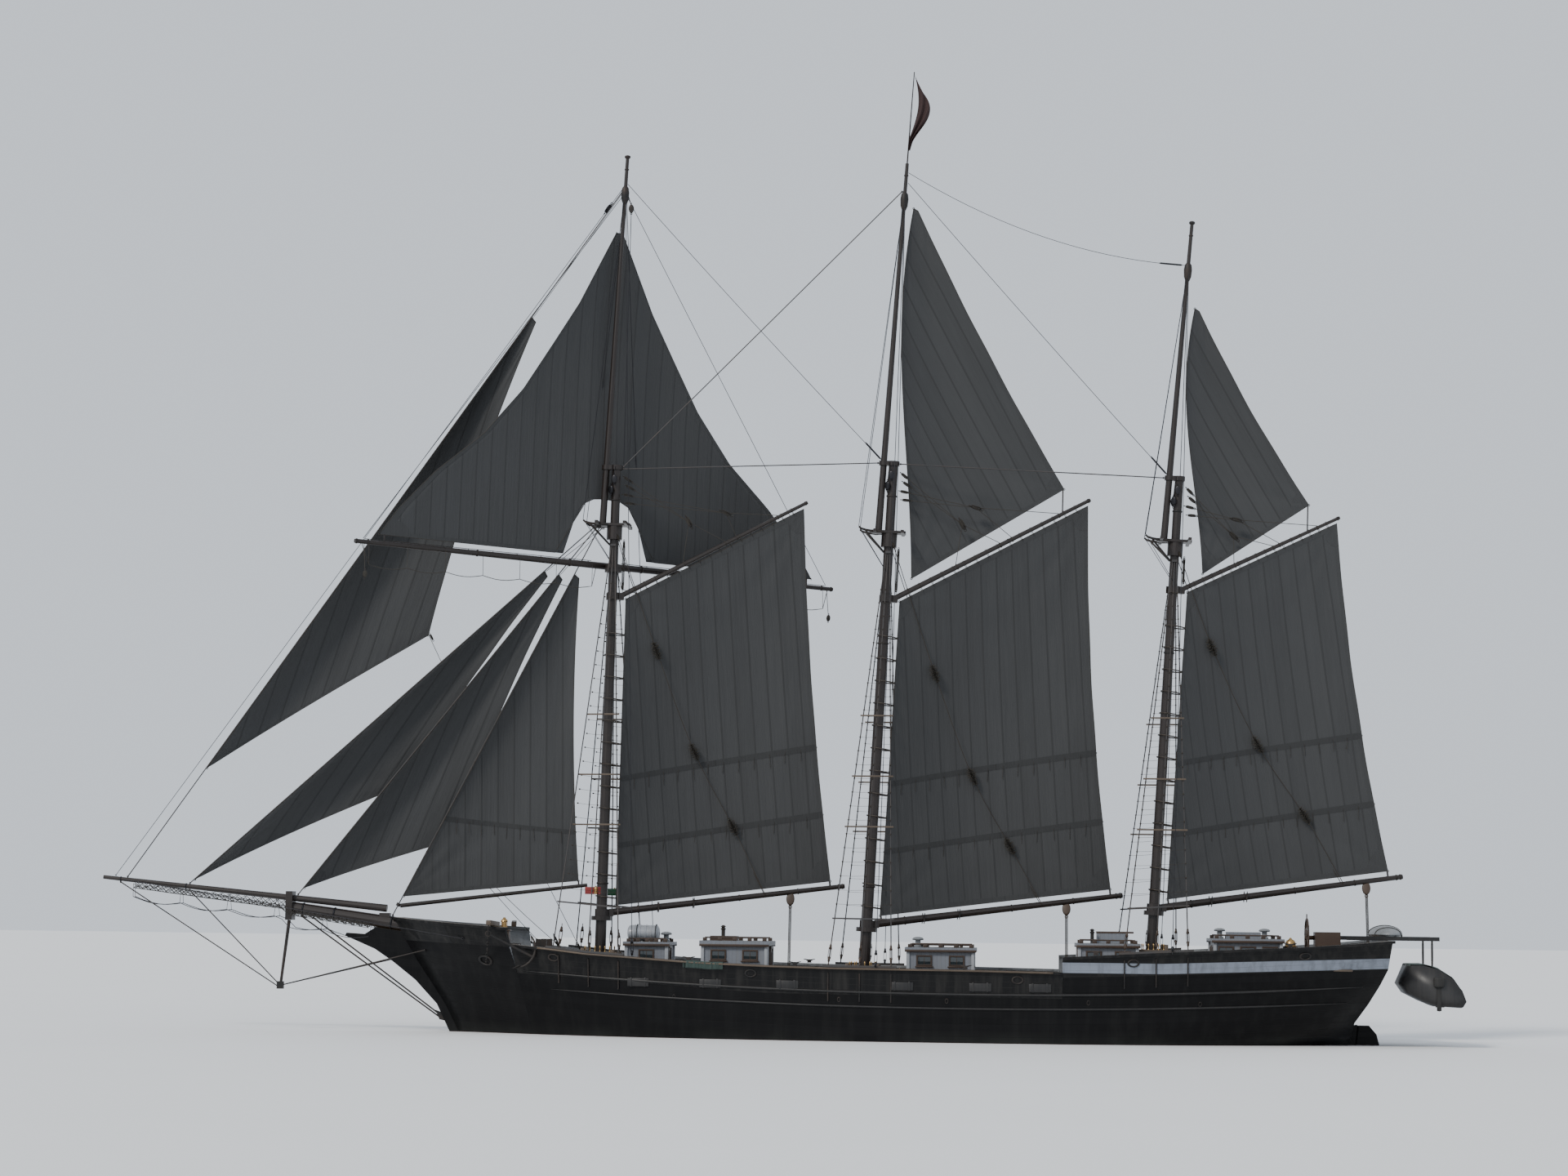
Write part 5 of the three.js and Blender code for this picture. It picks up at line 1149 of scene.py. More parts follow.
def add_bands(name, plan):
    """Tabling along the edges, patches in the corners and the reef bands."""
    sail = plan["sail"]
    # Their materials are darker copies of the sail canvas: a painted shade for the doubled cloth.
    bundle, patches = (Bundle(f"{name}_{kind}", f"sail_{kind}", plan["body"]) for kind in ("bands", "patches"))
    wide, tall = sail_size(sail)
    edge_u, edge_v = 0.13 / wide, 0.13 / tall
    tall_steps, wide_steps = 60, 36
    strip(patches, sail, lambda t: (0.0, t), lambda t: (edge_u, t), tall_steps)
    strip(patches, sail, lambda t: (1.0, t), lambda t: (1 - edge_u, t), tall_steps)
    strip(patches, sail, lambda t: (t, 0.0), lambda t: (t, edge_v), wide_steps)
    corners = [(0, 0), (1, 0), (0, 1), (1, 1)]
    if len(plan["on"]) > 1:
        strip(patches, sail, lambda t: (t, 1.0), lambda t: (t, 1 - edge_v), wide_steps)
    else:
        corners = corners[:2 if name == "raffee" else 3]
    reach_u, reach_v = min(0.16, 0.55 / wide), min(0.16, 0.55 / tall)
    for u, v in corners:
        def arc(reach, u=u, v=v):
            return lambda t: (u + (1 - 2 * u) * reach * reach_u * math.cos(t * math.pi / 2),
                              v + (1 - 2 * v) * reach * reach_v * math.sin(t * math.pi / 2))
        strip(patches, sail, arc(0.04), arc(1.0), 8, 0.005)
    for luff_v, leech_v in plan["reefs"]:
        def along(shift, low=luff_v, high=leech_v):
            return lambda t: (t, low + t * (high - low) + shift)
        strip(bundle, sail, along(-0.075 / tall), along(0.075 / tall), wide_steps, 0.005)
    return [made.finish() for made in (bundle, patches) if made.mesh.faces]


def add_ropes(name, plan, chance):
    """The bolt rope round the edges, the reef points, and the rings in the corners."""
    sail = plan["sail"]
    bundle = Bundle(f"{name}_ropes", "hemp_rope", plan["body"], "sailcloth")
    edge = [(0, t / 60) for t in range(60)] + [(t / 30, 1) for t in range(30)]
    edge += [(1, 1 - t / 60) for t in range(60)] + [(1 - t / 30, 0) for t in range(30)]
    points = [sail.shown(u, v) for u, v in edge]
    points = [p for p, q in zip(points, points[1:] + points[:1]) if (p - q).length > 0.004]
    bundle.line(points, 0.011, 6, loop=True)
    count = int(sail_size(sail)[0] / CLOTH_WIDTH)
    for luff_v, leech_v in plan["reefs"]:
        for i in range(1, count):
            u = i / count
            v = luff_v + u * (leech_v - luff_v)
            for side in (-1, 1):
                top = sail.shown(u, v, side * 0.012)
                sway = Vector((chance.uniform(-0.03, 0.03), side * 0.014, 0))
                length = chance.uniform(0.30, 0.40)
                down = [top + sway * t - raised(length * t) for t in (0, 0.35, 0.7, 1)]
                down[1:] = [Vector((p.x, sail.shown(u, v).y + side * 0.022, p.z)) for p in down[1:]]
                bundle.line(down, 0.006, 4)
        for u in (0.0, 1.0):
            bundle.add("thimble", placed(sail.shown(u, luff_v + u * (leech_v - luff_v)), sail.normal))
    for u, v in ((0, 0), (1, 0), (0, 1)):
        bundle.add("thimble", placed(sail.shown(u, v), sail.normal, 1.3))
    return bundle.finish()


def make_sails():
    chance = random.Random(11)
    for name, plan in plan_sails().items():
        sail = plan["sail"]
        cloth, area = cloth_piece(f"{name}_cloth", sail.shown, sail.flat, (56, 84), SAIL_THICK, "sail_canvas",
                                  plan["body"])
        flats = [sail.flat(i / 8, j / 8) for i in range(9) for j in range(9)]
        size = [max(p[k] for p in flats) - min(p[k] for p in flats) for k in (0, 1)]
        extras = [*add_bands(name, plan), add_ropes(name, plan, chance)]
        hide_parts(name)


def make_hoops_and_lacing():
    """Mast hoops up each luff, lacing along each gaff, and hanks on the stays."""
    plans = plan_sails()
    for rig, values in GAFF_RIGS.items():
        sail = plans[values["sail"]]["sail"]
        hoops = Bundle(f"{rig}_mast_hoops", "hoop_wood", RIG_BODIES[rig])
        lacing = Bundle(f"{rig}_gaff_lacing", "hemp_rope", RIG_BODIES[rig], "sailcloth")
        for i in range(13):
            luff = sail.bare(0, 0.93 * (i + 0.35) / 13)
            front = mast_radius(rig, luff.z) + 0.030
            radius = (luff.x + front) / 2
            middle = Vector(((luff.x - front) / 2, 0, luff.z))
            hoops.add("hoop", sail.matrix @ placed(middle, (0.10, 0, 1), (radius, radius, 1)))
            lacing.add("seizing", sail.matrix @ placed(luff, UP))
        gaff = Spar(*values["gaff"])
        for i in range(1, 17):
            r = values["throat"] + (values["peak"] - values["throat"]) * i / 17
            radius = gaff.radius_at(r) + 0.010
            points = []
            for k in range(13):
                a = math.tau * k / 12
                drop = HEAD_GAP + 0.03 if 4 < k < 8 else 0.0
                points.append(sail.matrix @ (gaff.on(r + 0.02 * (k / 12 - 0.5), radius * math.cos(a) - drop)
                                             + Vector((0, radius * math.sin(a), 0))))
            lacing.line(points, 0.007, 5)
        finish(hoops, lacing)
    for name in (*JIBS, "fore_staysail"):
        sail = plans[name]["sail"]
        hanks = Bundle(f"{name}_hanks", "galvanised", plans[name]["body"])
        for i in range(18):
            middle = sail.bare(0, (i + 0.5) / 18) - (sail.clew - sail.tack).normalized() * 0.016
            hanks.add("hank", sail.matrix @ placed(middle, sail.throat - sail.tack))
        hanks.finish()


def lift_path(rig, side):
    """A boom's lift in its rig's frame: from the masthead down beside the sail to the boom."""
    values, mast = GAFF_RIGS[rig], MASTS[rig]
    sail = plan_sails()[values["sail"]]["sail"]
    rest = mast_frame(rig, SWING).inverted()
    marks = [rest @ Vector((x, 0, z)) for x, z in values["lift"]]
    boom = Spar(*values["boom"])
    end_r = marks[-1].x + (marks[-1].x - marks[-2].x) * 0.80
    path = [Vector((0.10, side * (mast["head"] + 0.07), mast["trees"] - 0.42))]
    for r, _, h in marks:
        v = min(1.0, max(0.0, (h - values["boom"][0]) / (values["gaff"][0] + 1.2 - values["boom"][0])))
        foot, head = sail.bare(0, v).x, sail.bare(1, v).x
        u = (r - foot) / (head - foot)
        path.append(Vector((r, sail.bare(min(1, max(0, u)), v).y + side * 0.16, h)))
    path.append(boom.on(end_r) + Vector((0, side * (boom.radius_at(end_r) + 0.015), 0)))
    return path


def smooth_path(path, steps=6):
    """A smooth curve through a few places."""
    points = []
    for i in range(len(path) - 1):
        p0, p1, p2, p3 = path[max(0, i - 1)], path[i], path[i + 1], path[min(len(path) - 1, i + 2)]
        for k in range(steps):
            t = k / steps
            points.append(0.5 * ((2 * p1) + (p2 - p0) * t + (2 * p0 - 5 * p1 + 4 * p2 - p3) * t * t
                                 + (3 * p1 - p0 - 3 * p2 + p3) * t ** 3))
    return points + [path[-1]]


def tuft(bundle, matrix, at, way, chance, radius=0.155, length=0.50):
    """A baggywrinkle: rope yarns tied round a lift so that it doesn't chafe the sail."""
    way = way.normalized()
    side = way.orthogonal().normalized()
    other = way.cross(side)
    for i in range(90):
        along = (i / 90 - 0.5) * length
        wide = radius * (0.55 + 0.45 * math.cos(math.pi * along / length)) * chance.uniform(0.75, 1.1)
        a = i * 2.4
        out = side * math.cos(a) + other * math.sin(a)
        foot = at + way * along
        bundle.line([matrix @ (foot + out * 0.010), matrix @ (foot + out * wide + way * chance.uniform(-0.06, 0.03))],
                    0.008, 4, radii=(0.012, 0.005))


def make_lifts():
    """The boom lifts, with their baggywrinkles."""
    chance = random.Random(5)
    for rig, body in RIG_BODIES.items():
        matrix = mast_frame(rig, SWING)
        lines = Bundle(f"{rig}_boom_lifts", "tarred_rope", body)
        tufts = Bundle(f"{rig}_baggywrinkles", "worn_tufts", body)
        for side in (-1, 1):
            path = lift_path(rig, side)
            lines.line([matrix @ p for p in smooth_path(path)], 0.011, 6)
            for k in (1, 2, 3):
                tuft(tufts, matrix, path[k], path[k + 1] - path[k - 1], chance)
            lines.add("block_small", matrix @ placed(path[0], path[1] - path[0]))
        finish(lines, tufts)


# Shapes that repeat, each modelled once

def block_shape():
    """A wooden block: its cheeks, sheave, iron strap and eye. Its line leaves along Z."""
    start("uv_sphere", segments=14, ring_count=8, radius=0.5)
    resize((0.022, 0.10, 0.16))
    bpy.ops.mesh.bisect(plane_co=(0.0075, 0, 0), plane_no=(1, 0, 0), clear_outer=True, use_fill=True)
    cheek = closed(50)
    sheave = turned([(0.012, -0.007), (0.034, -0.007), (0.030, 0.0), (0.034, 0.007), (0.012, 0.007)], 12)
    strap, eye = ringed(0.062, 0.005, 16, 6), ringed(0.018, 0.006, 10, 6)
    return joined((cheek, move(-0.016)), (cheek, move(0.016)), (sheave, ACROSS), (strap, sized(1, 0.78, 1.25) @ ACROSS),
                  (eye, move(0, 0, 0.098) @ UPRIGHT), (eye, move(0, 0, -0.098) @ ACROSS))


def deadeye_shape():
    """A pair of deadeyes with the lanyard rove between them, standing along Z."""
    disc = turned([(0.050, -0.030), (0.070, -0.022), (0.078, 0.0), (0.070, 0.022), (0.050, 0.030)], 14)
    strap = ringed(0.080, 0.009, 16, 6)
    rod = turned([(0.011, -0.16), (0.011, -0.07), (0.009, -0.065)], 8)
    lanyards = Bundle("lanyards", "hemp_rope")
    for x in (-0.034, 0.0, 0.034):
        for side in (-1, 1):
            lanyards.line([(x, side * 0.036, 0.10), (x * 1.1, side * 0.038, 0.25), (x, side * 0.036, 0.40)], 0.006, 5)
    low, high = move(0, 0, 0.08), move(0, 0, 0.42)
    return joined((disc, low @ UPRIGHT), (disc, high @ UPRIGHT), (strap, low @ UPRIGHT), (strap, high @ UPRIGHT),
                  (rod, low), (rod, high @ Matrix.Rotation(math.pi, 4, "X")), lanyards.as_mesh())


def cleat_shape():
    start_box((0.10, 0.045, 0.05))
    for side in (-1, 1):
        pick(lambda c, n, side=side: n.x * side > 0.9)
        extrude((side * 0.05, 0, 0.022), (1, 0.75, 0.6), (side * 0.10, 0, 0.022))
        extrude((side * 0.07, 0, 0.012), (1, 0.6, 0.55), (side * 0.17, 0, 0.034))
    pick(lambda c, n: n.z < -0.9 and abs(c.x) < 0.05)
    extrude((0, 0, -0.045), (1.3, 1.2, 1), (0, 0, -0.07))
    bevelled(0.005)
    return closed()


def bitt_shape():
    """A pair of timber mooring posts on a base."""
    post = turned([(0.075, 0.0), (0.075, 0.30), (0.092, 0.33), (0.092, 0.39), (0.070, 0.42)], 12)
    base = bar(0.32, 0.12, -0.02, 0.05, 0.02)
    rod = turned([(0.025, -0.34), (0.03, 0.0), (0.025, 0.34)], 10)
    return joined(base, (post, move(-0.20, 0, 0.04)), (post, move(0.20, 0, 0.04)), (rod, move(0, 0, 0.26) @ ACROSS))


def window_shape():
    """A window's frame with its sill, facing Y."""
    start_box((0.44, 0.045, 0.30))
    pick(lambda c, n: n.y > 0.9)
    bpy.ops.mesh.inset(thickness=0.045)
    extrude((0, -0.030, 0))
    bevelled(0.004)
    return joined(closed(), boxed((-0.25, -0.02, -0.185), (0.25, 0.050, -0.150), 0.006),
                  boxed((-0.008, -0.005, -0.12), (0.008, 0.012, 0.12), 0.003))


def door_shape():
    """A boarded door with two sunk panels and its frame, facing Y, standing on its foot."""
    start_box((0.58, 0.04, 1.24), (0, 0, 0.62))
    cut(0.60)
    for middle in (0.30, 0.92):
        pick(lambda c, n, middle=middle: n.y > 0.9 and abs(c.z - middle) < 0.2)
        bpy.ops.mesh.inset(thickness=0.075)
        extrude((0, -0.014, 0), (0.96, 1, 0.96), (0, 0.006, middle))
    leaf = closed()
    jamb = boxed((-0.035, -0.02, 0.0), (0.035, 0.045, 1.32), 0.008)
    lintel = boxed((-0.38, -0.02, 1.25), (0.38, 0.055, 1.34))
    knob = turned([(0.010, 0.0), (0.012, 0.02), (0.024, 0.03), (0.024, 0.045), (0.012, 0.055)], 10)
    return joined(leaf, (jamb, move(-0.33)), (jamb, move(0.33)), lintel,
                  (knob, move(0.22, 0.02, 0.62) @ Matrix.Rotation(-math.pi / 2, 4, "X")))


def canister_shape():
    """A raft in its canister: a drum with ribs, bands and rounded ends, lying along X."""
    ribs = [(0.20, -0.55), (0.29, -0.50), (0.31, -0.42)]
    for z in (-0.30, -0.10, 0.10, 0.30):
        ribs += [(0.31, z - 0.03), (0.325, z - 0.015), (0.325, z + 0.015), (0.31, z + 0.03)]
    ribs += [(0.31, 0.42), (0.29, 0.50), (0.20, 0.55)]
    return joined((turned(ribs, 20), ACROSS))


def lamp_shape():
    """A lantern: its base, guard ribs, lens and cap."""
    body = turned([(0.075, 0.0), (0.080, 0.03), (0.060, 0.045), (0.058, 0.17), (0.080, 0.185), (0.070, 0.215),
                   (0.030, 0.25), (0.030, 0.27), (0.012, 0.275)], 14)
    rib = bar(0.004, 0.004, 0.03, 0.19, 0.0015)
    return joined(body, *((rib, Matrix.Rotation(math.tau * i / 6, 4, "Z") @ move(0.068)) for i in range(6)))


def anchor_shape():
    """An anchor, its shank along Z, its arms in the plane of X, its stock folded along the shank."""
    shank = turned([(0.045, 0.0), (0.036, 0.8), (0.030, 1.50), (0.036, 1.55)], 10)
    arms = Bundle("arms", "iron_black")
    arc = [(0.62 * math.sin(a), 0, 0.62 - 0.62 * math.cos(a)) for a in (-1.15 + 2.3 * i / 14 for i in range(15))]
    arms.line(arc, 0.04, 8, radii=[0.022 + 0.026 * (1 - abs(i - 7) / 7) for i in range(15)])
    start_box((0.025, 0.20, 0.24))
    pick(lambda c, n: n.z > 0.9)
    resize((1, 0.25, 1), (0, 0, 0.12))
    bevelled(0.005)
    palm = closed()
    stock = turned([(0.016, -0.62), (0.028, -0.60), (0.030, 0.0), (0.028, 0.60), (0.016, 0.62)], 8)
    return joined(shank, arms.as_mesh(),
                  *((palm, move(side * 0.52, 0, 0.34) @ Matrix.Rotation(side * 0.9, 4, "Y")) for side in (-1, 1)),
                  (stock, move(0.0, 0.075, 0.95)), (ringed(0.085, 0.014, 16, 8), move(0, 0, 1.62) @ UPRIGHT))


def make_shapes():
    """Models every repeated shape."""
    for shape, rings in {
            "thimble": (0.022, 0.007, 12, 6), "hoop": (1.0, 0.045, 26, 8, 0.40), "hank": (0.030, 0.006, 14, 6),
            "band": (1.0, 0.10, 24, 8, 0.5), "shackle": (0.024, 0.007, 12, 6), "lead": (0.105, 0.022, 18, 8),
            "chain_link": (0.050, 0.015, 12, 6), "small_link": (0.045, 0.014, 12, 6)}.items():
        SHAPES[shape] = ringed(*rings)
    for shape, size in (("lead", (1.35, 0.9, 1)), ("chain_link", (1, 0.62, 1)), ("small_link", (1, 0.62, 1))):
        SHAPES[shape] = joined((SHAPES[shape], sized(*size)))
    # Turned shapes: sides, then radius and height
    for shape, sides, *profile in (
            ("seizing", 8, (0.010, -0.03), (0.017, -0.02), (0.017, 0.02), (0.010, 0.03)),
            ("pin", 8, (0.010, -0.17), (0.012, -0.02), (0.012, 0.0), (0.021, 0.006), (0.016, 0.02), (0.013, 0.05),
             (0.019, 0.11), (0.017, 0.15), (0.008, 0.165)),
            ("mushroom_vent", 14, (0.11, 0.0), (0.11, 0.05), (0.075, 0.06), (0.075, 0.20), (0.15, 0.21),
             (0.165, 0.235), (0.13, 0.275), (0.05, 0.295)),
            ("chimney", 14, (0.075, -0.10), (0.055, -0.06), (0.055, 0.26), (0.075, 0.27), (0.075, 0.30), (0.05, 0.31),
             (0.05, 0.34), (0.085, 0.35), (0.03, 0.40)),
            ("bolt", 6, (0.016, 0.0), (0.016, 0.006), (0.010, 0.012)),
            ("truck", 16, (0.05, -0.03), (0.075, -0.015), (0.09, 0.02), (0.075, 0.055), (0.035, 0.07)),
            ("hounds", 12, (0.060, -0.36), (0.105, -0.24), (0.118, -0.04), (0.098, 0.10), (0.055, 0.16))):
        SHAPES[shape] = turned(profile, sides)
    SHAPES.update({
        "block_small": block_shape(), "deadeyes": deadeye_shape(), "cleat": cleat_shape(), "bitt": bitt_shape(),
        "window": window_shape(), "door": door_shape(), "canister": canister_shape(), "lamp": lamp_shape(),
        "anchor": anchor_shape(), "pane": boxed((-0.18, -0.008, -0.11), (0.18, 0.006, 0.11), 0.003),
    })


# Standing rigging

BATTEN_HEIGHTS = (5.8, 7.2, 8.9)
RATLINE_STEP = 0.40
RATLINES_END = 0.93
SIDES = ((-1, "port"), (1, "starboard"))

# A horn of the trestle trees: its reach before the mast's axis, its half width and its rise
TREE_HORN = ((-0.16, 0.20, -0.045), (-0.42, 0.28, -0.055), (-0.66, 0.34, -0.035), (-0.80, 0.37, 0.0),
             (-0.86, 0.385, 0.05))

# The blocks of the peak halyards: place aft of the mast's axis and height, and the legs of the bridle on the gaff
PEAK_BLOCKS = {
    "fore": ((2.11, 14.55, 0.34, 0.56), (3.17, 14.86, 0.62, 0.84)),
    "main": ((2.06, 14.59, 0.32, 0.54), (2.43, 15.10, 0.60, 0.84)),
    "mizzen": ((1.64, 14.28, 0.34, 0.58), (1.70, 14.75, 0.62, 0.86)),
}
SHEET_PLACES = {"fore": 5.35, "main": 5.66, "mizzen": 6.05}


def make_ratlines():
    """Ratlines and battens across each set of shrouds, the deadeyes under them, and the chain plates."""
    for name in MASTS:
        for side, word in SIDES:
            lines = shroud_lines(name, side)
            ratlines, battens, eyes, plates = (
                Bundle(f"{name}_{kind}_{word}", material) for kind, material in
                (("ratlines", "tarred_rope"), ("battens", "rail_wood"), ("deadeyes", "block_wood"),
                 ("chain_plates", "iron_black")))
            way = lines[0][1] - lines[0][0]
            step = RATLINE_STEP / way.length
            t = SHEER_POLE_AT + step
            while t < RATLINES_END:
                a, b, c = (low.lerp(high, t) for low, high in lines)
                over = (c - a).normalized() * 0.035
                path = [a - over, a.lerp(b, 0.5) - raised(0.012), b, b.lerp(c, 0.5) - raised(0.012), c + over]
                ratlines.line([p + Vector((0, side * 0.018, 0)) for p in path], 0.0055, 4)
                for p in (a, b, c):
                    ratlines.add("seizing", placed(p + Vector((0, side * 0.008, 0)), way, (1.4, 1.4, 0.6)))
                t += step
            for z in BATTEN_HEIGHTS:
                a, b, c = (low.lerp(high, (z - low.z) / (high.z - low.z)) for low, high in lines)
                batten = bar(((c - a).length + 0.16) / 2, 0.012, -0.022, 0.022, 0.005)
                battens.add(batten, on_wall((a + c) / 2 + Vector((0, side * 0.030, 0)), (c - a).cross((0, 0, side))))
            for low, high in lines:
                way = (high - low).normalized()
                eyes.add("deadeyes", placed(low + way * 0.10, way, 1.0, (0, side, 0)))
                points = []
                for k in range(6):
                    place, normal = outside(low.x, low.z - 0.19 - 0.15 * k, side)
                    points.append(place + normal * 0.016)
                plates.line(points, 0.024, 4)
                for p in (points[2], points[4], points[5]):
                    _, normal = outside(p.x, p.z, side)
                    plates.add("bolt", placed(p + normal * 0.012, normal, 1.3))
            finish(ratlines, battens, eyes, plates)


def backstay_foot(name, side, after):
    x = MASTS[name]["foot"] + MASTS[name]["rake"] * SHROUD_BASE_HEIGHT + after
    return rail_top(x, side) + Vector((0, side * 0.02, 0.02))


def make_topmast_rigging():
    """Topmast shrouds over the horns of the trees, backstays, stays between the masts, bands and trucks."""
    wires, irons = Bundle("topmast_rigging", "wire_rope"), Bundle("mast_irons", "iron_black")
    for name, mast in MASTS.items():
        truck_z, trees, cap = mast["truck"][1], mast["trees"], mast["cap"]
        rest, lean = mast_frame(name), (mast["rake"], 0, 1)
        hounds = truck_z - (1.3 if name == "mizzen" else 1.0)
        head, radius = topmast_at(name, hounds)
        for side in (-1, 1):
            horn = [rest @ Vector((r, side * y, trees + h)) for r, y, h in TREE_HORN]
            irons.line(horn, 0.034, 8, radii=(0.040, 0.038, 0.034, 0.030, 0.026))
            brace = rest @ Vector((-mast_radius(name, trees - 0.60), side * 0.06, trees - 0.60))
            irons.line([brace, horn[2] - raised(0.03)], 0.028, 8)
            front = horn[-1] + raised(0.02)
            futtock = rest @ Vector((0.0, side * (mast_radius(name, trees - 1.2) + 0.02), trees - 1.2))
            beside = head + Vector((0, side * radius, 0))
            wires.line([beside, front, futtock], 0.009, 6)
            foot = backstay_foot(name, side, 1.22 if name == "fore" else 0.43)
            top = head + Vector((0.02, side * radius, 0.10))
            wires.line([top, foot + (top - foot).normalized() * 0.55], 0.010, 6)
            wires.add("deadeyes", placed(foot, top - foot, 0.95, (0, side, 0)))
            wires.add("seizing", placed(beside, front - head, 1.4))
        for h, around in ((trees - 0.34, 0.010), (trees - 3.2, 0.008), (4.2, 0.008), (cap - 1.0, 0.008)):
            wide = mast_radius(name, h) + around
            irons.add("band", rest @ placed((0, 0, h), UP, (wide, wide, 0.5)))
        for z in (hounds, truck_z - 0.35):
            place, wide = topmast_at(name, z)
            irons.add("band", placed(place, lean, (wide + 0.008, wide + 0.008, 0.4)))
        for k, turn in enumerate((98, 126, -98, -126)):
            out = Vector((math.cos(math.radians(turn)), math.sin(math.radians(turn)), 0)) * (mast["head"] + 0.09)
            hang = out + raised(cap - 0.42 - 0.30 * (k % 2))
            wires.add("block_small", placed(rest @ hang, UP, 1.5, out))
            wires.line([rest @ (out * 0.8 + raised(cap - 0.03)), rest @ (hang + raised(0.13))], 0.010, 5)
        if name != "main":
            irons.add("truck", placed(topmast_at(name, truck_z)[0], lean))
        irons.add("hounds", placed(head, lean))
        if name == "fore":
            block = head + Vector((radius + 0.13, 0, -0.42))
            irons.line([head + Vector((radius, 0, 0)), block], 0.012, 6)
            irons.add("block_small", placed(block - raised(0.08), UP, 1.5, (0, 1, 0)))
            for y in (-0.02, 0.02):
                wires.line([block + Vector((0, y, -0.10)), rest @ Vector((0.20, y, cap + 0.03))], 0.008, 5)
    caps = {name: mast_frame(name) @ Vector((-0.30, 0, mast["cap"] - 0.02)) for name, mast in MASTS.items()}
    fore_head, main_head, high_main, mizzen_head, top = (
        topmast_at(name, z)[0] + Vector((r, 0, 0)) for name, z, r in (
            ("fore", 24.3, 0.06), ("main", 24.3, 0.07), ("main", 24.6, 0.06), ("mizzen", 21.88, -0.07),
            ("fore", MASTS["fore"]["truck"][1] - 0.90, -0.07)))
    foot = on_jib_boom(-22.35)
    wires.line([foot, top], 0.009, 6)
    wires.add("block_small", placed(top.lerp(foot, 0.03), top - foot, 1.8))
    wires.add("thimble", placed(foot, top - foot, 1.2))
    wires.line(sagging(fore_head, caps["main"], 0.06), 0.009, 6)
    wires.line(sagging(main_head, caps["mizzen"], 0.05), 0.009, 6)
    span = sagging(high_main, mizzen_head, 0.55, 18)
    wires.line(span, 0.008, 6)
    for low, high in ((mizzen_head, span[-3]), (caps["mizzen"], main_head), (caps["main"], fore_head)):
        way = (high - low).normalized()
        wires.line([low + way * t for t in (0.10, 0.14, 0.70, 0.76)], 0.024, 8, radii=(0.012, 0.026, 0.026, 0.012))
    finish(wires, irons)


def make_head_gear():
    """Whisker stays, footropes and the net under the bowsprit and the jib boom."""
    gear, net = Bundle("head_gear", "wire_rope"), Bundle("bowsprit_net", "hemp_rope")
    steps = 30
    for side in (-1, 1):
        place, normal = outside(-12.05, 2.62, side)
        hull_end = place + normal * 0.03
        boom_end = spar_at(JIB_BOOM, -22.1)[0] + Vector((0, side * 0.08, 0))
        gear.line([hull_end, boom_end], 0.011, 6)
        gear.add("shackle", placed(hull_end, normal, 1.6))
        inner, outer = [], []
        for k in range(steps + 1):
            x = -14.9 - k / steps * 6.9
            centre, _ = spar_at(BOWSPRIT if x > -17.3 else JIB_BOOM, x)
            wide = hull_end.lerp(boom_end, (hull_end.x - x) / (hull_end.x - boom_end.x))
            inner.append(centre + Vector((0, side * 0.10, -0.09)))
            outer.append(centre.lerp(wide, 0.92))
        middle = [a.lerp(b, 0.5) - raised(0.16) for a, b in zip(inner, outer)]
        for k in range(steps):
            for first, last in ((inner, middle), (middle, outer)):
                net.line([first[k], last[k + 1]], 0.009, 4)
                net.line([first[k + 1], last[k]], 0.009, 4)
        net.line(middle, 0.010, 4)
        foot = [a.lerp(b, 0.45) - raised(0.40 + 0.12 * abs(math.sin(math.pi * k / 6)))
                for k, (a, b) in enumerate(zip(inner, outer))]
        gear.line(foot, 0.010, 6)
        for k in range(0, steps + 1, 6):
            gear.line([inner[k], foot[k]], 0.007, 5)
    for spar, slope, room, flat, places in ((JIB_BOOM, 0.096, 0.008, 0.35, (-22.2, -20.3, -17.35)),
                                            (BOWSPRIT, 0.137, 0.006, 0.5, (-16.9, -16.0, -14.35))):
        for x in places:
            centre, radius = spar_at(spar, x)
            gear.add("band", placed(centre, (-1, 0, slope), (radius + room, radius + room, flat)))
    finish(gear, net)


# Running rigging that turns with the spars

def tackle(bundle, low, high, spread, block, parts=4):
    """A tackle between two places: its blocks and the parts of its fall."""
    way = (high - low).normalized()
    side = way.orthogonal().normalized()
    bundle.add("block_small", placed(low + way * 0.12, way, block))
    bundle.add("block_small", placed(high - way * 0.12, way, block))
    for k in range(parts):
        off = side * spread * (k - (parts - 1) / 2)
        bundle.line([low + way * 0.16 + off, low.lerp(high, 0.5) + off * 1.1, high - way * 0.16 + off], 0.009, 5)


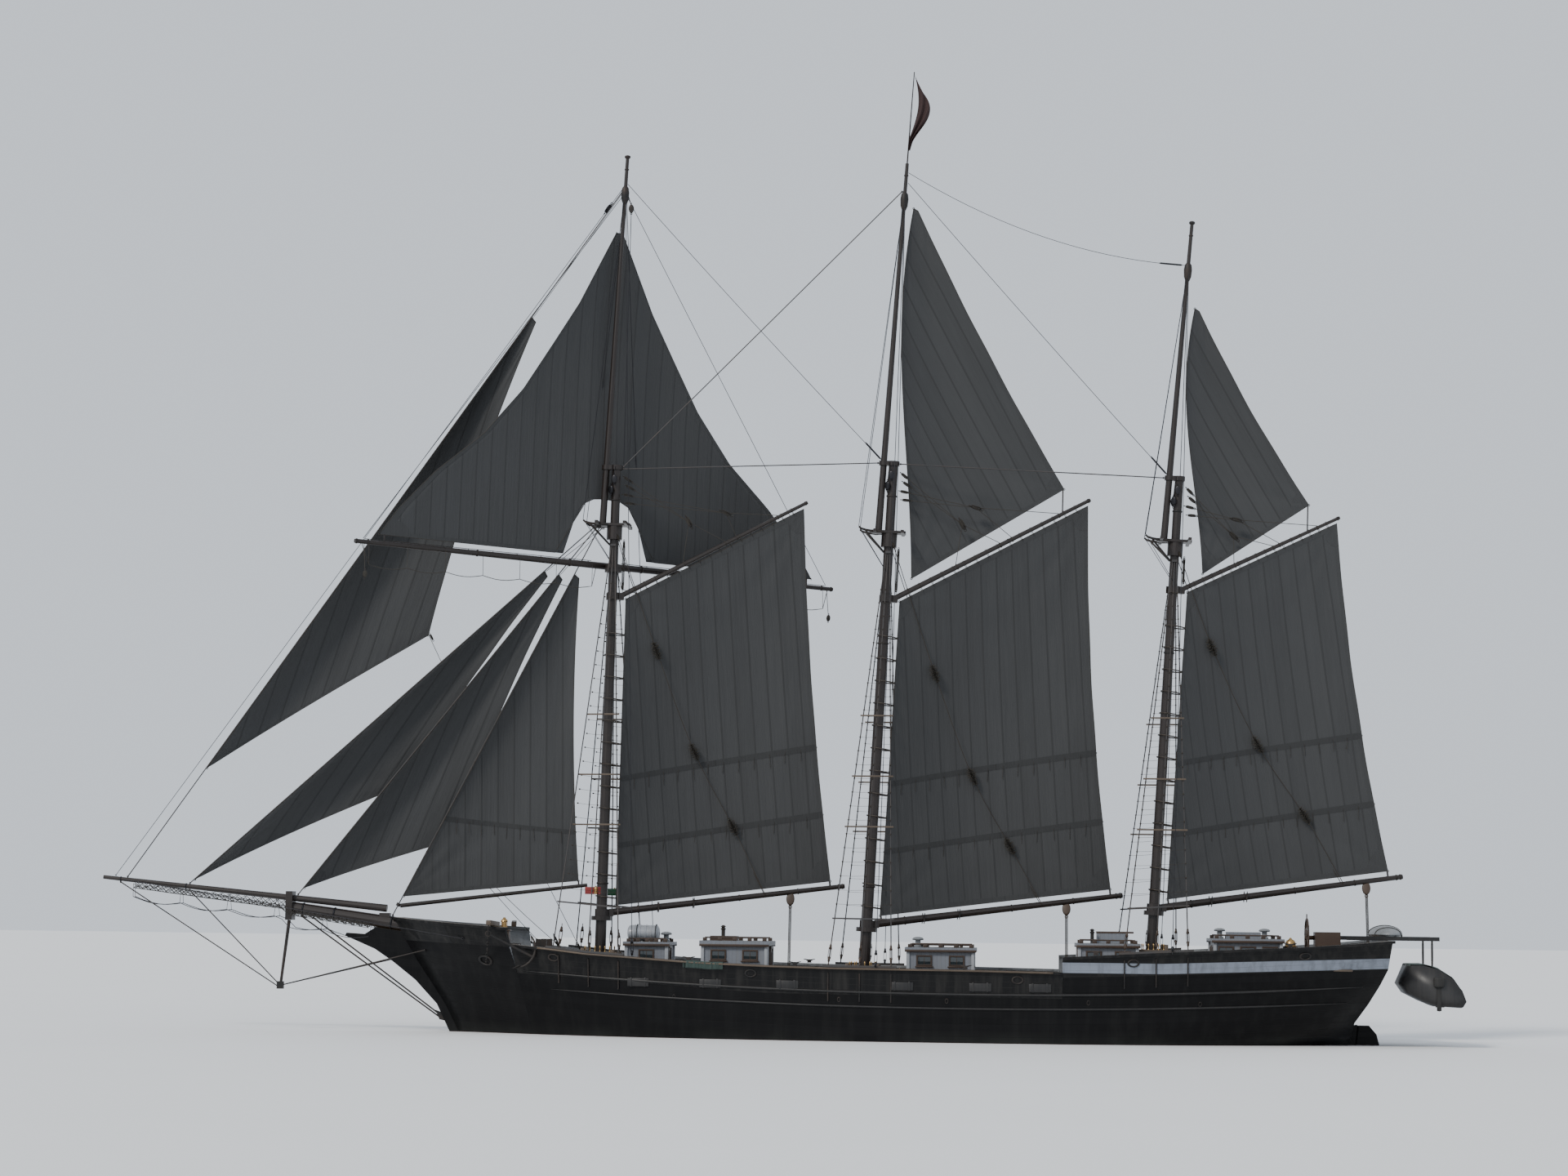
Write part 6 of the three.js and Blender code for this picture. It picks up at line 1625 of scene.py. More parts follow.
def make_gaff_rigging():
    """Throat and peak halyards, the bridles on each gaff, and the irons of the spars."""
    for rig, values in GAFF_RIGS.items():
        matrix, mast = mast_frame(rig, SWING), MASTS[rig]
        boom, gaff = Spar(*values["boom"]), Spar(*values["gaff"])
        lines = Bundle(f"{rig}_halyards", "hemp_rope", RIG_BODIES[rig])
        part = Bundle("part", "hemp_rope")
        throat_block = Vector((mast["head"] + 0.16, 0, mast["trees"] - 0.46))
        tackle(part, gaff.on(0.34, gaff.radius + 0.03), throat_block, 0.03, 1.2)
        reach = gaff.end.x - SPAR_START
        cap = Vector((mast["head"] + 0.12, 0.0, mast["cap"] - 0.10))
        for k, (block_r, block_h, *legs) in enumerate(PEAK_BLOCKS[rig]):
            block = Vector((block_r, -0.12, block_h))
            for t in legs:
                r = SPAR_START + reach * t
                part.line([block, gaff.on(r, gaff.radius_at(r) + 0.012)], 0.009, 6)
                part.add("band", placed(gaff.on(r), gaff.way, (gaff.radius_at(r) + 0.006,) * 2 + (0.35,)))
            middle = gaff.on(SPAR_START + reach * (legs[0] + legs[1]) / 2)
            part.add("block_small", placed(block, middle - block, 1.9))
            for turn in (0, 1):
                top = cap + Vector((0.06 * turn, -0.05 - 0.05 * turn, -0.24 - 0.50 * k - 0.25 * turn))
                way = block - top
                part.line([top, block - way.normalized() * 0.12], 0.009, 6)
                part.add("block_small", placed(top + way.normalized() * 0.10, way, 1.5))
        lines.add(part.as_mesh(), matrix)
        irons = Bundle(f"{rig}_spar_irons", "iron_black", RIG_BODIES[rig])
        for t in (0.12, 0.55, 0.80, 0.975):
            r = SPAR_START + (boom.end.x - SPAR_START) * t
            wide = boom.radius_at(r) + 0.006
            irons.add("band", matrix @ placed(boom.on(r), boom.way, (wide, wide, 0.4)))
        for spar in (boom, gaff):
            wide = spar.radius * (1 - SPAR_TAPER) + 0.006
            irons.add("band", matrix @ placed(spar.end - spar.way * 0.06, spar.way, (wide, wide, 0.5)))
        for r, side in ((1.6, 1), (1.6, -1), (2.6, 1), (2.6, -1)):
            place = boom.on(r) + Vector((0, side * (boom.radius_at(r) + 0.03), 0))
            irons.add("cleat", matrix @ placed(place, (0, side, 0), 0.9, UP))
        finish(lines, irons)


def make_sheets():
    """The sheet tackle of each boom, from the deck to the boom."""
    for rig, r in SHEET_PLACES.items():
        boom = Spar(*GAFF_RIGS[rig]["boom"])
        top = mast_frame(rig, SWING) @ boom.on(r, -boom.radius_at(r) - 0.02)
        low_z = deck(top.x, top.y * 0.6) if rig != "mizzen" else deck(min(top.x, 12.9), 0.0)
        low = Vector((top.x, top.y * 0.6, low_z + 0.10))
        way = (top - low).normalized()
        lines = Bundle(f"{rig}_sheet", "tarred_rope", None)
        for k in range(3):
            off = Vector((1, 0, 0)) * 0.028 * (k - 1)
            lines.line([low.lerp(top, t) + off for t in (0.08, 0.2, 0.35, 0.5, 0.65, 0.8, 0.92)], 0.012, 6)
        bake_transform(lines.finish(), "ship", RIG_BODIES[rig], tuple(low + way * 0.15), tuple(top - way * 0.15))
        low_gear = Bundle(f"{rig}_sheet_foot", "block_wood")
        low_gear.add("block_small", placed(low + way * 0.02, way, 1.7))
        low_gear.add("bitt", placed((low.x + 0.05, low.y, low_z - 0.02), UP, 0.55))
        high_gear = Bundle(f"{rig}_sheet_head", "block_wood", RIG_BODIES[rig])
        high_gear.add("block_small", placed(top - way * 0.10, way, 2.3))
        finish(low_gear, high_gear)


def yard_at(y, drop=0.0, back=0.0):
    return Vector((-YARD["offset"] + back, y, YARD["height"] + drop))


def yard_radius(y):
    return YARD["radius"] + abs(y) / YARD["half"] * (YARD["end_radius"] - YARD["radius"])


def make_yard_rigging():
    """Footropes with their stirrups, the jackstay, the pendants of the braces, and the lifts."""
    matrix = mast_frame("fore", YARD_SWING)
    part = Bundle("part", "hemp_rope")
    iron = Bundle("yard_irons", "iron_black", "yard_rig")
    spans = 6
    for side in (-1, 1):
        rope = [yard_at(side * 0.35, -0.05, 0.05)]
        for k in range(spans * 6 + 1):
            sag = 0.08 * math.sin(math.pi * ((k / 6) % 1.0))
            rope.append(yard_at(side * (0.5 + 7.1 * k / (spans * 6)), -0.62 - sag, 0.10))
        part.line([*rope, yard_at(side * 7.8, -0.05, 0.02)], 0.010, 6)
        for k in range(spans + 1):
            y = side * (0.5 + 7.1 * k / spans)
            part.line([yard_at(y, 0.0, yard_radius(y)), yard_at(y, -0.62, 0.10)], 0.007, 5)
        iron.line([matrix @ yard_at(side * y, yard_radius(y) + 0.02, 0.02) for y in (0.5, 2.0, 4.0, 6.0, 7.7)],
                  0.009, 6)
        for k in range(10):
            y = side * (0.6 + 7.0 * k / 9)
            iron.add("shackle", matrix @ placed(yard_at(y, yard_radius(y) + 0.008, 0.02), (0, 1, 0), 0.8))
        for y in (1.2, 4.2, 7.6, 7.95):
            wide = yard_radius(y) + 0.006
            iron.add("band", matrix @ placed(yard_at(side * y), (0, 1, 0), (wide, wide, 0.4)))
        arm = yard_at(side * 7.75, -0.05, 0.06)
        part.line([arm, arm + Vector((0.12, 0, -0.75))], 0.009, 6)
        part.add("block_small", placed(arm + Vector((0.13, 0, -0.85)), (0.1, 0, 1), 1.2))
    ropes = Bundle("yard_ropes", "hemp_rope", "yard_rig")
    ropes.add(part.as_mesh(), matrix)
    finish(ropes, iron)
    axis, wide = topmast_at("fore", 24.05)
    for side, word in SIDES:
        arm = matrix @ yard_at(side * 7.75, 0.09, 0.0)
        head = axis + (arm - axis).normalized() * (wide + 0.01)
        lift = Bundle(f"yard_lift_{word}", "wire_rope", None)
        lift.line([head.lerp(arm, t) for t in (0, 0.02, 0.04, 0.06, 0.08, 0.10, 0.13, 0.17, 0.22, 0.4, 0.7, 1.0)],
                  0.009, 6)
        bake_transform(lift.finish())


def make_jib_sheets():
    """The sheets of the jibs, from each clew to the rail, and the halyards at their heads."""
    sails = {name: plan["sail"] for name, plan in plan_sails().items()}
    sheets = Bundle("jib_sheets", "hemp_rope")
    for name, foot_x in (("flying_jib", -9.3), ("outer_jib", -10.4), ("inner_jib", -9.9)):
        clew = sails[name].clew
        rail = rail_top(foot_x, 1) + Vector((0, -0.12, 0.05))
        sheets.line(sagging(clew + Vector((0.02, 0, -0.01)), rail, 0.10), 0.009, 6)
        sheets.add("block_small", placed(clew + Vector((0.09, 0.01, -0.05)), rail - clew, 1.2))
        sheets.add("block_small", placed(rail, clew - rail, 1.2))
    top, _ = topmast_at("fore", 24.0)
    sheets.line([sails["flying_jib"].throat + Vector((0.05, 0, 0.03)), top - Vector((0.10, 0, 0))], 0.008, 6)
    for name in ("outer_jib", "inner_jib"):
        top = mast_frame("fore") @ Vector((-0.36, 0, MASTS["fore"]["trees"] - 0.14))
        sheets.line([sails[name].throat + Vector((0.05, 0, 0.02)), top], 0.008, 6)
    sheets.finish()


def make_pennant():
    """A long pennant that hangs along its staff at the main topmast's head."""
    (x0, z0), (x1, z1) = MASTS["main"]["heel"], MASTS["main"]["truck"]
    lean = Vector((x1 - x0, 0, z1 - z0)).normalized()
    hoist, fly = 0.85, 2.3
    top = Vector((x1, 0, z1)) + lean * 2.60

    def place(a, b):
        wide = hoist * (1 - 0.72 * b)
        fold = 0.05 * math.sin(9.0 * a * (1 + b) + 2.0 * b) * (0.25 + b)
        swing = 0.16 * math.sin(math.pi * min(1.0, 1.15 * b)) + 0.05 * math.sin(5 * b)
        side = a * wide * (0.30 + 0.35 * math.sin(math.pi * b))
        down = a * wide * 0.55 * (1 - b) + b * fly * 0.96
        return top + Vector((0.024 + side * 0.9 + swing * 0.8, fold + side * 0.15, 0)) - lean * down
    piece, area = cloth_piece("pennant", place, lambda a, b: (a * hoist, b * fly), (24, 40), 0.003, "pennant_cloth",
                              "ship")
    min(area, hoist * fly)


# The hull's outside

def make_mouldings():
    """The rub rails and mouldings along the topsides, and the worn edge of the cap rail."""
    wales, edge = Bundle("rub_rails", "black_enamel"), Bundle("rail_edge", "rail_wood", slot="varnished_wood")
    for side in (-1, 1):
        for low, high, first, last, thick in ((0.92, 0.0026, -9.5, 12.2, 0.030), (1.30, 0.0030, -10.3, 12.6, 0.038)):
            points = []
            for k in range(61):
                x = first + (last - first) * k / 60
                place, normal = outside(x, low + high * (x - 2) ** 2, side)
                points.append(place + normal * 0.006)
            wales.line(points, thick, 6, radii=[thick * min(1.0, 0.25 + 6 * min(k, 60 - k) / 60) for k in range(61)])
        points = []
        for k in range(71):
            x = -9.85 + 14.1 * k / 70
            place, normal = outside(x, rail_top(x, side).z - 0.035, side)
            points.append(place + normal * 0.010 + raised(0.004))
        edge.line(points, 0.026, 6)
    finish(wales, edge)


def make_ports():
    """Freeing ports with their hinged lids, fairleads in the bulwarks, hawse pipes and scuppers."""
    lids, irons = Bundle("freeing_ports", "black_enamel"), Bundle("fairleads", "iron_black")
    lid = joined(boxed((-0.30, -0.014, -0.11), (0.30, 0.014, 0.11)),
                 boxed((-0.22, -0.024, -0.12), (-0.17, 0.024, 0.13), 0.008),
                 boxed((0.17, -0.024, -0.12), (0.22, 0.024, 0.13), 0.008))
    for side in (-1, 1):
        for x in (-7.0, -5.0, -2.9, 0.2, 2.3, 3.9):
            place, normal = outside(x, 1.50, side)
            lids.add(lid, on_wall(place + normal * 0.012, (normal.x, normal.y, 0)))
        leads = [(x, rail_top(x, side).z - 0.24, 0.008, 1.0, (1, 0, 0)) for x in (-9.4, -3.9, 3.3, 6.4, 11.0)]
        leads.append((-11.4, 2.02, 0.010, 1.35, (1, 0, 0)))
        leads += [(x, 1.12, 0.006, 0.42, UP) for x in (-6.0, -1.5, 1.4, 5.2, 8.2)]
        for x, z, out, size, up in leads:
            place, normal = outside(x, z, side)
            irons.add("lead", placed(place + normal * out, normal, size, up))
    finish(lids, irons)


def add_chain(bundle, link, places, ways, ups):
    """Links of a chain, each turned a quarter from the one before."""
    for k, (at, way) in enumerate(zip(places, ways)):
        bundle.add(link, placed(at, way, 1.0, ups[k % 2]) @ ACROSS)


def make_anchors():
    """An anchor on each bow, hung from its cathead, with its chain into the hawse pipe."""
    iron, timber = Bundle("anchors", "iron_black"), Bundle("catheads", "rail_wood")
    count = 9
    for side in (-1, 1):
        rail = rail_top(-11.1, side)
        foot, head = rail + Vector((0.0, -side * 0.45, 0.06)), rail + Vector((-0.12, side * 0.42, 0.10))
        timber.add(bar(0.07, 0.07, 0.0, (head - foot).length, 0.015), placed(foot, head - foot))
        crown = Vector((-9.75, side * 0.10 + outside(-9.75, 1.95, side)[0].y, 2.02))
        ring = head - raised(0.30)
        way = (ring - crown).normalized()
        iron.add("anchor", placed(ring - way * 1.40, way, 0.86))
        iron.line([head - raised(0.06), ring], 0.014, 6)
        pipe, _ = outside(-11.4, 2.02, side)

        def hanging(t, ring=ring, pipe=pipe):
            return ring.lerp(pipe, t) - raised(0.30 * math.sin(math.pi * t))
        steps = [(k + 0.5) / count for k in range(count)]
        add_chain(iron, "chain_link", map(hanging, steps), [hanging(t + 0.02) - hanging(t) for t in steps],
                  ((1, 0, 0.3), (0, 1, 0)))
    finish(iron, timber)


def make_stern_gear():
    """The rudder's irons, and the zinc plates near the screw."""
    irons, zincs = Bundle("rudder_irons", "bronze", "rudder"), Bundle("zinc_plates", "galvanised")
    low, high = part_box("rudder")
    for t in (0.12, 0.42, 0.72):
        z = low[2] + (min(high[2], 0.6) - low[2]) * t
        strap = boxed((0, -0.075, -0.045), (0.55, 0.075, 0.045), 0.012)
        x = surface("rudder").ray_cast(Vector((8, 0, z)), Vector((1, 0, 0)))[0].x
        irons.add(strap, move(x + 0.10, 0, z))
        for k in range(3):
            for side in (-1, 1):
                irons.add("bolt", placed((x + 0.22 + 0.15 * k, side * 0.073, z), (0, side, 0), 1.2))
    plate = boxed((-0.16, -0.015, -0.05), (0.16, 0.02, 0.05), 0.012)
    for side in (-1, 1):
        for x in (9.2, 9.9):
            place, normal = outside(x, -0.9, side)
            zincs.add(plate, placed(place + normal * 0.01, UP, 1.0, (normal.y * side, -normal.x * side, 0)))
    finish(irons, zincs)


# Deckhouses and what stands on them

def make_house_trim():
    """Corner posts, plinths, roof edges and handrails on each house."""
    trim, rails = Bundle("house_trim", "white_enamel"), Bundle("roof_handrails", "teak")
    steps = 12
    for x0, x1, half, top, roof in HOUSES.values():
        for x, y in ((x0, -half), (x0, half), (x1, -half), (x1, half)):
            foot = deck(x + (0.15 if x == x1 else -0.15), y)
            trim.add(bar(0.045, 0.045, foot - 0.01, top - roof), move(x, y))
        middle, eaves = (x0 + x1) / 2, top - roof
        for side in (-1, 1):
            foot = max(deck(x0, side * (half + 0.1)), deck(x1, side * (half + 0.1)))
            for bundle, out, low, high, edge in (
                    (trim, 0.0, (x0, -0.02, foot - 0.02), (x1, 0.035, foot + 0.10), 0.010),
                    (rails, ROOF_LIP, (x0 - ROOF_LIP, -0.012, eaves - 0.035), (x1 + ROOF_LIP, 0.018, eaves + 0.03),
                     0.008)):
                wall = on_wall((middle, side * (half + out), 0), (0, side, 0))
                bundle.add(boxed(low, high, edge), wall @ move(-middle))
            inner = side * (half - 0.12)
            points = []
            for k in range(steps + 1):
                x = x0 + 0.05 + (x1 - x0 - 0.10) * k / steps
                points.append((x, inner, under(HOUSE_TOPS, x, inner) + 0.09))
            rails.line(points, 0.020, 8)
            for point in points[::3]:
                rails.add(bar(0.06, 0.016, -0.10, 0.0, 0.008), move(*point))
    finish(trim, rails)


WINDOWS = {"fore_deckhouse": 1, "galley_deckhouse": 2, "midship_deckhouse": 2, "aft_deckhouse": 2, "stern_cabin": 3}
DOORS = {("fore_deckhouse", 1): -0.35, ("galley_deckhouse", 1): 0.45, ("midship_deckhouse", -1): 0.0,
         ("aft_deckhouse", -1): -0.4, ("stern_cabin", 1): -0.5}


def make_windows_and_doors():
    """A window's frame and pane for each opening, and a door in one end of each house."""
    frames, panes = Bundle("window_frames", "teak"), Bundle("window_panes", "pane_glass")
    doors = Bundle("doors", "teak")

    def add_window(x, y, z, way):
        for shape, bundle, out in (("window", frames, 0.005), ("pane", panes, 0.004)):
            bundle.add(shape, on_wall((x + way[0] * out, y + way[1] * out, z), way))
    for house, count in WINDOWS.items():
        x0, x1, half, top, roof = HOUSES[house]
        z = top - roof - 0.27
        for side in (-1, 1):
            for k in range(count):
                add_window(x0 + (x1 - x0) * (k + 0.5) / count, side * half, z, (0, side, 0))
        for end, x in ((-1, x0), (1, x1)):
            for y in (-0.5, 0.5) if (house, end) not in DOORS else ():
                add_window(x, y, z, (end, 0, 0))
    for (house, end), y in DOORS.items():
        x0, x1, _, top, roof = HOUSES[house]
        x = x1 if end > 0 else x0
        foot = deck(x + end * 0.12, y)
        height = (top - roof - foot - 0.03) / 1.34
        doors.add("door", on_wall((x + end * 0.004, y, foot + 0.01), (end, 0, 0), (1.0, 1.0, height)))
    finish(frames, panes, doors)


def skylight_shape(length, width, rise):
    """A pitched skylight with two sunk leaves."""
    start_box((length, width, rise), (0, 0, rise / 2))
    bpy.ops.mesh.bisect(plane_co=(0, 0, 0), plane_no=(0, 1, 0))
    pick(lambda c, d: abs(c.y) < 0.001 and abs(c.z - rise) < 0.001 and abs(d.x) > 0.5 * length, "edges")
    bpy.ops.transform.translate(value=(0, 0, rise * 0.55))
    bpy.ops.mesh.select_all(action="SELECT")
    bpy.ops.mesh.normals_make_consistent(inside=False)
    pick(lambda c, n: n.z > 0.3)
    sink_panels(0.045)
    return closed()


def make_roof_gear():
    """Skylights, chimneys, vents, the lattice, and the raft in its canister on the roofs."""
    wood, iron, vents, rafts = (Bundle(*names) for names in (
        ("skylights", "teak"), ("chimneys", "iron_black"), ("vents", "grey_enamel"),
        ("raft_canisters", "white_enamel")))
    straps = Bundle("raft_straps", "rubber_black", slot="wire_rope")

    def on_roof(x, y=0.0, z=0.0):
        return Vector((x, y, under(HOUSE_TOPS, x, y))) + raised(z)
    for x, size in ((6.0, (1.02, 0.86, 0.05)), (-4.9, (0.75, 0.70, 0.14))):
        wood.add(skylight_shape(*size), move(on_roof(x, 0.0, -0.01)))
    for x, y, size in ((5.36, -0.62, 0.92), (-5.0, 0.72, 1.0)):
        iron.add("chimney", placed(on_roof(x, y, 0.05), UP, (size, size, size * 0.95)))
    for x, y in ((-6.6, 0.55), (0.55, -0.7), (8.95, 0.75), (10.2, 0.8)):
        vents.add("mushroom_vent", move(on_roof(x, y, -0.01)))
    rafts.add("canister", move(on_roof(-7.18, 0.0, 0.24)) @ sized(0.80, 1, 0.72))
    cradle = bar(0.06, 0.34, -0.02, 0.10, 0.02)
    for x in (-7.45, -6.92):
        wood.add(cradle, move(on_roof(x)))
        path = [on_roof(x) + Vector((0.10, 0.345 * math.cos(a), 0.24 + 0.245 * math.sin(a)))
                for a in (math.pi * k / 20 for k in range(21))]
        straps.line([path[0] - raised(0.22), *path, path[-1] - raised(0.22)], 0.012, 6)
    slat, bearer = bar(0.80, 0.035, 0.0, 0.045, 0.008), bar(0.04, 0.62, 0.0, 0.06)
    base = max(on_roof(1.2, y).z for y in (-0.5, 0.0, 0.5)) + 0.05
    for x in (0.62, 1.18, 1.74):
        wood.add(bearer, move(x, 0, base - 0.06))
    for k in range(9):
        wood.add(slat, move(1.18, -0.56 + 0.14 * k, base))
    finish(wood, iron, vents, rafts, straps)


# Deck gear

def make_pin_rails():
    """Pin rails inside the shrouds and fife rails round the masts, with their pins and coils."""
    rails, pins = Bundle("pin_rails", "rail_wood"), Bundle("belaying_pins", "bronze")
    coils = Bundle("rope_coils", "hemp_rope")
    chance = random.Random(23)

    def hang_coil(centre, radius, rope, normal, top, stretch):
        turns = coil(centre, radius, rope, 5, normal, 12)
        coils.line([Vector((p.x, p.y, top - (top - p.z) * stretch)) for p in turns], rope, 5)
    for mast in MASTS.values():
        base = mast["foot"] + mast["rake"] * SHROUD_BASE_HEIGHT
        for side in (-1, 1):
            path = [rail_top(base - 1.0 + 2.5 * k / 10, side) + Vector((0, -side * 0.31, -0.26)) for k in range(11)]
            for a, b in zip(path, path[1:]):
                board = boxed((0, -0.06, -0.022), ((b - a).length + 0.002, 0.06, 0.022), 0.006)
                rails.add(board, move(a) @ Matrix.Rotation(math.atan2(b.y - a.y, b.x - a.x), 4, "Z"))
            for a in path[::2]:
                rails.add(bar(0.03, 0.08, -0.12, 0.0), move(a + Vector((0, side * 0.05, 0))))
            for k, place in enumerate(path[:-1]):
                pins.add("pin", move(place + Vector((0.12, 0, 0.02))))
                if k % 2 == 0:
                    hang_coil(place + Vector((0.12, -side * 0.05, -0.16)), chance.uniform(0.10, 0.13), 0.010,
                              (0, -side, 0.15), place.z - 0.05, 1.45)
        level = deck(mast["foot"] - 0.4, 0.0)
        centre = mast["foot"] + mast["rake"] * level
        top = level + 0.66
        for y in (-0.52, 0.52):
            for x in (-0.42, 0.42):
                rails.add(bar(0.055, 0.055, -0.02, 0.80, 0.012), move(centre + x, y, deck(centre + x, y)))
            rails.add(bar(0.55, 0.06, -0.03, 0.03, 0.012), move(centre, y, top))
            for k in range(6):
                x = centre - 0.42 + 0.14 * k + 0.07
                pins.add("pin", move(x, y, top + 0.03))
                if k % 2:
                    hang_coil((x, y * 1.14, top - 0.16), 0.12, 0.011, (0, math.copysign(1, y), 0.1), top, 1.4)
        rails.add(bar(0.06, 0.60, -0.03, 0.03, 0.012), move(centre - 0.42, 0, level + 0.725))
    finish(rails, pins, coils)


def make_mooring_gear():
    """Bitts, cleats, coils of rope on the deck, and the boxes by the rails."""
    bitts, cleats, coils, boxes = (Bundle(*names) for names in (
        ("bitts", "rail_wood"), ("cleats", "iron_black"), ("deck_coils", "hemp_rope"), ("deck_boxes", "teak")))
    for side in (-1, 1):
        for x, inset in ((-9.3, 0.55), (3.5, 0.45), (7.3, 0.5), (12.0, 0.45)):
            y = rail_top(x, side).y - side * inset
            bitts.add("bitt", move(x, y, deck(x, y)) @ sized(0.9, 0.9, 0.85))
        for x in (-5.6, -2.7, 1.9, 5.4, 10.6):
            cleats.add("cleat", move(rail_top(x, side) + Vector((0, -side * 0.12, 0.085))))
        for x, y in ((-10.3, 0.85), (3.0, 1.5), (7.9, 1.2), (12.2, 0.9)):
            coils.line(coil((x, side * y, deck(x, side * y)), 0.24, 0.016, 9, UP, 16), 0.016, 5)
    for x, y, long, wide, high in ((-2.8, 1.35, 0.42, 0.22, 0.40), (3.1, -0.9, 0.35, 0.25, 0.42),
                                   (7.7, -0.9, 0.40, 0.24, 0.36), (11.05, 0.95, 0.20, 0.32, 0.62),
                                   (-8.9, -0.9, 0.30, 0.22, 0.40)):
        body = bar(long, wide, -0.01, high - 0.03, 0.012)
        lid = bar(long + 0.02, wide + 0.02, high - 0.03, high + 0.01, 0.012)
        boxes.add(joined(body, lid), move(x, y, deck(x, y)))
    finish(bitts, cleats, coils, boxes)


def make_forecastle_gear():
    """The lantern box at the bow, the chain on the deck, the bell on its post and the side lights."""
    boxes, lamps = Bundle("lantern_box", "teak"), Bundle("lanterns", "bronze")
    irons = Bundle("chain_on_deck", "iron_black")
    z = deck(-11.2, 0.35)
    boxes.add(joined(bar(0.16, 0.16, -0.01, 0.40, 0.012), bar(0.19, 0.19, 0.40, 0.44, 0.012)), move(-11.2, 0.35, z))
    lamps.add("lamp", move(-11.2, 0.35, z + 0.43) @ sized(1.3, 1.3, 1.3))
    for side in (-1, 1):
        first, last = Vector((-10.75, side * 0.28, 0)), Vector((-11.55, side * 0.62, 0))
        places = [first.lerp(last, k / 10) for k in range(11)]
        for at in places:
            at.z = deck(at.x, at.y) + 0.05
        add_chain(irons, "small_link", places, [last - first] * 11, ((0, 1, 0), UP))
    for (side, word), paint in zip(SIDES, ("port_red", "starboard_green")):
        board = Bundle(f"side_light_{word}", paint)
        low, high = shroud_lines("fore", side)[1]
        place = low.lerp(high, 0.145) + Vector((0, -side * 0.10, 0))
        board.add(bar(0.22, 0.012, -0.10, 0.10, 0.006), move(place))
        board.add(boxed((0.18, 0.0, -0.10), (0.20, 0.15, 0.10), 0.006), move(place) @ sized(1, side, 1))
        board.finish()
        lamps.add("lamp", move(place + Vector((0.09, side * 0.08, -0.09))) @ sized(0.75, 0.75, 0.8))
    post = turned([(0.035, 0.0), (0.03, 0.55), (0.045, 0.60)], 10)
    bell = turned([(0.085, 0.0), (0.078, 0.02), (0.055, 0.09), (0.045, 0.13), (0.018, 0.155)], 16)
    foot = deck(-9.72, 0.0)
    boxes.add(post, move(-9.72, 0.0, foot - 0.01))
    lamps.add(bell, move(-9.60, 0.0, foot + 0.36))
    irons.line([(-9.72, 0, foot + 0.56), (-9.60, 0, foot + 0.56), (-9.60, 0, foot + 0.50)], 0.010, 6)
    finish(boxes, lamps, irons)


def make_helm_gear():
    """The binnacle, and the grating that the helm stands on."""
    wood, brass = Bundle("binnacle", "teak"), Bundle("binnacle_hood", "bronze")
    z = deck(10.85, 0.0)
    start("cylinder", vertices=8, radius=0.20, depth=0.66, location=(0, 0, 0.33))
    cut(0.08)
    bpy.ops.mesh.select_all(action="SELECT")
    cut(0.58)
    pick(lambda c, n: abs(n.z) < 0.1 and 0.1 < c.z < 0.56)
    sink_panels(0.022)
    pick(lambda c, n: n.z > 0.9 and c.z > 0.6)
    resize((0.85, 0.85, 1), (0, 0, 0.66))
    wood.add(closed(), move(10.85, 0, z))
    hood = turned([(0.165, 0.0), (0.170, 0.03), (0.150, 0.05), (0.148, 0.11), (0.110, 0.18), (0.045, 0.22),
                   (0.02, 0.26)], 18)
    brass.add(hood, move(10.85, 0, z + 0.65))
    slat, cross = bar(0.42, 0.022, 0.0, 0.035, 0.006), bar(0.02, 0.80, 0.0, 0.03, 0.006)
    floor = max(deck(11.3, y) for y in (-0.7, 0.0, 0.7)) + 0.005
    for k in range(15):
        wood.add(slat, move(11.32, -0.77 + 0.11 * k, floor))
    for x in (10.96, 11.32, 11.68):
        wood.add(cross, move(x, 0, floor - 0.012))
    finish(wood, brass)


def make_raft():
    """The covered raft that lies across the davits, with its lashings."""
    raft, lashing = Bundle("stern_raft", "grey_enamel"), Bundle("raft_lashings", "hemp_rope")
    x, z = 13.44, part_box("davits")[1].z
    start("uv_sphere", segments=28, ring_count=14, radius=1.0)
    cut(0.0, clear_inner=True, use_fill=True)
    bpy.ops.mesh.select_all(action="SELECT")
    resize((0.46, 1.12, 0.25))
    pick(lambda c, n: n.z < -0.9)
    bpy.ops.mesh.inset(thickness=0.02)
    extrude((0, 0, -0.05), (0.92, 0.95, 1), (0, 0, -0.05))
    bevelled(0.006, 1)
    raft.add(closed(50), move(x, 0, z + 0.048))
    for y in (-0.72, 0.0, 0.72):
        wide = math.sqrt(1 - (y / 1.12) ** 2)
        points = [(x + 0.47 * wide * math.cos(a), y, z + 0.05 + 0.258 * wide * math.sin(a))
                  for a in (math.pi * k / 20 for k in range(21))]
        lashing.line([(points[0][0], y, z - 0.02), *points, (points[-1][0], y, z - 0.02)], 0.011, 6)
    finish(raft, lashing)


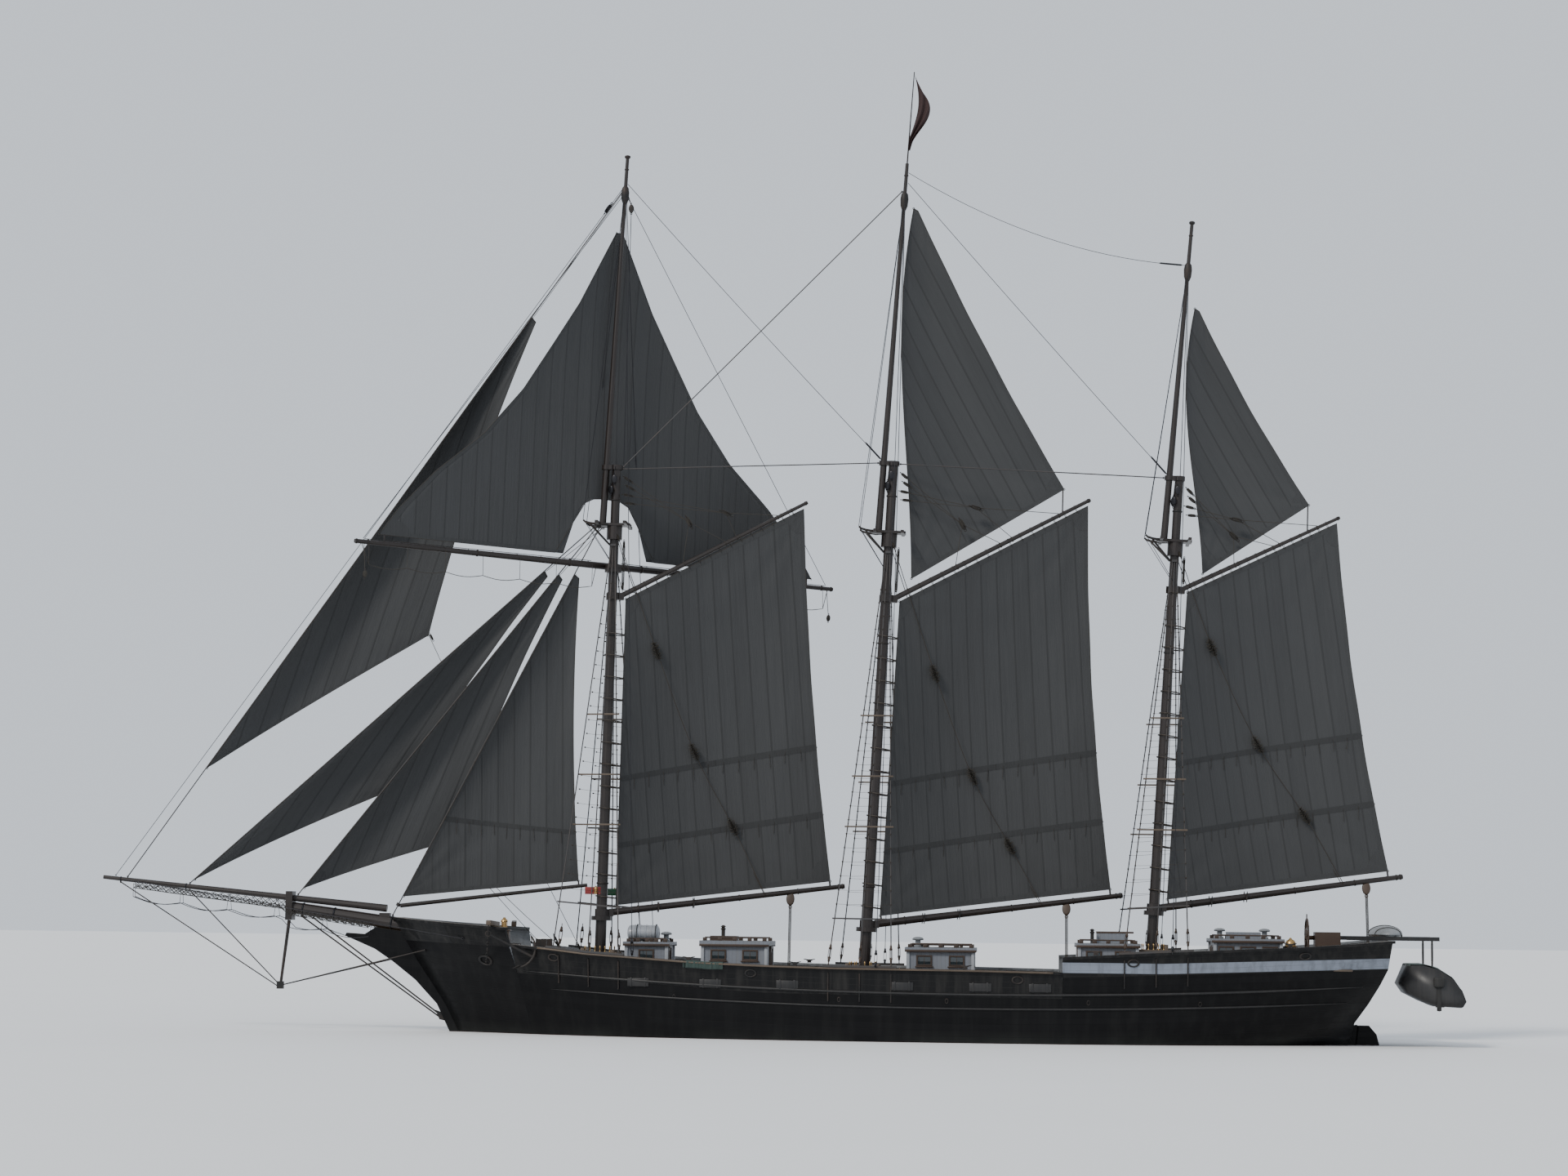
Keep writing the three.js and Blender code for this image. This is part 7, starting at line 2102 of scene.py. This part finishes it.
def make_boat_gear():
    """The falls of the davits, and the engine of the boat that hangs under them."""
    falls = Bundle("davit_falls", "tarred_rope")
    motor = Bundle("boat_engine", "rubber_black", slot="dark_wood")
    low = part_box("dinghy")[0]
    tree, beams = surface("dinghy"), surface("davits")
    for side in (-1, 1):
        top = beams.ray_cast(Vector((14.6, side * 0.95, 2.3)), UP)[0]
        foot = tree.ray_cast(Vector((14.6, side * 0.95, 2.8)), -UP)[0]
        tackle(falls, foot + raised(0.01), top - raised(0.02), 0.022, 0.9)
    hub = turned([(0.02, -0.12), (0.045, -0.10), (0.05, 0.02), (0.03, 0.10)], 12)
    leg = joined(boxed((-0.06, -0.05, -0.62), (0.06, 0.05, 0.05), 0.02, 3),
                 boxed((-0.15, -0.14, 0.02), (0.15, 0.12, 0.30), 0.06, 4),
                 boxed((-0.10, -0.02, -0.52), (0.14, 0.02, -0.49)), (hub, move(0.0, 0.0, -0.58) @ UPRIGHT))
    motor.add(leg, move(14.70, low.y + 0.02, 1.62))
    finish(falls, motor)


def boat_edge(tree, y):
    """The forward and after edge of the boat's top at a place across the ship."""
    found = []
    for x, step in ((13.5, 0.01), (15.6, -0.01)):
        while 13.4 < x < 15.7:
            hit, normal, _, _ = tree.ray_cast(Vector((x, y, 4)), -UP)
            if hit is not None and normal.z > 0.45:
                break
            x += step
        found.append(x)
    return found


def make_cover(name, place, counts, steps=60):
    """A draped canvas, its two lengths measured along its middle lines."""
    wide = sum((place(k / steps, 0.5) - place((k + 1) / steps, 0.5)).length for k in range(steps))
    long = sum((place(0.5, k / steps) - place(0.5, (k + 1) / steps)).length for k in range(steps))
    piece, area = cloth_piece(name, place, lambda a, b: (a * wide, b * long), counts, 0.004, "cover_canvas", "ship")
    min(area, wide * long)


def make_boat_cover():
    """The canvas laced over the hanging boat."""
    tree = surface("dinghy")
    length = 2.70
    edges = {}

    def place(a, b):
        y = length * (b - 0.5)
        if b not in edges:
            edges[b] = boat_edge(tree, y)
        first, last = edges[b]
        x = first + (last - first) * min(1.0, max(0.0, (a - 0.06) / 0.88))
        over = max(0.0, abs(a - 0.5) - 0.44) / 0.06
        hit = tree.ray_cast(Vector((min(max(x, first + 0.01), last - 0.01), y, 4)), -UP)[0]
        ripple = 0.010 * math.sin(13 * y + 2 * math.sin(5 * x)) * (1 - 0.6 * math.cos(math.tau * a)) + 0.012
        out = 0.025 * over * (1 if a > 0.5 else -1)
        return Vector((x + out, y, hit.z + ripple + 0.012 - 0.11 * over ** 1.5))
    make_cover("boat_cover", place, (34, 60))


def make_canvas_cover():
    """A canvas dodger laid over the port rail by the galley and lashed inside."""
    side, x0, width, drop = -1, -5.75, 1.10, 0.62

    def place(a, b):
        x, s = x0 + width * a, drop * (b - 0.5)
        top = rail_top(x, side)
        fold = 0.014 * math.sin(7.0 * x + 3.0 * s) + 0.008 * math.sin(17.0 * x)
        over, fall = max(-0.13, min(0.13, s)), max(0.0, abs(s) - 0.13)
        out = math.copysign(0.018 + abs(fold), s) if fall > 0 else 0.0
        lift = 0.018 + 0.006 * math.sin(9 * x) - (0.02 if abs(s) > 0.12 else 0.0)
        return Vector((x, top.y + side * (over + out - 0.12), top.z + lift - fall))
    make_cover("rail_canvas", place, (40, 22))


# The stage

FLOOR_SIZE = 900.0
SUN_TILT = (math.radians(50), 0.0, math.radians(-35))


def make_stage(settings):
    """A pale floor at the waterline, soft light, and a camera at the photograph's viewing angle."""
    world = bpy.data.worlds.new("studio")
    bpy.context.scene.world = world
    world.use_nodes = True
    background = world.node_tree.nodes["Background"]
    background.inputs["Color"].default_value = (0.80, 0.86, 0.94, 1)
    background.inputs["Strength"].default_value = settings.sky_strength

    nodes = fresh("studio_floor", Roughness=0.9)
    mottled = nodes.noise(nodes.place(), 0.15, 2.0)
    nodes.give(Base_Color=nodes.mix(mottled, settings.floor_colour, shade(settings.floor_colour, 1.03)))
    bpy.ops.object.select_all(action="DESELECT")
    bpy.ops.mesh.primitive_grid_add(x_subdivisions=8, y_subdivisions=8, size=FLOOR_SIZE)
    floor = bpy.context.object
    floor.name = "studio_floor"
    floor.data.materials.append(bpy.data.materials["studio_floor"])

    sun = bpy.data.lights.new("soft_sun", "SUN")
    sun.energy, sun.angle, sun.color = settings.sun_strength, math.radians(12), (1.0, 0.95, 0.88)
    lamp = bpy.data.objects.new("soft_sun", sun)
    lamp.rotation_euler = SUN_TILT
    bpy.context.scene.collection.objects.link(lamp)

    eye = bpy.data.cameras.new("camera")
    eye.sensor_width, eye.lens = 36.0, settings.lens
    eye.clip_start, eye.clip_end = 1.0, 3000.0
    camera = bpy.data.objects.new("camera", eye)
    place, aim = Vector(settings.camera_place), Vector(settings.camera_aim)
    turn = (aim - place).to_track_quat("-Z", "Y").to_matrix().to_4x4()
    camera.matrix_world = move(place) @ turn @ Matrix.Rotation(settings.camera_roll, 4, "Z")
    bpy.context.scene.collection.objects.link(camera)
    bpy.context.scene.camera = camera


# The add-on: settings, operators and panel

def colour(name, description, default):
    return bpy.props.FloatVectorProperty(name=name, description=description, subtype="COLOR", default=default)


class SchoonerSettings(bpy.types.PropertyGroup):
    """Colours and sizes that a user would change."""

    hull_colour: colour("Hull colour", "Paint of the topsides", (0.0045, 0.0045, 0.005))
    bottom_colour: colour("Bottom colour", "Paint under the waterline", (0.085, 0.022, 0.016))
    deck_colour: colour("Deck colour", "Laid deck planks", (0.24, 0.175, 0.11))
    # Painted shade: the deckhouse sides are light paint, set to the dark blue-grey that it shows in shade under the
    # sky.
    house_shade_colour: colour("House colour", "Sides of the deckhouses", (0.17, 0.185, 0.215))
    spar_colour: colour("Spar colour", "Masts, booms and gaffs", (0.013, 0.0080, 0.0062))
    sail_colour: colour("Sail colour", "Canvas of the sails", (0.034, 0.0355, 0.037))
    # Painted shade: the sails are pale cloth, but their colour is the dark grey that the cloth shows when lit from
    # behind.
    floor_colour: colour("Floor colour", "The studio floor", (0.78, 0.79, 0.80))
    sky_strength: bpy.props.FloatProperty(
        name="Sky strength", description="Light from all round", default=1.0, min=0.0)
    sun_strength: bpy.props.FloatProperty(
        name="Sun strength", description="Light of the soft sun", default=2.2, min=0.0)
    lens: bpy.props.FloatProperty(
        name="Lens", description="Focal length of the camera in millimetres", default=72.0, min=10.0)
    camera_place: bpy.props.FloatVectorProperty(
        name="Camera place", description="Where the camera stands", subtype="TRANSLATION", unit="LENGTH",
        default=(2.99, -88.25, 3.19))
    camera_aim: bpy.props.FloatVectorProperty(
        name="Camera aim", description="The place that the camera looks at", subtype="TRANSLATION", unit="LENGTH",
        default=(-3.35, 0.0, 12.6))
    camera_roll: bpy.props.FloatProperty(
        name="Camera roll", description="Turn of the camera about its own axis", subtype="ANGLE", unit="ROTATION",
        default=0.0128)


class OBJECT_OT_schooner_finishes(bpy.types.Operator):
    """Make the materials and give the frame its finishes"""

    bl_idname = "schooner.finishes"
    bl_label = "Finishes"

    def execute(self, context):
        make_materials(context.scene.schooner)
        finish_frame()
        make_shapes()
        return {"FINISHED"}


class OBJECT_OT_schooner_sails(bpy.types.Operator):
    """Cut the sails, with their bands, ropes and reef points"""

    bl_idname = "schooner.sails"
    bl_label = "Sails"

    def execute(self, context):
        make_sails()
        make_hoops_and_lacing()
        make_lifts()
        make_pennant()
        return {"FINISHED"}


class OBJECT_OT_schooner_standing_rigging(bpy.types.Operator):
    """Set up ratlines, deadeyes, topmast rigging and the gear under the bowsprit"""

    bl_idname = "schooner.standing_rigging"
    bl_label = "Standing rigging"

    def execute(self, context):
        make_ratlines()
        make_topmast_rigging()
        make_head_gear()
        return {"FINISHED"}


class OBJECT_OT_schooner_running_rigging(bpy.types.Operator):
    """Reeve the halyards, sheets and lifts of the spars"""

    bl_idname = "schooner.running_rigging"
    bl_label = "Running rigging"

    def execute(self, context):
        make_gaff_rigging()
        make_sheets()
        make_yard_rigging()
        make_jib_sheets()
        return {"FINISHED"}


class OBJECT_OT_schooner_hull_fittings(bpy.types.Operator):
    """Fit the mouldings, ports, anchors and stern irons to the hull"""

    bl_idname = "schooner.hull_fittings"
    bl_label = "Hull fittings"

    def execute(self, context):
        make_mouldings()
        make_ports()
        make_anchors()
        make_stern_gear()
        return {"FINISHED"}


class OBJECT_OT_schooner_houses(bpy.types.Operator):
    """Trim the deckhouses and set their windows, doors and roof gear"""

    bl_idname = "schooner.houses"
    bl_label = "Deckhouses"

    def execute(self, context):
        make_house_trim()
        make_windows_and_doors()
        make_roof_gear()
        return {"FINISHED"}


class OBJECT_OT_schooner_deck_gear(bpy.types.Operator):
    """Place the pin rails, bitts, lights, helm gear and boat gear"""

    bl_idname = "schooner.deck_gear"
    bl_label = "Deck gear"

    def execute(self, context):
        make_pin_rails()
        make_mooring_gear()
        make_forecastle_gear()
        make_helm_gear()
        make_raft()
        make_boat_gear()
        make_boat_cover()
        make_canvas_cover()
        return {"FINISHED"}


class OBJECT_OT_schooner_stage(bpy.types.Operator):
    """Lay the floor and set the lights and the camera"""

    bl_idname = "schooner.stage"
    bl_label = "Stage"

    def execute(self, context):
        make_stage(context.scene.schooner)
        return {"FINISHED"}


class VIEW3D_PT_schooner(bpy.types.Panel):
    """Lists what the fit-out makes"""

    bl_idname = "VIEW3D_PT_schooner"
    bl_label = "Schooner fit-out"
    bl_space_type = "VIEW_3D"
    bl_region_type = "UI"
    bl_category = "Schooner"

    def draw(self, context):
        settings = context.scene.schooner
        for name in SchoonerSettings.__annotations__:
            self.layout.prop(settings, name)
        for step in OPERATORS:
            self.layout.operator(step.bl_idname)


OPERATORS = (
    OBJECT_OT_schooner_finishes, OBJECT_OT_schooner_stage, OBJECT_OT_schooner_sails,
    OBJECT_OT_schooner_standing_rigging, OBJECT_OT_schooner_running_rigging, OBJECT_OT_schooner_hull_fittings,
    OBJECT_OT_schooner_houses, OBJECT_OT_schooner_deck_gear,
)
CLASSES = (SchoonerSettings, *OPERATORS, VIEW3D_PT_schooner)


def register():
    for kind in CLASSES:
        bpy.utils.register_class(kind)
    bpy.types.Scene.schooner = bpy.props.PointerProperty(type=SchoonerSettings)


def unregister():
    del bpy.types.Scene.schooner
    for kind in reversed(CLASSES):
        bpy.utils.unregister_class(kind)


def main():
    register()
    bpy.ops.schooner.finishes()
    bpy.ops.schooner.stage()
    bpy.ops.schooner.sails()
    bpy.ops.schooner.standing_rigging()
    bpy.ops.schooner.running_rigging()
    bpy.ops.schooner.hull_fittings()
    bpy.ops.schooner.houses()
    bpy.ops.schooner.deck_gear()


if __name__ == "__main__":
    main()
